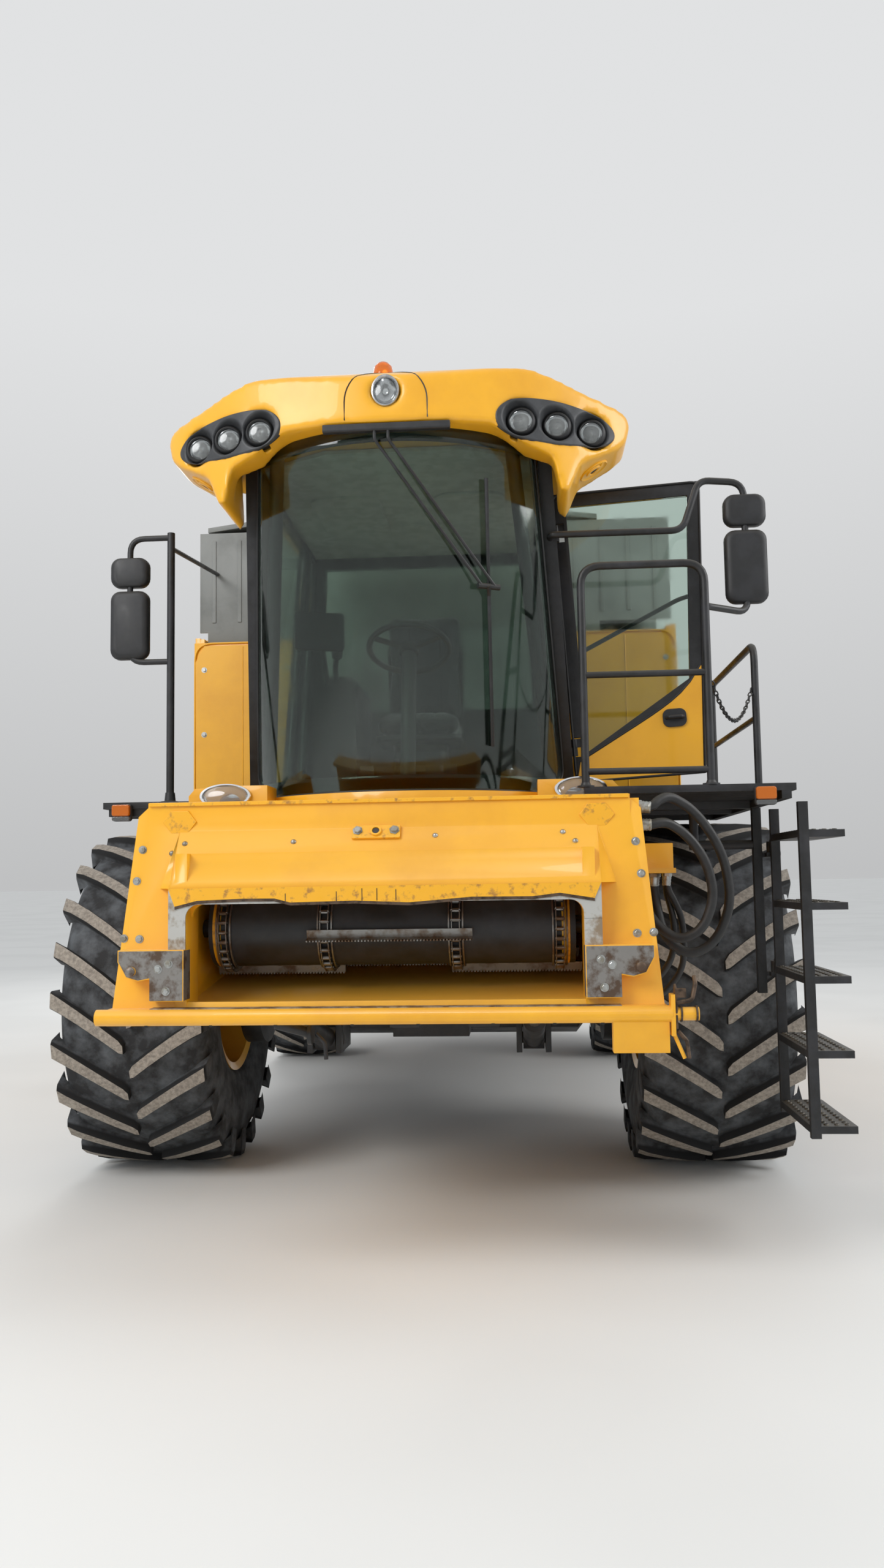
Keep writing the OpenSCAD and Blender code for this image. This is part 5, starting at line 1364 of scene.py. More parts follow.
@dataclass
class FeederFace:
    """What is bolted, welded and worn on the adapter frame.

    Attributes:
        foot_z: Height of the sloped plate's foot.
        foot_y: Front face of the sloped plate at its foot.
        lean: Lean of the sloped plate to the back for each metre of height.
    """

    foot_z: float = 1.03
    foot_y: float = -2.34
    lean: float = 0.1807

    def face_y(self, z: float) -> float:
        """Front face of the sloped plate at a height."""
        return self.foot_y + (z - self.foot_z) * self.lean

    def hood_y(self, z: float) -> float:
        """Front face of the hood over the mouth at a height."""
        low, high = (-2.345, 1.53), (-2.19, 1.78)
        return low[0] if z < low[1] else low[0] + (z - low[1]) * (high[0] - low[0]) / (high[1] - low[1])

    def gussets(self) -> None:
        """Hexagonal plates over the bend at both top corners and the lip's folded edge."""
        shape = Shape()
        middle_x, z = 0.80, 1.795
        ring = [(math.cos(math.radians(a)) * 0.066, math.sin(math.radians(a)) * 0.05)
                for a in range(0, 360, 60)]
        y = -2.205
        shape.prism([(middle_x + u, z + v - 0.01) for u, v in ring], Axis.Y, y - 0.007, 0.008)
        shape.mirrored()
        shape.prism([(-2.215, 1.846), (-2.205, 1.846), (-2.205, 1.861), (-2.215, 1.861)], Axis.X, -0.92, 1.84)
        shape.put("corner_gussets", FEEDER_ENAMEL, "feeder", "yellow_paint", edge=0.002)

    def latch_plate(self) -> None:
        """The small plate in the middle of the hood with its two bolts; its hole is a black disc of painted
        shade.
        """
        z, x = 1.73, -0.035
        y = self.hood_y(z)
        tilt = math.atan2(0.155, 0.25)
        frame = Matrix.Translation((x, y - 0.004, z)) @ Matrix.Rotation(-tilt, 4, "X")
        plate = Shape().prism(rounded_rectangle(0.185, 0.058, 0.006), Axis.Y, -0.009, 0.012)
        plate.lathe([(-0.001, 0.014), (0.009, 0.014), (0.009, 0.022), (-0.001, 0.022)],
                    (0, -0.009, 0), (0, -1, 0), 20)
        plate.moved(frame).put("hood_latch_plate", FEEDER_ENAMEL, "feeder", "yellow_paint", edge=0.0015)
        # A black disc inside the collar: painted shade for the depth of the pierced hole
        dark = Shape()
        dark.lathe([(0, 0), (0, 0.013), (0.004, 0.013), (0.004, 0)], (0, -0.009, 0), (0, -1, 0), 20, False)
        dark.moved(frame).put("hood_latch_hole", BLACK_POWDER_COAT, "feeder", "dark_paint")
        heads = Shape()
        for u in (-0.07, 0.07):
            heads.lathe([(0, 0), (0, 0.02), (0.003, 0.02), (0.003, 0.0145), (0.012, 0.0145), (0.014, 0.012),
                         (0.014, 0)], (u, -0.009, 0.004), (0, -1, 0), 6, False)
        finished(heads.moved(frame).object("hood_latch_bolts", ZINC_PLATED_STEEL), "feeder", "bare_steel")

    def rivets(self) -> None:
        """Cup-headed rivets over the hood and plain bolts along the foot and the wings."""
        places = []
        for x, z in ((-0.77, 1.70), (-0.825, 1.665), (-0.35, 1.70), (0.19, 1.715), (0.67, 1.72),
                     (0.715, 1.685)):
            places.append((x, self.hood_y(z) - 0.001 if abs(x) < 0.79 else self.face_y(z) - 0.001, z))
        cups = Shape()
        for x, y, z in places:
            cups.lathe([(0, 0), (0, 0.011), (0.004, 0.009), (0.007, 0.005), (0.0085, 0)], (x, y, z),
                       (0, -1, 0.4), 14, False)
        cups.put("hood_rivets", ZINC_PLATED_STEEL, "feeder", "bare_steel")
        foot = [(x, -2.372, 1.038) for x in (-0.87, -0.63, -0.39, -0.11, 0.13, 0.4, 0.62, 0.79)]
        bolted("foot_flange_bolts", foot, Axis.Y, 0.02, -0.009, "feeder", BLACK_POWDER_COAT, "dark_paint")
        wing = ((0.93, 1.342), (0.99, 1.345), (0.955, 1.56), (0.94, 1.68))
        side = [(s * x, self.face_y(z) - 0.001, z) for s in (-1, 1) for x, z in wing]
        bolted("wing_bolts", side, Axis.Y, 0.022, -0.009, "feeder")
        guide = [(s * x, -2.373, z) for s in (-1, 1)
                 for x, z in ((0.79, 1.255), (0.80, 1.155), (0.83, 1.235))]
        bolted("guide_bolts", guide, Axis.Y, 0.022, -0.009, "feeder")

    def worn_edges(self) -> None:
        """The worn guides and sill, the mouth's primed frame and the hood's ragged lower edge."""
        shape = Shape()
        shape.prism([(0.738, 1.12), (0.862, 1.12), (0.862, 1.203), (0.905, 1.195), (0.949, 1.208),
                     (0.979, 1.263), (0.979, 1.302), (0.738, 1.302)], Axis.Y, -2.3735, 0.0035)
        shape.prism([(-2.372, 1.12), (-2.29, 1.12), (-2.29, 1.302), (-2.372, 1.302)], Axis.X, 0.7335, 0.003)
        shape.lathe([(0, 0.0), (0, 0.019), (0.006, 0.018), (0.010, 0.013), (0.012, 0.006), (0.0125, 0)],
                    (0.93, -2.386, 1.228), (0, -1, 0), 20, False)
        shape.mirrored()
        shape.box((-0.86, -2.3755, 1.074), (0.86, -2.26, 1.0925))
        shape.put("worn_guides_and_sill", WORN_GUIDE_STEEL, "feeder", "bare_steel", edge=0.0015)
        mouth = Shape()
        outer = [(-0.8, 1.40), (-0.8, 1.528), (0.8, 1.528), (0.8, 1.40)]
        inner = [(0.735, 1.40)] + [(0.685 + 0.05 * math.cos(t), 1.42 + 0.05 * math.sin(t))
                                   for t in (math.radians(9 * i) for i in range(11))]
        inner += [(-x, z) for x, z in inner[::-1]]
        mouth.prism(outer + inner, Axis.Y, -2.349, 0.004)
        for side in (1, -1):
            cheek = [(side * x, z) for x, z in ((0.735, 1.30), (0.8, 1.30), (0.8, 1.401), (0.735, 1.401))]
            mouth.prism(cheek, Axis.Y, -2.349 if side > 0 else -2.3491, 0.004)
        finished(mouth.object("mouth_frame", MOUTH_PRIMER), "feeder", "grey_paint")
        points = [(-0.775, 1.462), (-0.69, 1.484), (-0.52, 1.49), (-0.40, 1.486), (-0.34, 1.479),
                  (-0.1, 1.475), (0.1, 1.474), (0.33, 1.478), (0.55, 1.488), (0.65, 1.487), (0.775, 1.470)]
        ragged = [(x, z + 0.0045 * math.sin(41 * x) + 0.003 * math.sin(97 * x + 1)) for x, z in points]
        lip = Shape().prism([*ragged, (0.8, 1.53), (-0.8, 1.53)], Axis.Y, -2.3535, 0.005)
        finished(lip.object("hood_front_edge", FEEDER_ENAMEL), "feeder", "yellow_paint")
        bare = [(x, z - 0.011) for x, z in ragged[::-1]]
        worn = Shape().prism([*ragged, *bare], Axis.Y, -2.3525, 0.0035)
        for x, long in ((-0.36, 0.03), (-0.17, 0.035), (-0.075, 0.045), (-0.02, 0.045), (0.05, 0.04)):
            worn.box((x, -2.3542, 1.476), (x + 0.003, -2.3528, 1.476 + long))
        finished(worn.object("hood_worn_edge", BROWN_WORN_STEEL), "feeder", "bare_steel")

    def latch(self) -> None:
        """Handle, square bolt and prongs of the header latch on the left."""
        shape = Shape()
        shape.box((1.046, -2.392, 1.118), (1.085, -2.366, 1.15))
        shape.sweep(bent([(1.05, -2.388, 1.10), (1.105, -2.389, 1.11), (1.12, -2.375, 1.165),
                          (1.12, -2.352, 1.19)], 0.02), 0.008, 10)
        shape.sweep(bent([(1.055, -2.37, 1.0), (1.085, -2.375, 0.965), (1.09, -2.385, 0.905)],
                         0.02), 0.007, 10)
        shape.prism([(-2.396, 1.01), (-2.345, 1.01), (-2.335, 1.13), (-2.36, 1.165), (-2.39, 1.15)],
                    Axis.X, 1.0455, 0.008)
        shape.put("latch_handle", BROWN_WORN_STEEL, "feeder", "bare_steel", edge=0.0015)
        rings = Shape()
        for x in (1.064, 1.118):
            rings.lathe([(0, 0.0245), (0, 0.0285), (0.007, 0.0285), (0.007, 0.0245)],
                        (x, -2.37, 1.06), (1, 0, 0), 32)
        rings.put("latch_collars", BROWN_WORN_STEEL, "feeder", "bare_steel")

    def under_arm(self) -> None:
        """The dark strut, disc and lever that show under the foot on the right."""
        shape = Shape()
        shape.sweep([(-0.42, -2.25, 1.02), (-0.30, -2.23, 0.985)], 0.02, 12)
        shape.lathe([(-0.008, 0), (-0.008, 0.042), (0.008, 0.042), (0.008, 0)], (-0.29, -2.23, 0.98),
                    (1, 0, 0), 24, False)
        shape.sweep(bent([(-0.27, -2.23, 0.98), (-0.235, -2.23, 0.945), (-0.23, -2.24, 0.885)],
                         0.03), 0.008, 10)
        for x in (0.02, 0.31):
            shape.box((x, -2.32, 1.012), (x + 0.11, -2.26, 1.031))
        shape.put("feeder_under_lever", BLACK_POWDER_COAT, "feeder", "dark_paint", edge=0.002)

    def build(self) -> None:
        """Makes every detail of the adapter frame."""
        self.gussets()
        self.latch_plate()
        self.rivets()
        self.worn_edges()
        self.latch()
        self.under_arm()


# Cab


@dataclass
class Windscreen:
    """The bowed windscreen with its printed border and its rubber edge.

    Attributes:
        floor_z: Height of its lower edge.
        top_z: Height of its upper edge.
        half_low: Half width at the lower edge.
        half_top: Half width at the upper edge.
        corner: Radius of the lower corners.
        radius: Radius of the bow across its lean.
        lean: Lean in degrees.
        front_y: Foremost point at the lower edge.
    """

    floor_z: float = 1.9305
    top_z: float = 3.4095
    half_low: float = 0.722
    half_top: float = 0.602
    corner: float = 0.13
    radius: float = 0.812
    lean: float = 13.0
    front_y: float = -1.66

    def surface(self, x: float, z: float, inward: float) -> Vector:
        """A point on the glass or behind it.

        Args:
            x: Place across the machine.
            z: Height.
            inward: Distance behind the outer face.

        Returns:
            The point.
        """
        lean = math.radians(self.lean)
        stretch = 1 / math.cos(lean)
        radius = self.radius - inward
        foot_y = self.front_y + self.radius * stretch
        axis_y = foot_y - math.tan(lean) * (z - self.floor_z + 0.0005)
        return Vector((x, axis_y - stretch * math.sqrt(max(radius**2 - x**2, 0.0)), z))

    def half_width(self, z: float) -> float:
        """Half width of the glass at a height, with its rounded lower corners."""
        share = (z - self.floor_z) / (self.top_z - self.floor_z)
        half = self.half_low + (self.half_top - self.half_low) * share
        low = z - self.floor_z
        if low < self.corner:
            half -= self.corner - math.sqrt(self.corner**2 - (self.corner - low) ** 2)
        return half

    def heights(self, first: int, steps: int) -> list[float]:
        """Heights up the glass, in ten steps past the lower corner and even ones above it.

        Args:
            first: First of the even steps.
            steps: Their number up to the top.

        Returns:
            The heights.
        """
        straight = self.top_z - self.floor_z - self.corner
        low = [self.floor_z + self.corner * (1 - math.cos(math.radians(9 * i))) for i in range(10)]
        return low + [self.floor_z + self.corner + straight * i / steps for i in range(first, steps + 1)]

    def band(self, name: str, finish: Surface, inward: float, thick: float, frame: float) -> bpy.types.Object:
        """A curved sheet that follows the glass, whole or only its border.

        Args:
            name: Name of the sheet.
            finish: Its finish.
            inward: Distance of its outer face behind the glass's.
            thick: Its thickness.
            frame: Width of the border that is kept, or 0 for the whole sheet.

        Returns:
            The sheet.
        """
        rows = [max(z, self.floor_z + 0.0008) for z in self.heights(0, 30)]
        rows[-2] = self.top_z - 0.055
        columns, border = 44, 0.032
        points, faces = [], []
        for z in rows:
            half = self.half_width(z)
            edge = min(0.9 / columns * 2, border / half)
            between = [-1.0 + 2 * k / (columns - 2) for k in range(2, columns - 3)]
            shares = [-1.0, -1.0 + edge, *between, 1.0 - edge, 1.0]
            points += [self.surface(u * half, z, inward) for u in shares]
        wide = len(shares)
        for i in range(len(rows) - 1):
            for k in range(wide - 1):
                inside = 0 < k < wide - 2 and rows[i] > self.floor_z + 0.06 and i < len(rows) - 2
                if frame == 0 or not inside:
                    faces.append((i * wide + k, i * wide + k + 1, (i + 1) * wide + k + 1, (i + 1) * wide + k))
        shape = Shape().faces(points, faces)
        loose = [v for v in shape.mesh.verts if not v.link_faces]
        bmesh.ops.delete(shape.mesh, geom=loose, context="VERTS")
        return thickened(shape.object(name, finish), thick)

    def build(self) -> None:
        """Makes the glass, its printed border and the seal round it."""
        finished(self.band("bowed_windscreen", GREEN_CAB_GLASS, 0.0, 0.0055, 0.0), "machine",
                 "tinted_glass", "windscreen")
        finished(self.band("windscreen_printed_border", PRINTED_GLASS_BORDER, 0.0062, 0.001, 1.0),
                 "machine", "dark_paint")
        left = [self.surface(self.half_width(z) + 0.001, z, 0.004) for z in self.heights(1, 20)[1:]]
        foot = [self.surface(self.half_width(self.floor_z + 0.001) * k / 16, self.floor_z + 0.003, 0.004)
                for k in range(-16, 17)]
        right = [Vector((-p.x, p.y, p.z)) for p in left]
        seal = Shape().sweep([*right[::-1], *foot, *left], 0.0065, 10)
        seal.put("windscreen_seal", HOSE_RUBBER, "machine", "dark_paint")


@dataclass
class Roof:
    """The moulded roof with its lamp pods, brow bar and beacon.

    Attributes:
        voxel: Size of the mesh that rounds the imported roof.
        rounds: Rounds of smoothing.
        lamps: Place of each pod lamp as x, back of its recess, height.
        bow: Radius of the roof's bowed front and the place of its middle.
        pod: Middle, height, half width and half height of a pod's recess.
    """

    voxel: float = 0.014
    rounds: int = 9
    lamps: tuple[tuple[float, float, float], ...] = ((0.55, -1.88, 3.44), (0.70, -1.815, 3.44),
                                                     (0.85, -1.72, 3.44))
    bow: tuple[float, float] = (1.5, -0.56)
    pod: tuple[float, float, float, float] = (0.70, 3.442, 0.268, 0.098)

    def front(self, x: float) -> float:
        """Front face of the roof at a place across it."""
        return self.bow[1] - math.sqrt(self.bow[0] ** 2 - x**2)

    def shell(self) -> None:
        """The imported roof, remeshed and smoothed as one moulding."""
        source = FRAME["nodes"]["cab_roof"]
        copy = linked("moulded_roof", source.data.copy())
        remesh = copy.modifiers.new("one_skin", "REMESH")
        remesh.mode = "VOXEL"
        remesh.voxel_size = self.voxel
        ease = copy.modifiers.new("ease", "SMOOTH")
        ease.factor = 0.5
        ease.iterations = self.rounds
        baked(copy)
        copy.data.materials.clear()
        copy.data.materials.append(YELLOW_ENAMEL.material())
        copy.data.shade_smooth()
        skin = BVHTree.FromPolygons([v.co for v in copy.data.vertices],
                                    [p.vertices for p in copy.data.polygons])
        finished(copy, "machine", "yellow_paint", "cab_roof")
        self.seams(skin)

    def seams(self, skin: BVHTree) -> None:
        """The seam round the centre lamp and the round plates under the wings, laid on the moulding.

        Args:
            skin: The moulding's surface, to drop points on.
        """
        half, spring, rise = 0.17, 3.50, 0.155
        arch = [(half, 3.425)] + [(half * math.cos(t), spring + rise * math.sin(t))
                                  for t in (math.pi * i / 24 for i in range(25))] + [(-half, 3.425)]
        path = [skin.ray_cast(Vector((x, -8.0, z)), Vector((0, 1, 0)))[0] for x, z in arch]
        seam = Shape().sweep([p - Vector((0, AXLE_Y, 0)) for p in path if p is not None], 0.0028, 6)
        seam.put("roof_front_seam", HOSE_RUBBER, "machine", "dark_paint")
        plates, hubs = Shape(), Shape()
        for side in (-1, 1):
            below = Vector((side * 0.865, -1.62 + AXLE_Y, 0.5))
            place, normal, _, _ = skin.ray_cast(below, Vector((0, 0, 1)))
            if place is None:
                continue
            centre = place - Vector((0, AXLE_Y, 0))
            plates.lathe([(-0.012, 0.0), (-0.012, 0.070), (0.003, 0.070), (0.007, 0.065), (0.003, 0.058),
                          (0.002, 0.038), (0.008, 0.034), (0.008, 0.024), (0.002, 0.02), (0.002, 0.0)],
                         centre, normal, 48, False)
            hubs.lathe([(-0.002, 0.0), (-0.002, 0.018), (0.005, 0.017), (0.006, 0.0)], centre,
                       normal, 24, False)
        plates.put("wing_round_plates", YELLOW_ENAMEL, "machine", "yellow_paint")
        hubs.put("wing_plate_hubs", HOSE_RUBBER, "machine", "dark_paint")

    def recess(self, side: int) -> bpy.types.Object:
        """The dark moulded recess of a pod with a bowl round each lamp.

        Args:
            side: 1 for the left pod and -1 for the right.

        Returns:
            The recess.
        """
        middle, height, half_w, half_h = self.pod
        wide, tall = 110, 44
        proud, lip, bowl, slope = 0.004, 0.93, 0.079, 0.03
        points = []
        for j in range(tall + 1):
            for i in range(wide + 1):
                u, v = -1 + 2 * i / wide, -1 + 2 * j / tall
                x = middle + half_w * u * math.sqrt(1 - v * v / 2)
                z = height + half_h * v * math.sqrt(1 - u * u / 2) * (1.0 - 0.10 * u)
                rim = max(abs(u), abs(v))
                face = self.front(x)
                y = face - proud
                if rim > lip:
                    y += 0.02 * (rim - lip) / 0.07
                for lamp_x, floor_y, lamp_z in self.lamps:
                    away = math.hypot(x - lamp_x, z - lamp_z)
                    share = min(max((bowl - away) / slope, 0.0), 1.0)
                    share = share * share * (3 - 2 * share)
                    y = max(y, face - proud + (floor_y - proud - face) * share)
                points.append((side * x, y, z))
        row = wide + 1
        faces = [(j * row + i, j * row + i + 1, (j + 1) * row + i + 1, (j + 1) * row + i)
                 for j in range(tall) for i in range(wide)]
        name = "pod_recess_left" if side > 0 else "pod_recess_right"
        return thickened(Shape().faces(points, faces).object(name, POD_PLASTIC), 0.003)

    def pod_lamps(self) -> None:
        """Recesses, hoods, bowls, bulbs and lenses of the six pod lamps."""
        hoods, bowls, lenses, bulbs = Shape(), Shape(), Shape(), Shape()
        spots = [(s * x, y, z) for s in (-1, 1) for x, y, z in self.lamps]
        for x, y, z in spots:
            centre, ahead = (x, y - 0.006, z), (0, -1, 0)
            hoods.lathe([(0, 0.064), (0.03, 0.0625), (0.046, 0.057), (0.05, 0.051), (0.047, 0.047),
                         (0.02, 0.046), (0, 0.046)], centre, ahead, 40)
            bowls.lathe([(0.034, 0.0465), (0.028, 0.04), (0.012, 0.028), (0.003, 0.012), (0.003, 0.0),
                         (-0.001, 0.0), (-0.001, 0.0465)], centre, ahead, 40, False)
            bulbs.lathe([(0.003, 0.0), (0.003, 0.007), (0.018, 0.007), (0.021, 0.004), (0.021, 0.0)], centre,
                        ahead, 16, False)
            lenses.lathe([(0.034, 0.0468), (0.037, 0.0468), (0.042, 0.035), (0.045, 0.018), (0.046, 0.0),
                          (0.042, 0.0), (0.041, 0.018), (0.038, 0.035)], centre, ahead, 40, False)
        hoods.put("pod_hoods", MOULDED_ABS, "machine", "black_plastic", angle=40)
        bowls.put("pod_bowls", LAMP_REFLECTOR, "machine", "bare_steel", angle=60)
        lenses.put("pod_lenses", LAMP_LENS, "machine", "lamp_glass", "lamps", angle=60)
        bulbs.put("pod_bulbs", FROSTED_BULB, "machine", "lamp_glass", angle=60)
        for side in (-1, 1):
            finished(self.recess(side), "machine", "black_plastic")

    def centre_lamp(self) -> None:
        """The oval lamp in the crown with its bezel."""
        there, back = Matrix.Translation((0, 0, 3.54)), Matrix.Translation((0, 0, -3.54))
        stretch = there @ Matrix.Diagonal((0.86, 1, 1.0, 1)) @ back
        ahead, centre = (0, -1, 0), (0, -2.0, 3.54)
        bezel = Shape().lathe([(0, 0.058), (0.052, 0.0685), (0.062, 0.066), (0.064, 0.061), (0.06, 0.056),
                               (0.04, 0.051), (0, 0.05)], centre, ahead, 48).moved(stretch)
        bowl = Shape().lathe([(0.045, 0.052), (0.03, 0.04), (0.014, 0.024), (0.008, 0.0), (0, 0), (0, 0.052)],
                             centre, ahead, 48, False).moved(stretch)
        lens = Shape().lathe([(0.045, 0.052), (0.051, 0.052), (0.057, 0.036), (0.06, 0.0), (0.055, 0.0),
                              (0.052, 0.036)], centre, ahead, 48, False).moved(stretch)
        bezel.put("centre_lamp_bezel", BRUSHED_TRIM, "machine", "bare_steel", angle=40)
        bowl.put("centre_lamp_bowl", LAMP_REFLECTOR, "machine", "bare_steel", angle=60)
        lens.put("centre_lamp_lens", LAMP_LENS, "machine", "lamp_glass", angle=60)

    def trim(self) -> None:
        """The brow bar, the headliner and the round vents under the pods."""
        bar = Shape().prism([(-2.052, 3.381), (-2.046, 3.375), (-2.02, 3.377), (-2.018, 3.408),
                             (-2.05, 3.409)], Axis.X, -0.262, 0.524)
        bar.put("brow_bar", BLACK_POWDER_COAT, "machine", "black_plastic", edge=0.004)
        liner = Shape()
        liner.prism([(-0.60, -1.60), (-0.30, -1.78), (0.30, -1.78), (0.60, -1.60), (0.66, -0.2),
                     (-0.66, -0.2)], Axis.Z, 3.385, 0.022)
        for x in (-0.3, 0.3):
            liner.prism(rounded_rectangle(0.34, 0.6, 0.08, (x, -0.95)), Axis.Z, 3.372, 0.014)
        liner.put("headliner", HEADLINER_FOAM, "machine", "black_plastic", edge=0.006, steps=3)
        pads = Shape()
        for side in (-1, 1):
            pads.lathe([(0, 0.085), (0.006, 0.085), (0.012, 0.07), (0.007, 0.05), (0.007, 0.018),
                        (0.016, 0.014), (0.016, 0.0), (0, 0)], (side * 0.83, -1.66, 3.345),
                       (side * 0.25, -0.35, -1), 36, False)
        pads.put("pod_underside_vents", YELLOW_ENAMEL, "machine", "yellow_paint", angle=30)

    def beacon(self) -> None:
        """The flashing beacon on the crown."""
        x, y, z = -0.06, -1.6, 3.7
        foot = Shape().lathe([(0, 0), (0, 0.061), (0.02, 0.061), (0.034, 0.054), (0.045, 0.052), (0.045, 0)],
                             (x, y, z), (0, 0, 1), 36, False)
        dome = Shape().lathe([(0.045, 0.0), (0.045, 0.051), (0.11, 0.048), (0.15, 0.04), (0.168, 0.024),
                              (0.174, 0.0)], (x, y, z), (0, 0, 1), 36, False)
        foot.put("beacon_foot", MOULDED_ABS, "machine", "black_plastic")
        dome.put("beacon_dome", AMBER_LENS, "machine", "lamp_glass", angle=50)

    def build(self) -> None:
        """Makes the roof and everything on it."""
        self.shell()
        self.pod_lamps()
        self.centre_lamp()
        self.trim()
        self.beacon()


@dataclass
class FrontLamps:
    """Headlamps, indicators, position lamps and rear lamps."""

    def headlamps(self) -> None:
        """Wide oval headlamps, each a bezel, a bowl and a lens."""
        bezels, bowls, lenses = Shape(), Shape(), Shape()
        rim = [(0, 0.058), (0.012, 0.066), (0.018, 0.064), (0.018, 0.058), (0.006, 0.053)]
        bowl = [(0.006, 0.058), (0.002, 0.05), (-0.03, 0.03), (-0.036, 0.0), (-0.04, 0.0), (-0.04, 0.058)]
        lens = [(0.008, 0.058), (0.013, 0.057), (0.022, 0.04), (0.026, 0.0), (0.021, 0.0), (0.017, 0.04)]
        for side in (-1, 1):
            centre = Matrix.Translation((side * 0.775, -1.618, 1.925)) @ rotation(-12, "X")
            wide = Matrix.Diagonal((1.75, 1, 0.84, 1))
            for shape, profile in ((bezels, rim), (bowls, bowl), (lenses, lens)):
                shape.add(Shape().lathe(profile, (0, 0, 0), (0, -1, 0), 48).moved(centre @ wide))
        bezels.put("headlamp_bezels", LAMP_REFLECTOR, "machine", "bare_steel", angle=40)
        bowls.put("headlamp_bowls", LAMP_REFLECTOR, "machine", "bare_steel", angle=60)
        lenses.put("headlamp_lenses", LAMP_LENS, "machine", "lamp_glass", angle=60)

    def indicators(self) -> None:
        """Amber indicators with a clear strip, and the red rear lamps."""
        amber, clear, bodies, red = Shape(), Shape(), Shape(), Shape()
        for x, y, z in ((1.52, -1.7605, 1.872), (-1.305, -1.4205, 1.875)):
            low = rounded_rectangle(0.088, 0.078, 0.012, (x, z))
            bodies.prism(low, Axis.Y, y - 0.018, 0.0175)
            amber.prism(rounded_rectangle(0.082, 0.052, 0.01, (x, z + 0.01)), Axis.Y, y - 0.042, 0.025)
            clear.prism(rounded_rectangle(0.082, 0.02, 0.008, (x, z - 0.028)), Axis.Y, y - 0.038, 0.021)
        for side in (-1, 1):
            red.prism(rounded_rectangle(0.212, 0.082, 0.02, (side * 1.24, 1.925)), Axis.Y, 6.0, 0.049)
        bodies.put("indicator_bodies", MOULDED_ABS, "machine", "black_plastic", edge=0.003)
        amber.put("indicator_lenses", AMBER_LENS, "machine", "lamp_glass", edge=0.006, steps=3)
        clear.put("position_lenses", LAMP_LENS, "machine", "lamp_glass", edge=0.004, steps=3)
        red.put("rear_lenses", RED_LENS, "machine", "lamp_glass", edge=0.006, steps=3)

    def build(self) -> None:
        """Makes all lamps below the roof."""
        self.headlamps()
        self.indicators()


@dataclass
class Wiper:
    """The windscreen wiper: two parallel rods under the brow bar and a hanging blade.

    Attributes:
        pivot_x: Middle of the rods' upper ends.
        blade_x: Place of the blade across the machine.
        blade_z: Height of the blade's lower and upper end.
        mount_z: Height where the rods meet the blade.
    """

    pivot_x: float = -0.02
    blade_x: float = 0.40
    blade_z: tuple[float, float] = (2.12, 3.22)
    mount_z: float = 2.74

    def build(self) -> None:
        """Makes the rods, the blade and its spine."""
        glass = Windscreen()
        rods = Shape()
        for offset in (-0.028, 0.028):
            start = Vector((self.pivot_x + offset, -2.04, 3.385))
            under = Vector((self.pivot_x + offset, -2.05, 3.34))
            end = glass.surface(self.blade_x + offset, self.mount_z + 0.04, -0.045)
            rods.sweep(bent([start, under, end], 0.03), 0.0065, 10)
        low = glass.surface(self.blade_x - 0.045, self.mount_z + 0.04, -0.04)
        high = glass.surface(self.blade_x + 0.045, self.mount_z + 0.04, -0.04)
        rods.sweep([low, high], 0.013, 10)
        spine, rubber = [], []
        for i in range(15):
            z = self.blade_z[0] + (self.blade_z[1] - self.blade_z[0]) * i / 14
            spine.append(glass.surface(self.blade_x, z, -0.026))
            rubber.append(glass.surface(self.blade_x, z, -0.012))
        rods.sweep(spine, 0.008, 8)
        rods.sweep([glass.surface(self.blade_x, self.mount_z + 0.04, -0.05),
                    glass.surface(self.blade_x, self.mount_z, -0.02)], 0.009, 8)
        arm = smooth(rods.object("wiper_rods", BLACK_POWDER_COAT))
        lip = smooth(Shape().sweep(rubber, 0.007, 6).object("wiper_rubber", HOSE_RUBBER))
        finished(joined("wiper_arm_and_blade", [arm, lip]), "machine", "dark_paint", "wiper")


# Door, seat and controls


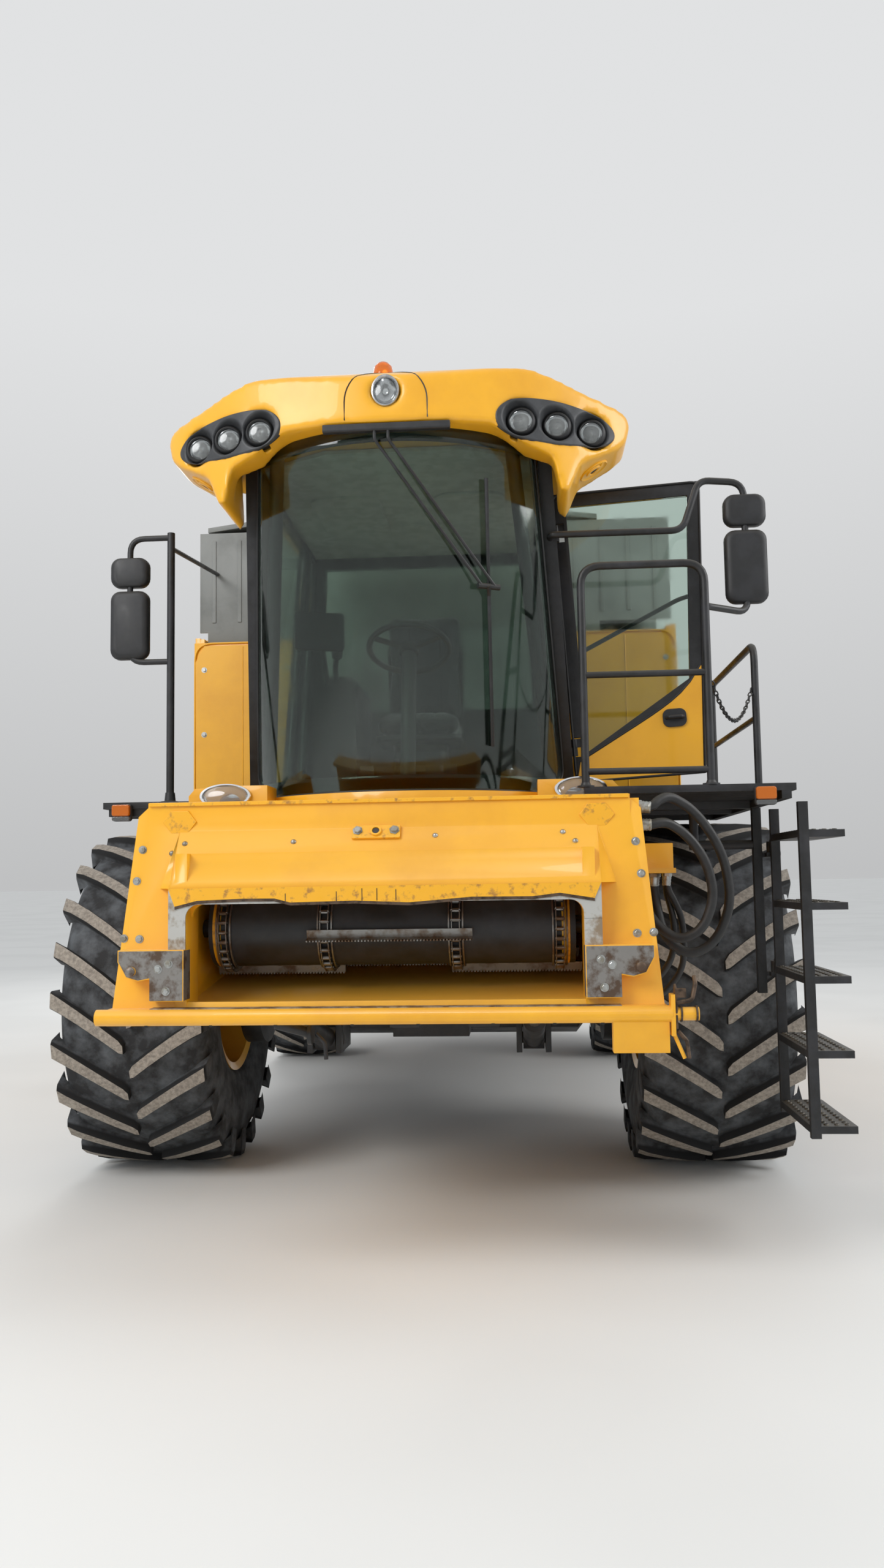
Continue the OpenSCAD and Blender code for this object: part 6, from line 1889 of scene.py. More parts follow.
@dataclass
class Door:
    """The cab door, which stands open at a right angle to the cab.

    Attributes:
        foot: Place of the left cab side's foot across the machine, and the floor's height.
        lean: Lean of the side in degrees.
        hinge: Place of the hinge line from the side's plane and from the front axle.
        front: Place of the door's front edge when it is shut.
        rear_low: Place of its rear edge at its foot.
        rear_top: Place of its rear edge at its top.
        low: Height of its foot.
        top: Height of its top.
    """

    foot: tuple[float, float] = (0.77, 1.93)
    lean: float = 3.5
    hinge: tuple[float, float] = (0.022, -1.13)
    front: float = -1.12
    rear_low: float = -0.55
    rear_top: float = -0.45
    low: float = 2.01
    top: float = 3.37

    def swung(self) -> Matrix:
        """Frame in which the shut door's pieces are drawn."""
        across, floor = self.foot
        leant = Matrix.Translation((across, 0, floor)) @ rotation(-self.lean, "Y")
        side = leant @ Matrix.Translation((0, 0, -floor))
        there = Matrix.Translation((self.hinge[0], self.hinge[1], 0))
        return side @ there @ rotation(-90, "Z") @ there.inverted()

    def rear(self, z: float) -> float:
        """Place of the rear edge at a height."""
        return self.rear_low + (z - self.low) / (self.top - self.low) * (self.rear_top - self.rear_low)

    def build(self) -> None:
        """Makes the yellow corner panel, the glass's border, the handle and the grab bar."""
        curve = []
        for i in range(13):
            t = i / 12
            y = self.front + 0.01 + (self.rear(2.5) - 0.01 - self.front) * t
            curve.append((y, self.low + 0.078 + 0.32 * t + 0.085 * t**8))
        outline = [(self.front - 0.012, self.low - 0.012), (self.rear_low + 0.008, self.low - 0.012),
                   (self.rear(2.46) + 0.012, self.low + 0.49), *curve[::-1]]
        panel = Shape().prism(outline, Axis.X, 0.0345, 0.005)
        panel.prism(outline, Axis.X, 0.0045, 0.004)
        panel.moved(self.swung()).put("door_corner_panel", YELLOW_ENAMEL, "door", "yellow_paint", edge=0.003)
        trim = Shape().sweep([(0.0375, y, z + 0.004) for y, z in curve], 0.0045, 8)
        edge = bent([(0.0375, self.front - 0.016, self.low + 0.02),
                     (0.0375, self.front - 0.016, self.top + 0.016),
                     (0.0375, self.rear_top + 0.016, self.top + 0.016),
                     (0.0375, self.rear_low + 0.016, self.low - 0.016),
                     (0.0375, self.front + 0.03, self.low - 0.016)], 0.04, 5)
        trim.sweep(edge, 0.006, 8)
        trim.moved(self.swung()).put("door_seal", HOSE_RUBBER, "door", "dark_paint")
        grip = Shape()
        grip.prism(rounded_rectangle(0.11, 0.085, 0.03, (self.rear(2.3) - 0.125, 2.26)), Axis.X, 0.04, 0.009)
        grip.sweep(bent([(0.047, self.rear(2.3) - 0.165, 2.262), (0.066, self.rear(2.3) - 0.15, 2.262),
                         (0.066, self.rear(2.3) - 0.095, 2.262), (0.047, self.rear(2.3) - 0.085, 2.262)],
                        0.012), 0.009, 10)
        grip.sweep(bent([(0.005, self.front + 0.05, 2.52), (-0.045, self.front + 0.05, 2.52),
                         (-0.045, self.front + 0.05, 2.62), (-0.045, self.rear(2.9) - 0.09, 2.84),
                         (0.005, self.rear(2.9) - 0.05, 2.84)], 0.05), 0.011, 12)
        grip.moved(self.swung()).put("door_handles", MOULDED_ABS, "door", "black_plastic")


@dataclass
class SeatAndControls:
    """The driver's seat and the controls beside the imported console and steering column.

    Attributes:
        floor_z: Height of the cab's floor.
        voxel: Size of the mesh that a cushion is blown up from.
        swell: Most that a point of a cushion may move.
        seam_x: Distance of a cushion's two sewn grooves from its middle.
        seam_w: Width of a groove.
    """

    floor_z: float = 1.93
    voxel: float = 0.006
    swell: float = 0.02
    seam_x: float = 0.085
    seam_w: float = 0.006

    def cushion(self, name: str, low: Point, high: Point, crown: int) -> bpy.types.Object:
        """A foam cushion under a sewn cover, blown up by a cloth simulation.

        Args:
            name: Name of the cushion.
            low: Lower corner of the room that it fills.
            high: Upper corner of that room.
            crown: Axis that it is crowned along, by number.

        Returns:
            The cushion.
        """
        inset, corner = 0.016, 0.038
        shape = Shape().box([a + inset for a in low], [b - inset for b in high])
        form = soften(shape.object(name, WOVEN_SEAT_CLOTH), corner, 4)
        skin = form.modifiers.new("even_mesh", "REMESH")
        skin.mode = "VOXEL"
        skin.voxel_size = self.voxel
        baked(form)
        rest = [v.co.copy() for v in form.data.vertices]
        cloth = form.modifiers.new("cover", "CLOTH")
        cloth.settings.use_pressure = True
        cloth.settings.uniform_pressure_force = 4.0
        cloth.settings.effector_weights.gravity = 0.0
        cloth.settings.quality = 4
        blown_frames = 15
        for frame in range(1, blown_frames + 1):
            bpy.context.scene.frame_set(frame)
        blown = form.evaluated_get(bpy.context.evaluated_depsgraph_get()).to_mesh()
        settled = []
        for start, vertex in zip(rest, blown.vertices):
            move = vertex.co - start
            settled.append(start + move.normalized() * min(move.length, self.swell)
                           if move.length > 0 else start)
        form.modifiers.clear()
        for vertex, place in zip(form.data.vertices, settled):
            vertex.co = place
        bpy.context.scene.frame_set(1)
        middle = [(a + b) / 2 for a, b in zip(low, high)]
        across = {1: 2, 2: 1}[crown]
        for vertex in form.data.vertices:
            place = (vertex.co.x, vertex.co.y - AXLE_Y, vertex.co.z)
            for line in (-self.seam_x, self.seam_x):
                groove = math.exp(-(((place[0] - line) / self.seam_w) ** 2))
                if abs(place[across] - middle[across]) < (high[across] - low[across]) * 0.42:
                    vertex.co[crown] -= 0.006 * groove * (1 if place[crown] > middle[crown] else -1)
        round_off = form.modifiers.new("finer", "SUBSURF")
        round_off.levels = round_off.render_levels = 1
        form.data.materials.clear()
        form.data.materials.append(WOVEN_SEAT_CLOTH.material())
        form.data.shade_smooth()
        return form

    def seat(self) -> None:
        """Cushions, shell and bellows of the seat."""
        z = self.floor_z
        sit = self.cushion("seat_cushion", (-0.228, -0.778, z + 0.352), (0.228, -0.332, z + 0.478), 2)
        back = self.cushion("seat_back_cushion", (-0.218, -0.329, z + 0.49), (0.218, -0.21, z + 1.095), 1)
        finished(sit, "machine", "seat_cloth", "seat")
        finished(back, "machine", "seat_cloth")
        shell = Shape()
        shell.prism([(-0.205, z + 0.47), (0.205, z + 0.47), (0.215, z + 0.9), (0.18, z + 1.06),
                     (-0.18, z + 1.06), (-0.215, z + 0.9)], Axis.Y, -0.222, 0.02)
        shell.prism([(u, v - 0.555) for u, v in rounded_rectangle(0.44, 0.43, 0.06)], Axis.Z, z + 0.33, 0.03)
        shell.put("seat_shell", MOULDED_ABS, "machine", "black_plastic", edge=0.008, steps=3)
        folds = [(z + 0.03 + 0.036 * i, 0.0 if i % 2 else 0.014) for i in range(9)]
        fold = rounded_rectangle(0.27, 0.29, 0.05)
        rings = [[(u * (1 + g * 5), v * (1 + g * 4) - 0.54, h) for u, v in fold] for h, g in folds]
        Shape().loft(rings).put("seat_bellows", HOSE_RUBBER, "machine", "black_plastic", angle=25)

    def controls(self) -> None:
        """Armrest, lever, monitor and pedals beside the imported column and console."""
        z = self.floor_z
        rest = Shape().prism(rounded_rectangle(0.15, 0.40, 0.05, (-0.41, -0.60)), Axis.Z, z + 0.621, 0.045)
        rest.put("armrest_pad", MOULDED_ABS, "machine", "black_plastic", edge=0.014, steps=4)
        lever = Shape().sweep(bent([(-0.41, -0.83, z + 0.62), (-0.41, -0.85, z + 0.70),
                                    (-0.40, -0.87, z + 0.76)], 0.03), 0.014, 12)
        lever.lathe([(0, 0.012), (0.01, 0.026), (0.05, 0.03), (0.085, 0.024), (0.1, 0.01), (0.102, 0.0)],
                    (-0.40, -0.86, z + 0.74), (0.05, -0.25, 1), 20, False)
        for x in (-0.18, 0.12, 0.2):
            lever.prism([(x - 0.035, z + 0.02), (x + 0.035, z + 0.02), (x + 0.03, z + 0.14),
                         (x - 0.03, z + 0.14)], Axis.Y, -1.40, 0.012)
        lever.put("lever_and_pedals", MOULDED_ABS, "machine", "black_plastic", angle=30)
        tilt = Matrix.Translation((-0.47, -0.98, z + 0.86)) @ rotation(18, "Z")
        case = Shape().prism(rounded_rectangle(0.25, 0.19, 0.018), Axis.Y, -0.02, 0.035).moved(tilt)
        case.sweep([(-0.46, -0.96, z + 0.80), (-0.44, -0.90, z + 0.60)], 0.014, 10)
        case.put("monitor_case", MOULDED_ABS, "machine", "black_plastic", edge=0.004)
        face = Shape().prism(rounded_rectangle(0.22, 0.155, 0.008), Axis.Y, 0.0148, 0.001).moved(tilt)
        finished(face.object("monitor_face", PRINTED_GLASS_BORDER), "machine", "black_plastic")

    def build(self) -> None:
        """Makes the seat and the controls."""
        self.seat()
        self.controls()


# Platform, rails, ladder and mirrors


@dataclass
class AccessWays:
    """Handrails, tread plate, chain and ladder treads.

    Attributes:
        floor_z: Height of the cab's floor.
        front_y: Front edge of the platform.
        outer_x: Outer edge of the platform.
        tube: Radius of the handrail tube.
    """

    floor_z: float = 1.93
    front_y: float = -1.76
    outer_x: float = 1.65
    tube: float = 0.017

    def rails(self) -> None:
        """Bent handrails with their cross bars and welded feet."""
        z0, x0, y = self.floor_z - 0.006, 0.79, self.front_y + 0.03
        shape = Shape()
        shape.sweep(bent([(x0, y, z0), (x0, y, 2.87), (1.31, y, 2.87), (1.31, y, z0)], 0.085), self.tube, 16)
        for z in (1.99, 2.40):
            shape.sweep([(x0, y, z), (1.31, y, z)], self.tube - 0.003, 14)
        x = self.outer_x - 0.025
        shape.sweep(bent([(x, -1.15, z0), (x, -1.15, 2.63), (x, 0.02, 2.63), (x, 0.02, z0)],
                         0.085), self.tube, 16)
        shape.sweep([(x, -1.15, 2.28), (x, 0.02, 2.28)], self.tube - 0.003, 14)
        for px, py in ((x0, y), (1.31, y), (x, -1.15), (x, 0.02)):
            shape.lathe([(0.0004, 0.0), (0.0004, 0.036), (0.007, 0.036), (0.009, 0.022), (0.02, 0.018),
                         (0.02, 0.0)], (px, min(py, 0.012), z0), (0, 0, 1), 24, False)
        shape.put("bent_handrails", BLACK_POWDER_COAT, "machine", "dark_paint", "handrails")

    def tread(self) -> None:
        """Raised lozenges on the platform and the ledge, by Geometry Nodes."""
        parts = []
        pitch = 0.042
        for low_x, high_x, low_y, high_y in ((0.96, 1.64, -1.75, -1.43), (0.79, 1.64, -1.41, 0.04),
                                              (-1.39, -0.78, -1.41, -1.18)):
            for flip in (0, 1):
                lozenge = Shape().faces([(-0.013, 0, 0), (0, -0.0035, 0), (0.013, 0, 0), (0, 0.0035, 0),
                                         (-0.006, 0, 0.0016), (0.006, 0, 0.0016)],
                                        [(0, 1, 5, 4), (1, 2, 5), (2, 3, 4, 5), (3, 0, 4), (3, 2, 1, 0)])
                lozenge.moved(rotation(45 if flip else -45, "Z"))
                piece = lozenge.object("lozenge", TREAD_STEEL, in_place=False)
                row = repeated(piece, row_tree(),
                               {"Count": int((high_x - low_x - 0.03) / pitch), "Step": (pitch, 0.0, 0.0)})
                field_of_rows = repeated(row, row_tree(), {"Count": int((high_y - low_y - 0.03) / pitch),
                                                           "Step": (0.0, pitch, 0.0)})
                parts.append(placed(field_of_rows,
                                    (low_x + 0.02 + flip * pitch / 2, low_y + 0.02 + flip * pitch / 2,
                                     self.floor_z - 0.0061)))
        finished(joined("tread_lozenges", parts), "machine", "dark_paint")

    def chain(self) -> None:
        """The safety chain between the two rails, hung in its own sag."""
        sag = 0.16
        start, end = Vector((1.327, self.front_y + 0.03, 2.36)), Vector((1.608, -1.15, 2.42))
        count = 30
        shape = Shape()
        for i in range(count):
            t = (i + 0.5) / count
            middle = start.lerp(end, t) - Vector((0, 0, sag * 4 * t * (1 - t)))
            slope = (end - start) - Vector((0, 0, sag * 4 * (1 - 2 * t)))
            facing = slope.to_track_quat("Y", "Z").to_matrix().to_4x4()
            turn = facing @ rotation(90 * (i % 2), "Y")
            ring = [(0.008 * math.cos(a), 0.016 * math.sin(a), 0) for a in turns(12)]
            link = Shape().sweep(ring, 0.0032, 6, closed=True).moved(Matrix.Translation(middle) @ turn)
            shape.add(link)
        shape.put("safety_chain", BLACK_POWDER_COAT, "machine", "dark_paint")

    def steps(self) -> None:
        """Punched treads with upturned teeth on the ladder."""
        shape = Shape()
        x0, y0 = 1.66, -1.73
        lowest, rise, across, along = 0.53, 0.3, 0.042, 0.045
        for i in range(5):
            z = lowest + rise * i
            for row in range(4):
                for k in range(12):
                    x, y = x0 + 0.025 + row * across, y0 + 0.03 + k * along
                    shape.lathe([(0, 0.012), (0.0045, 0.0085), (0.0045, 0.0065), (0, 0.006)],
                                (x, y, z), (0, 0, 1), 10)
        shape.put("ladder_tread_teeth", TREAD_STEEL, "ladder", "dark_paint", angle=30)

    def build(self) -> None:
        """Makes the ways up to the cab."""
        self.rails()
        self.tread()
        self.chain()
        self.steps()


@dataclass
class Mirrors:
    """Mirror arms and heads on both sides.

    Attributes:
        left: Place of the left heads' foot.
        right: Place of the right heads' foot.
    """

    left: tuple[float, float, float] = (1.535, -1.5, 2.74)
    right: tuple[float, float, float] = (-1.326, -1.29, 2.612)

    def head(self, foot: Point, low: float, high: float) -> tuple[Shape, Shape]:
        """One head with its glass, which faces back.

        Args:
            foot: Place of the heads' foot.
            low: Height of this head's lower edge over the foot.
            high: Height of its upper edge over the foot.

        Returns:
            The housing and the glass.
        """
        middle_z = foot[2] + (low + high) / 2
        sections = [(-0.0248, 0.70), (-0.021, 0.86), (-0.012, 0.97), (0.0, 1.0), (0.018, 1.0),
                    (0.0248, 0.97), (0.0248, 0.9)]
        rings = [[(foot[0] + u * s, foot[1] + y, middle_z + v * (1 - (1 - s) * 0.5))
                  for u, v in rounded_rectangle(0.186, high - low - 0.004, 0.045)] for y, s in sections]
        glass = [(foot[0] + u, middle_z + v) for u, v in rounded_rectangle(0.162, high - low - 0.028, 0.036)]
        return Shape().loft(rings), Shape().prism(glass, Axis.Y, foot[1] + 0.0246, 0.001)

    def build(self) -> None:
        """Makes the arms, the pole, the brace and the heads."""
        x, y, _ = self.left
        arms = Shape()
        arms.sweep(bent([(0.672, -1.523, 3.06), (0.671, -1.575, 3.06), (1.25, -1.575, 3.06),
                         (1.33, -1.55, 3.29), (x, y, 3.29), (x, y, 2.70), (1.33, -1.65, 2.70),
                         (1.31, -1.712, 2.70)], 0.07), 0.015, 14)
        px, py = -1.127, -1.29
        arms.sweep([(px, py, 1.9245), (px, py, 3.13), (px, py, 3.222)], 0.018, 14)
        rx = self.right[0]
        arms.sweep(bent([(px, py, 3.20), (rx, py, 3.20), (rx, py, 2.60), (px, py, 2.60)], 0.07), 0.014, 14)
        arms.sweep([(px, py, 3.15), (-1.3405, 0.329, 3.468)], 0.012, 12)
        arms.lathe([(0, 0), (0, 0.045), (0.008, 0.045), (0.012, 0.026), (0.05, 0.022), (0.05, 0)],
                   (px, py, 1.9245), (0, 0, 1), 28, False)
        for foot in (self.left, self.right):
            for z in (0.10, 0.30, 0.42):
                arms.lathe([(-0.018, 0.015), (-0.018, 0.021), (0.018, 0.021), (0.018, 0.015)],
                           (foot[0], foot[1], foot[2] + z), (0, 0, 1), 20)
        arms.put("mirror_arms", BLACK_POWDER_COAT, "machine", "dark_paint", "mirrors")
        cases, panes = [], []
        for foot in (self.left, self.right):
            for low, high in ((0.0, 0.335), (0.348, 0.496)):
                case, pane = self.head(foot, low, high)
                cases.append(smooth(case.object("case", MOULDED_ABS), 50))
                panes.append(pane.object("pane", SILVERED_GLASS))
        finished(joined("mirror_housings", cases), "machine", "black_plastic")
        finished(joined("mirror_panes", panes), "machine", "bare_steel")


# Body, tank and rear


@dataclass
class BodySides:
    """Pressings, handles and louvres of the side panels and the fronts beside the cab.

    Attributes:
        outer: Outer face of the side panels from the machine's middle.
        wall: Outer face of the body's walls, which the pulleys stand on.
        front: Front face of the fronts beside the cab.
    """

    outer: float = 1.485
    wall: float = 0.825
    front: float = 0.2475

    def panels(self) -> None:
        """Raised pressings, louvres and handles on both side panels."""
        for side, body in ((1, "side_panel_left"), (-1, "side_panel_right")):
            frames = Shape()
            for y0, y1, z0, z1 in ((0.42, 1.58, 2.08, 2.96), (1.72, 3.04, 2.08, 2.96),
                                   (1.30, 2.86, 1.26, 1.96)):
                middle = (y0 + (y1 - y0) / 2, z0 + (z1 - z0) / 2)
                ring = rounded_rectangle(y1 - y0, z1 - z0, 0.09, middle, 7)
                frames.sweep([(side * (self.outer - 0.001), y, z) for y, z in ring], 0.0062, 8, closed=True)
            frames.put(body + "_pressings", YELLOW_ENAMEL, body, "yellow_paint")
            louvre = Shape().prism([(0.0, 0.0), (0.013, -0.004), (0.014, -0.012), (0.0, -0.026)],
                                   Axis.Y, 0.0, 0.86)
            if side < 0:
                louvre.moved(Matrix.Diagonal((-1, 1, 1, 1)))
            blades = repeated(louvre.object(body + "_louvres", YELLOW_ENAMEL, in_place=False), row_tree(),
                              {"Count": 12, "Step": (0.0, 0.0, -0.044)})
            finished(placed(blades, (side * self.outer, 1.94, 2.82)), body, "yellow_paint")
            grips = Shape()
            for y in (1.55, 2.55):
                grips.prism(rounded_rectangle(0.13, 0.05, 0.02, (y, 1.215)), Axis.X,
                            side * self.outer - 0.001, side * 0.009)
                grips.sweep(bent([(side * 1.49, y - 0.05, 1.215), (side * 1.512, y - 0.045, 1.215),
                                  (side * 1.512, y + 0.045, 1.215), (side * 1.49, y + 0.05, 1.215)],
                                 0.015), 0.007, 10)
            grips.put(body + "_handles", MOULDED_ABS, body, "black_plastic")

    def fronts(self) -> None:
        """Rounded outer corners, seams and bolts of the yellow fronts beside the cab."""
        shape = Shape()
        for side in (-1, 1):
            edge = bent([(side * 1.46, 0.254, 1.955), (side * 1.46, 0.254, 3.016),
                         (side * 0.83, 0.254, 3.016)], 0.11, 8)
            shape.sweep(edge, 0.0058, 10)
            shape.prism([(side * 1.45, 1.955), (side * 1.455, 2.9), (side * 1.40, 3.0), (side * 0.84, 3.0),
                         (side * 0.84, 1.955)], Axis.Y, self.front, 0.0125)
            shape.sweep([(side * 1.16, 0.2478, 1.97), (side * 1.16, 0.2478, 2.99)], 0.0035, 8)
        shape.put("front_panel_skins", YELLOW_ENAMEL, "machine", "yellow_paint", edge=0.004)
        places = [(s * x, self.front, z) for s in (-1, 1) for x in (0.9, 1.40) for z in (2.05, 2.45, 2.85)]
        bolted("front_panel_bolts", places, Axis.Y, 0.024, -0.008, "machine")

    def belts(self) -> None:
        """Drive belts round the pulleys on both sides of the body."""
        runs = [((0.76, 1.18, 0.28), (1.42, 1.56, 0.19), 0.045),
                ((1.42, 1.56, 0.19), (2.45, 1.85, 0.32), 0.075),
                ((2.05, 1.18, 0.15), (3.0, 1.5, 0.13), 0.045)]
        shape, grooves = Shape(), Shape()
        for side in (-1, 1):
            for (y0, z0, r0), (y1, z1, r1), reach in runs:
                middle = side * (self.wall + min(reach, 0.055) - 0.018)
                a, b = Vector((y0, z0)), Vector((y1, z1))
                way = (b - a).normalized()
                turn = math.atan2(way.y, way.x)
                slant = math.asin((r0 - r1) / (b - a).length)
                near = (y0, z0, r0 + 0.006, turn + math.pi / 2 - slant, math.pi + 2 * slant)
                far = (y1, z1, r1 + 0.006, turn - math.pi / 2 + slant, math.pi - 2 * slant)
                points = []
                for y, z, r, start, wrap in (near, far):
                    for t in (start + wrap * i / 24 for i in range(25)):
                        points.append((middle, y + r * math.cos(t), z + r * math.sin(t)))
                shape.sweep(points, 0.0115, 8, closed=True)
        for y, z, r, reach in ((0.76, 1.18, 0.28, 0.06), (1.42, 1.56, 0.19, 0.09), (2.05, 1.18, 0.15, 0.06),
                               (2.45, 1.85, 0.32, 0.06), (3.0, 1.5, 0.13, 0.09)):
            for side in (-1, 1):
                x = side * (self.wall + reach)
                grooves.lathe([(-0.004, r * 0.62), (0.004, r * 0.66), (0.004, r * 0.92), (-0.004, r * 0.96)],
                              (x, y, z), (1, 0, 0), 40)
        shape.put("drive_belts", HOSE_RUBBER, "machine", "hose_rubber")
        grooves.put("pulley_rims", YELLOW_ENAMEL, "machine", "yellow_paint", angle=30)

    def build(self) -> None:
        """Makes the sides' pressings and what moves behind them."""
        self.panels()
        self.fronts()
        self.belts()


@dataclass
class TankAndAuger:
    """Ribs of the grain tank, flanges of the auger tube and the rubber spout.

    Attributes:
        tube: Middle of the auger tube across the machine and its height.
        elbow_y: Place of the elbow that the auger turns on.
    """

    tube: tuple[float, float] = (1.24, 3.4)
    elbow_y: float = 0.70

    def tank_ribs(self) -> None:
        """Pressed ribs on the tank's grey sheets."""
        shape = Shape()
        for x in (-1.36, -1.20, -1.04, -0.88, 0.88, 1.04, 1.20, 1.36):
            shape.prism([(x - 0.012, 3.16), (x + 0.012, 3.16), (x + 0.012, 3.68), (x - 0.012, 3.68)],
                        Axis.Y, 0.324, 0.007)
        shape.put("tank_front_ribs", GREY_ENAMEL, "machine", "grey_paint", edge=0.003)
        side = Shape()
        for y in (0.62, 1.10, 1.58, 2.06, 2.50):
            side.box((1.019, y - 0.02, 3.10), (1.028, y + 0.02, 3.68))
            side.box((-1.408, y - 0.02, 3.10), (-1.399, y + 0.02, 3.68))
        side.put("tank_side_ribs", GREY_ENAMEL, "machine", "grey_paint", edge=0.003)

    def auger(self) -> None:
        """Bolted flanges, the elbow's rings and the ribbed spout."""
        rings, bolts = Shape(), []
        x, z = self.tube
        circle = 0.177
        for y in (0.90, 2.55, 4.20, 5.66):
            rings.lathe([(-0.012, 0.16), (-0.012, 0.188), (-0.001, 0.188), (-0.001, 0.186), (0.001, 0.186),
                         (0.001, 0.188), (0.012, 0.188), (0.012, 0.16)], (x, y, z), (0, 1, 0), 56)
            bolts += [(x + circle * math.cos(t), y - 0.012, z + circle * math.sin(t)) for t in turns(10)]
        rings.lathe([(0, 0.165), (0, 0.19), (0.014, 0.19), (0.014, 0.165)],
                    (x, self.elbow_y, 3.195), (0, 0, 1), 56)
        rings.lathe([(0.0, 0.0), (0.0, 0.178), (0.006, 0.176), (0.014, 0.15), (0.018, 0.0)],
                    (x, self.elbow_y, 3.579), (0, 0, 1), 56, False)
        rings.lathe([(0.0, 0.0), (0.0, 0.168), (0.008, 0.162), (0.012, 0.0)], (x, 5.779, z),
                    (0, 1, 0), 56, False)
        rings.put("auger_flanges", YELLOW_ENAMEL, "unloading_auger", "yellow_paint", angle=30)
        bolted("auger_flange_bolts", bolts, Axis.Y, 0.018, -0.008, "unloading_auger")
        rows = []
        for i in range(13):
            t = i / 12
            half_x = 0.139 - 0.004 * (i % 2) - 0.012 * t
            half_y = 0.149 - 0.004 * (i % 2) - 0.012 * t
            rows.append([(x + u, 5.61 + v, 3.2345 - 0.2385 * t)
                         for u, v in rounded_rectangle(2 * half_x, 2 * half_y, 0.05)])
        spout = Shape().loft(rows)
        spout.put("ribbed_spout", TYRE_RUBBER, "unloading_auger", "tyre_rubber", "auger_spout", angle=25)

    def build(self) -> None:
        """Makes the tank's and the auger's details."""
        self.tank_ribs()
        self.auger()


@dataclass
class RearEnd:
    """Grilles, exhaust, the rotary screen's mesh, creases and the chopper's fixings."""

    def grilles(self) -> None:
        """Slots on top of the engine hood and along its left side, by Geometry Nodes."""
        blade = Shape().prism([(0.0, 0.0), (0.03, 0.012), (0.034, 0.008), (0.006, -0.004)], Axis.X, -0.9, 1.5)
        top = repeated(blade.object("hood_top_slots", YELLOW_ENAMEL, in_place=False), row_tree(),
                       {"Count": 14, "Step": (0.0, 0.055, 0.0)})
        finished(placed(top, (0.1, 3.0, 3.468)), "machine", "yellow_paint")
        side = Shape().prism([(0.0, 0.0), (0.012, -0.004), (0.013, -0.012), (0.0, -0.024)], Axis.Y, 0.0, 1.2)
        left = repeated(side.object("hood_side_louvres", YELLOW_ENAMEL, in_place=False), row_tree(),
                        {"Count": 6, "Step": (0.0, 0.0, -0.044)})
        finished(placed(left, (0.999, 3.1, 3.34)), "machine", "yellow_paint")

    def exhaust(self) -> None:
        """Heat shield and open end of the exhaust stack."""
        x, y, z = -1.15, 4.25, 3.47
        pipe = Shape().lathe([(0.0, 0.0795), (0.0, 0.098), (0.01, 0.098), (0.012, 0.0815),
                              (0.385, 0.0815), (0.399, 0.079), (0.399, 0.068), (0.2, 0.066),
                              (0.2, 0.0)], (x, y, z), (0, 0, 1), 40, False)
        pipe.put("exhaust_stack", HEATED_STEEL, "machine", "bare_steel")

    def screen(self) -> None:
        """Perforated face, rim and spokes of the rotary air screen."""
        x, y, z = -1.5598, 3.9, 2.56
        rim = Shape().lathe([(0, 0.40), (0, 0.45), (0, 0.4498), (0.084, 0.4498), (0.084, 0.446),
                             (0.006, 0.444), (0.006, 0.40)], (x, y, z), (1, 0, 0), 72)
        for t in turns(6):
            rim.sweep([(x + 0.002, y + 0.05 * math.cos(t), z + 0.05 * math.sin(t)),
                       (x + 0.002, y + 0.42 * math.cos(t), z + 0.42 * math.sin(t))], 0.006, 8)
        rim.lathe([(0.0, 0.0), (0.0, 0.05), (0.01, 0.056), (0.012, 0.0)], (x, y, z), (1, 0, 0), 32, False)
        rim.put("rotary_screen_rim", BLACK_POWDER_COAT, "rotary_screen", "dark_paint")
        wires = Shape()
        for k in range(-19, 20):
            across = k * 0.021
            half = math.sqrt(max(0.41**2 - across**2, 0.0))
            wires.sweep([(x + 0.0045, y + across, z - half), (x + 0.0045, y + across, z + half)], 0.0022, 5)
            wires.sweep([(x + 0.003, y - half, z + across), (x + 0.003, y + half, z + across)], 0.0022, 5)
        wires.put("rotary_screen_wires", ZINC_PLATED_STEEL, "rotary_screen", "bare_steel")

    def hood(self) -> None:
        """Creases, seams and fixings of the rear hood, and the chopper's bolts."""
        creases = Shape()
        for side in (-1, 1):
            x = side * 1.441
            for path in ([(x, 3.24, 2.02), (x, 5.30, 2.02), (x, 5.72, 2.30)],
                         [(x, 3.24, 1.72), (x, 5.62, 1.72), (x, 5.92, 1.9)],
                         [(x, 4.72, 2.16), (x, 4.72, 2.96)]):
                creases.sweep(bent(path, 0.12), 0.0075, 8)
        for z, y in ((2.35, 5.935), (1.62, 6.03)):
            creases.sweep([(-1.35, y, z), (1.35, y, z)], 0.007, 8)
        creases.put("rear_hood_creases", YELLOW_ENAMEL, "machine", "yellow_paint")
        places = [(s * 1.4405, y, z) for s in (-1, 1) for y in (3.3, 3.9, 4.5, 5.1) for z in (1.56, 2.95)]
        left = [p for p in places if p[0] > 0]
        right = [p for p in places if p[0] < 0]
        heads = joined("rear_hood_bolts", [bolt_heads("left", left, Axis.X, 0.026, 0.008, ZINC_PLATED_STEEL),
                                           bolt_heads("right", right, Axis.X, 0.026, -0.008,
                                                      ZINC_PLATED_STEEL)])
        finished(heads, "machine", "bare_steel")
        tips = [(x, 5.6995, 1.62) for x in (-0.72, -0.48, -0.24, 0.0, 0.24, 0.48, 0.72)]
        bolted("chopper_bolts", tips, Axis.Y, 0.026, 0.01, "machine")

    def build(self) -> None:
        """Makes what shows from behind."""
        self.grilles()
        self.exhaust()
        self.screen()
        self.hood()


# Stage


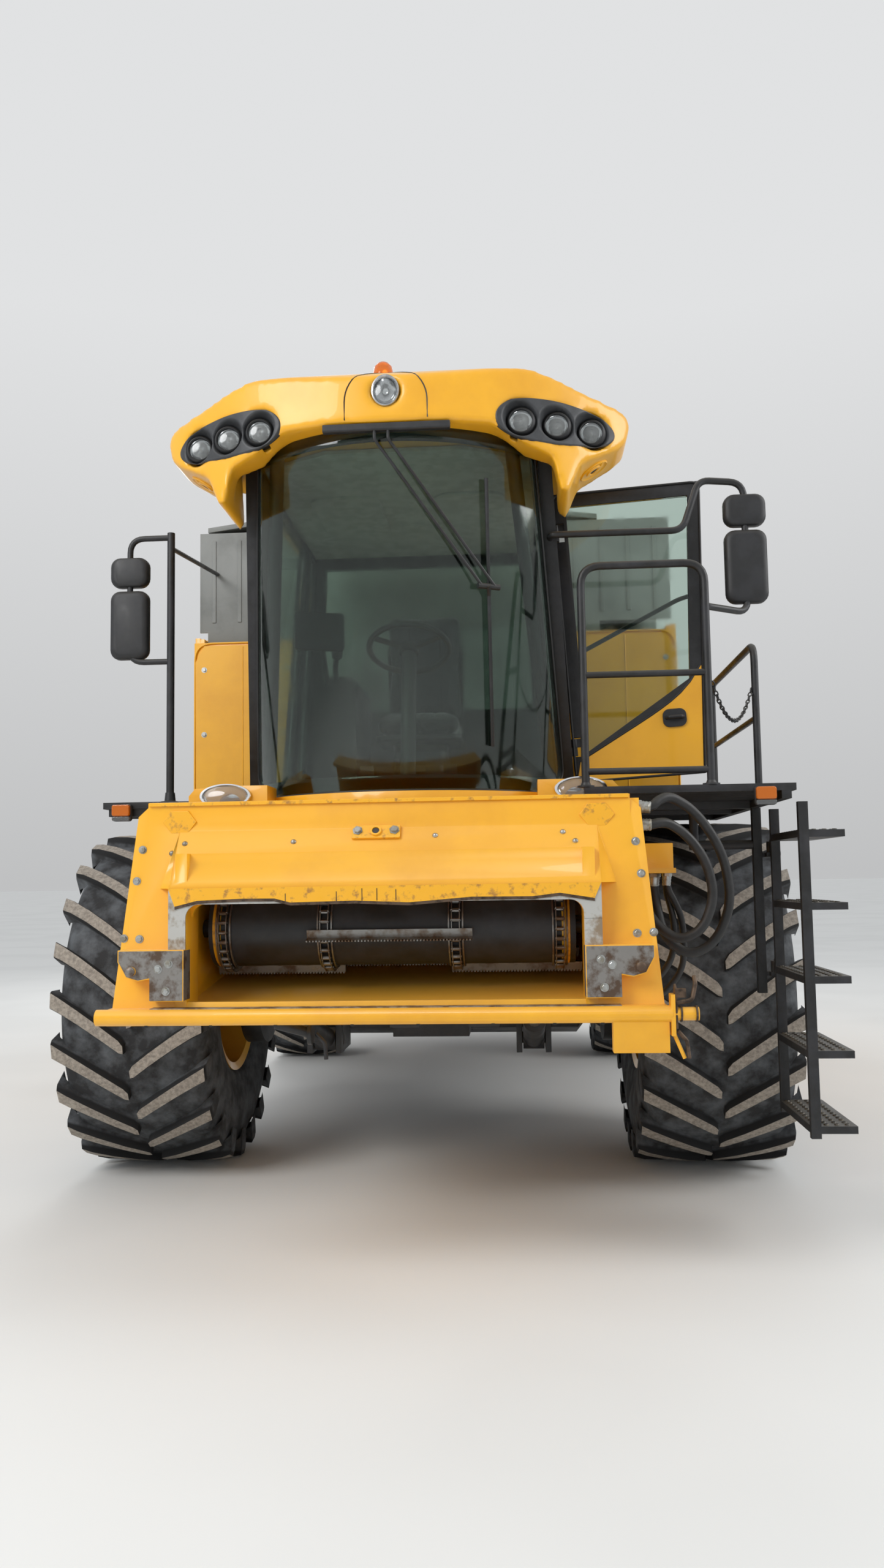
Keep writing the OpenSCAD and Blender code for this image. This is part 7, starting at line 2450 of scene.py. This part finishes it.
@dataclass
class Studio:
    """Floor, light and camera.

    Attributes:
        eye: Place of the camera.
        turn: Turn of the camera to the machine's right, in degrees.
        tilt: Its tilt up, in degrees.
        roll: Its roll, in degrees.
        lens_px: Focal length in pixels of the photograph's height.
        frame_px: The photograph's height in pixels.
    """

    eye: tuple[float, float, float] = (0.51, -8.325, 1.55)
    turn: float = 3.9
    tilt: float = 4.8
    roll: float = -0.9
    lens_px: float = 1849.0
    frame_px: float = 2560.0

    def build(self) -> None:
        """Builds the floor, the light and the camera."""
        self.floor()
        self.light()
        self.camera()

    def floor(self) -> None:
        """Lays a plain pale floor."""
        reach = 300
        slab = Shape().faces([(-reach, -reach, 0), (reach, -reach, 0), (reach, reach, 0),
                              (-reach, reach, 0)], [(0, 1, 2, 3)])
        paint = Finish("pale_studio_floor", "#e4e4e1", "#e0e0dd", Grain(2500, 0, 2), 0.4,
                       (0.7, 0.8), dust_share=0.0)
        piece = slab.object("studio_floor", paint, in_place=False)

    def light(self) -> None:
        """Sets a pale world and three large soft lamps."""
        world = bpy.data.worlds.new("studio")
        bpy.context.scene.world = world
        world.use_nodes = True
        tree = world.node_tree
        tree.nodes.clear()
        path = add_node(tree, "ShaderNodeLightPath", {}, {})
        seen = reckon(tree, "MAXIMUM", path.outputs["Is Camera Ray"], path.outputs["Is Glossy Ray"])
        shown = reckon(tree, "MAXIMUM", seen, path.outputs["Is Transmission Ray"])
        facing = add_node(tree, "ShaderNodeSeparateXYZ", {},
                          {0: add_node(tree, "ShaderNodeNewGeometry", {}, {}).outputs["Incoming"]})
        level = span(tree, reckon(tree, "ABSOLUTE", facing.outputs["Z"]), 0.0, 0.45, 0.66, 0.95)
        fill = add_node(tree, "ShaderNodeBackground", {}, {"Color": linear("#eef1f5"), "Strength": 0.8})
        back = add_node(tree, "ShaderNodeBackground", {}, {"Color": linear("#e6e7e8"), "Strength": level})
        mix = add_node(tree, "ShaderNodeMixShader", {}, {0: shown, 1: fill.outputs[0], 2: back.outputs[0]})
        add_node(tree, "ShaderNodeOutputWorld", {}, {"Surface": mix.outputs[0]})
        for name, place, aim, size, power in [
            ("key", (-5.5, -10.0, 7.5), (0, -3.5, 1.6), 5.0, 520),
            ("side", (8.5, -4.0, 6.0), (0, -1.0, 1.6), 5.0, 330),
            ("rear", (-3.0, 9.0, 8.0), (0, 1.0, 2.0), 6.0, 330),
        ]:
            lamp = bpy.data.lights.new(name, "AREA")
            lamp.shape = "DISK"
            lamp.size = size
            lamp.energy = power
            stand = linked(name, lamp)
            stand.location = place
            stand.rotation_euler = (Vector(aim) - Vector(place)).to_track_quat("-Z", "Y").to_euler()

    def camera(self) -> None:
        """Places the camera where the photograph was taken from."""
        data = bpy.data.cameras.new("photo_camera")
        data.lens = data.sensor_width * self.lens_px / self.frame_px
        data.clip_end = 900
        stand = linked("photo_camera", data)
        turned = rotation(self.turn, "Z") @ rotation(90 + self.tilt, "X")
        stand.matrix_world = Matrix.Translation(self.eye) @ turned @ rotation(self.roll, "Z")
        bpy.context.scene.camera = stand


FRAME: dict[str, Any] = {}


@dataclass
class NodeDressing:
    """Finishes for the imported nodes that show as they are.

    Attributes:
        edges: Width of the rounded edges of each node that gets a rounded copy.
    """

    edges: dict[str, float] = field(default_factory=lambda: {
        "cab_base": 0.012, "platform": 0.003, "side_panel_left": 0.012, "side_panel_right": 0.012,
        "bulkheads": 0.006, "rear_hood": 0.02, "engine_hood": 0.03, "grain_tank": 0.004, "cab_frame": 0.005,
        "chassis": 0.006, "rear_axle": 0.006, "front_axle": 0.008, "feeder_house": 0.004,
        "feeder_face": 0.004, "chopper": 0.004, "door_frame": 0.006, "ladder": 0.004,
        "tank_cover_left": 0.004, "tank_cover_right": 0.004,
    })

    def build(self) -> None:
        """Dresses each node by its slot."""
        hidden = {n for n, o in FRAME["nodes"].items() if o.hide_render}
        for sub in FRAME["record"]["subparts"]:
            if sub["node"] not in hidden:
                dressed_node(sub["node"], SLOT_FINISH[sub["material_slot"]], self.edges.get(sub["node"], 0.0))


def main() -> None:
    """Builds the dressed machine on its stage."""
    logging.basicConfig(level=logging.INFO, format="%(message)s")
    FRAME.update(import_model())
    bpy.context.scene.view_settings.view_transform = "Standard"
    for assembly in (Studio, Hoses, Wheels, Conveyor, FeederFace, Windscreen, Wiper, Roof, FrontLamps, Door,
                     SeatAndControls, AccessWays, Mirrors, BodySides, TankAndAuger, RearEnd, NodeDressing):
        LOG.info("assembly %s", assembly.__name__)
        assembly().build()


if __name__ == "__main__":
    main()
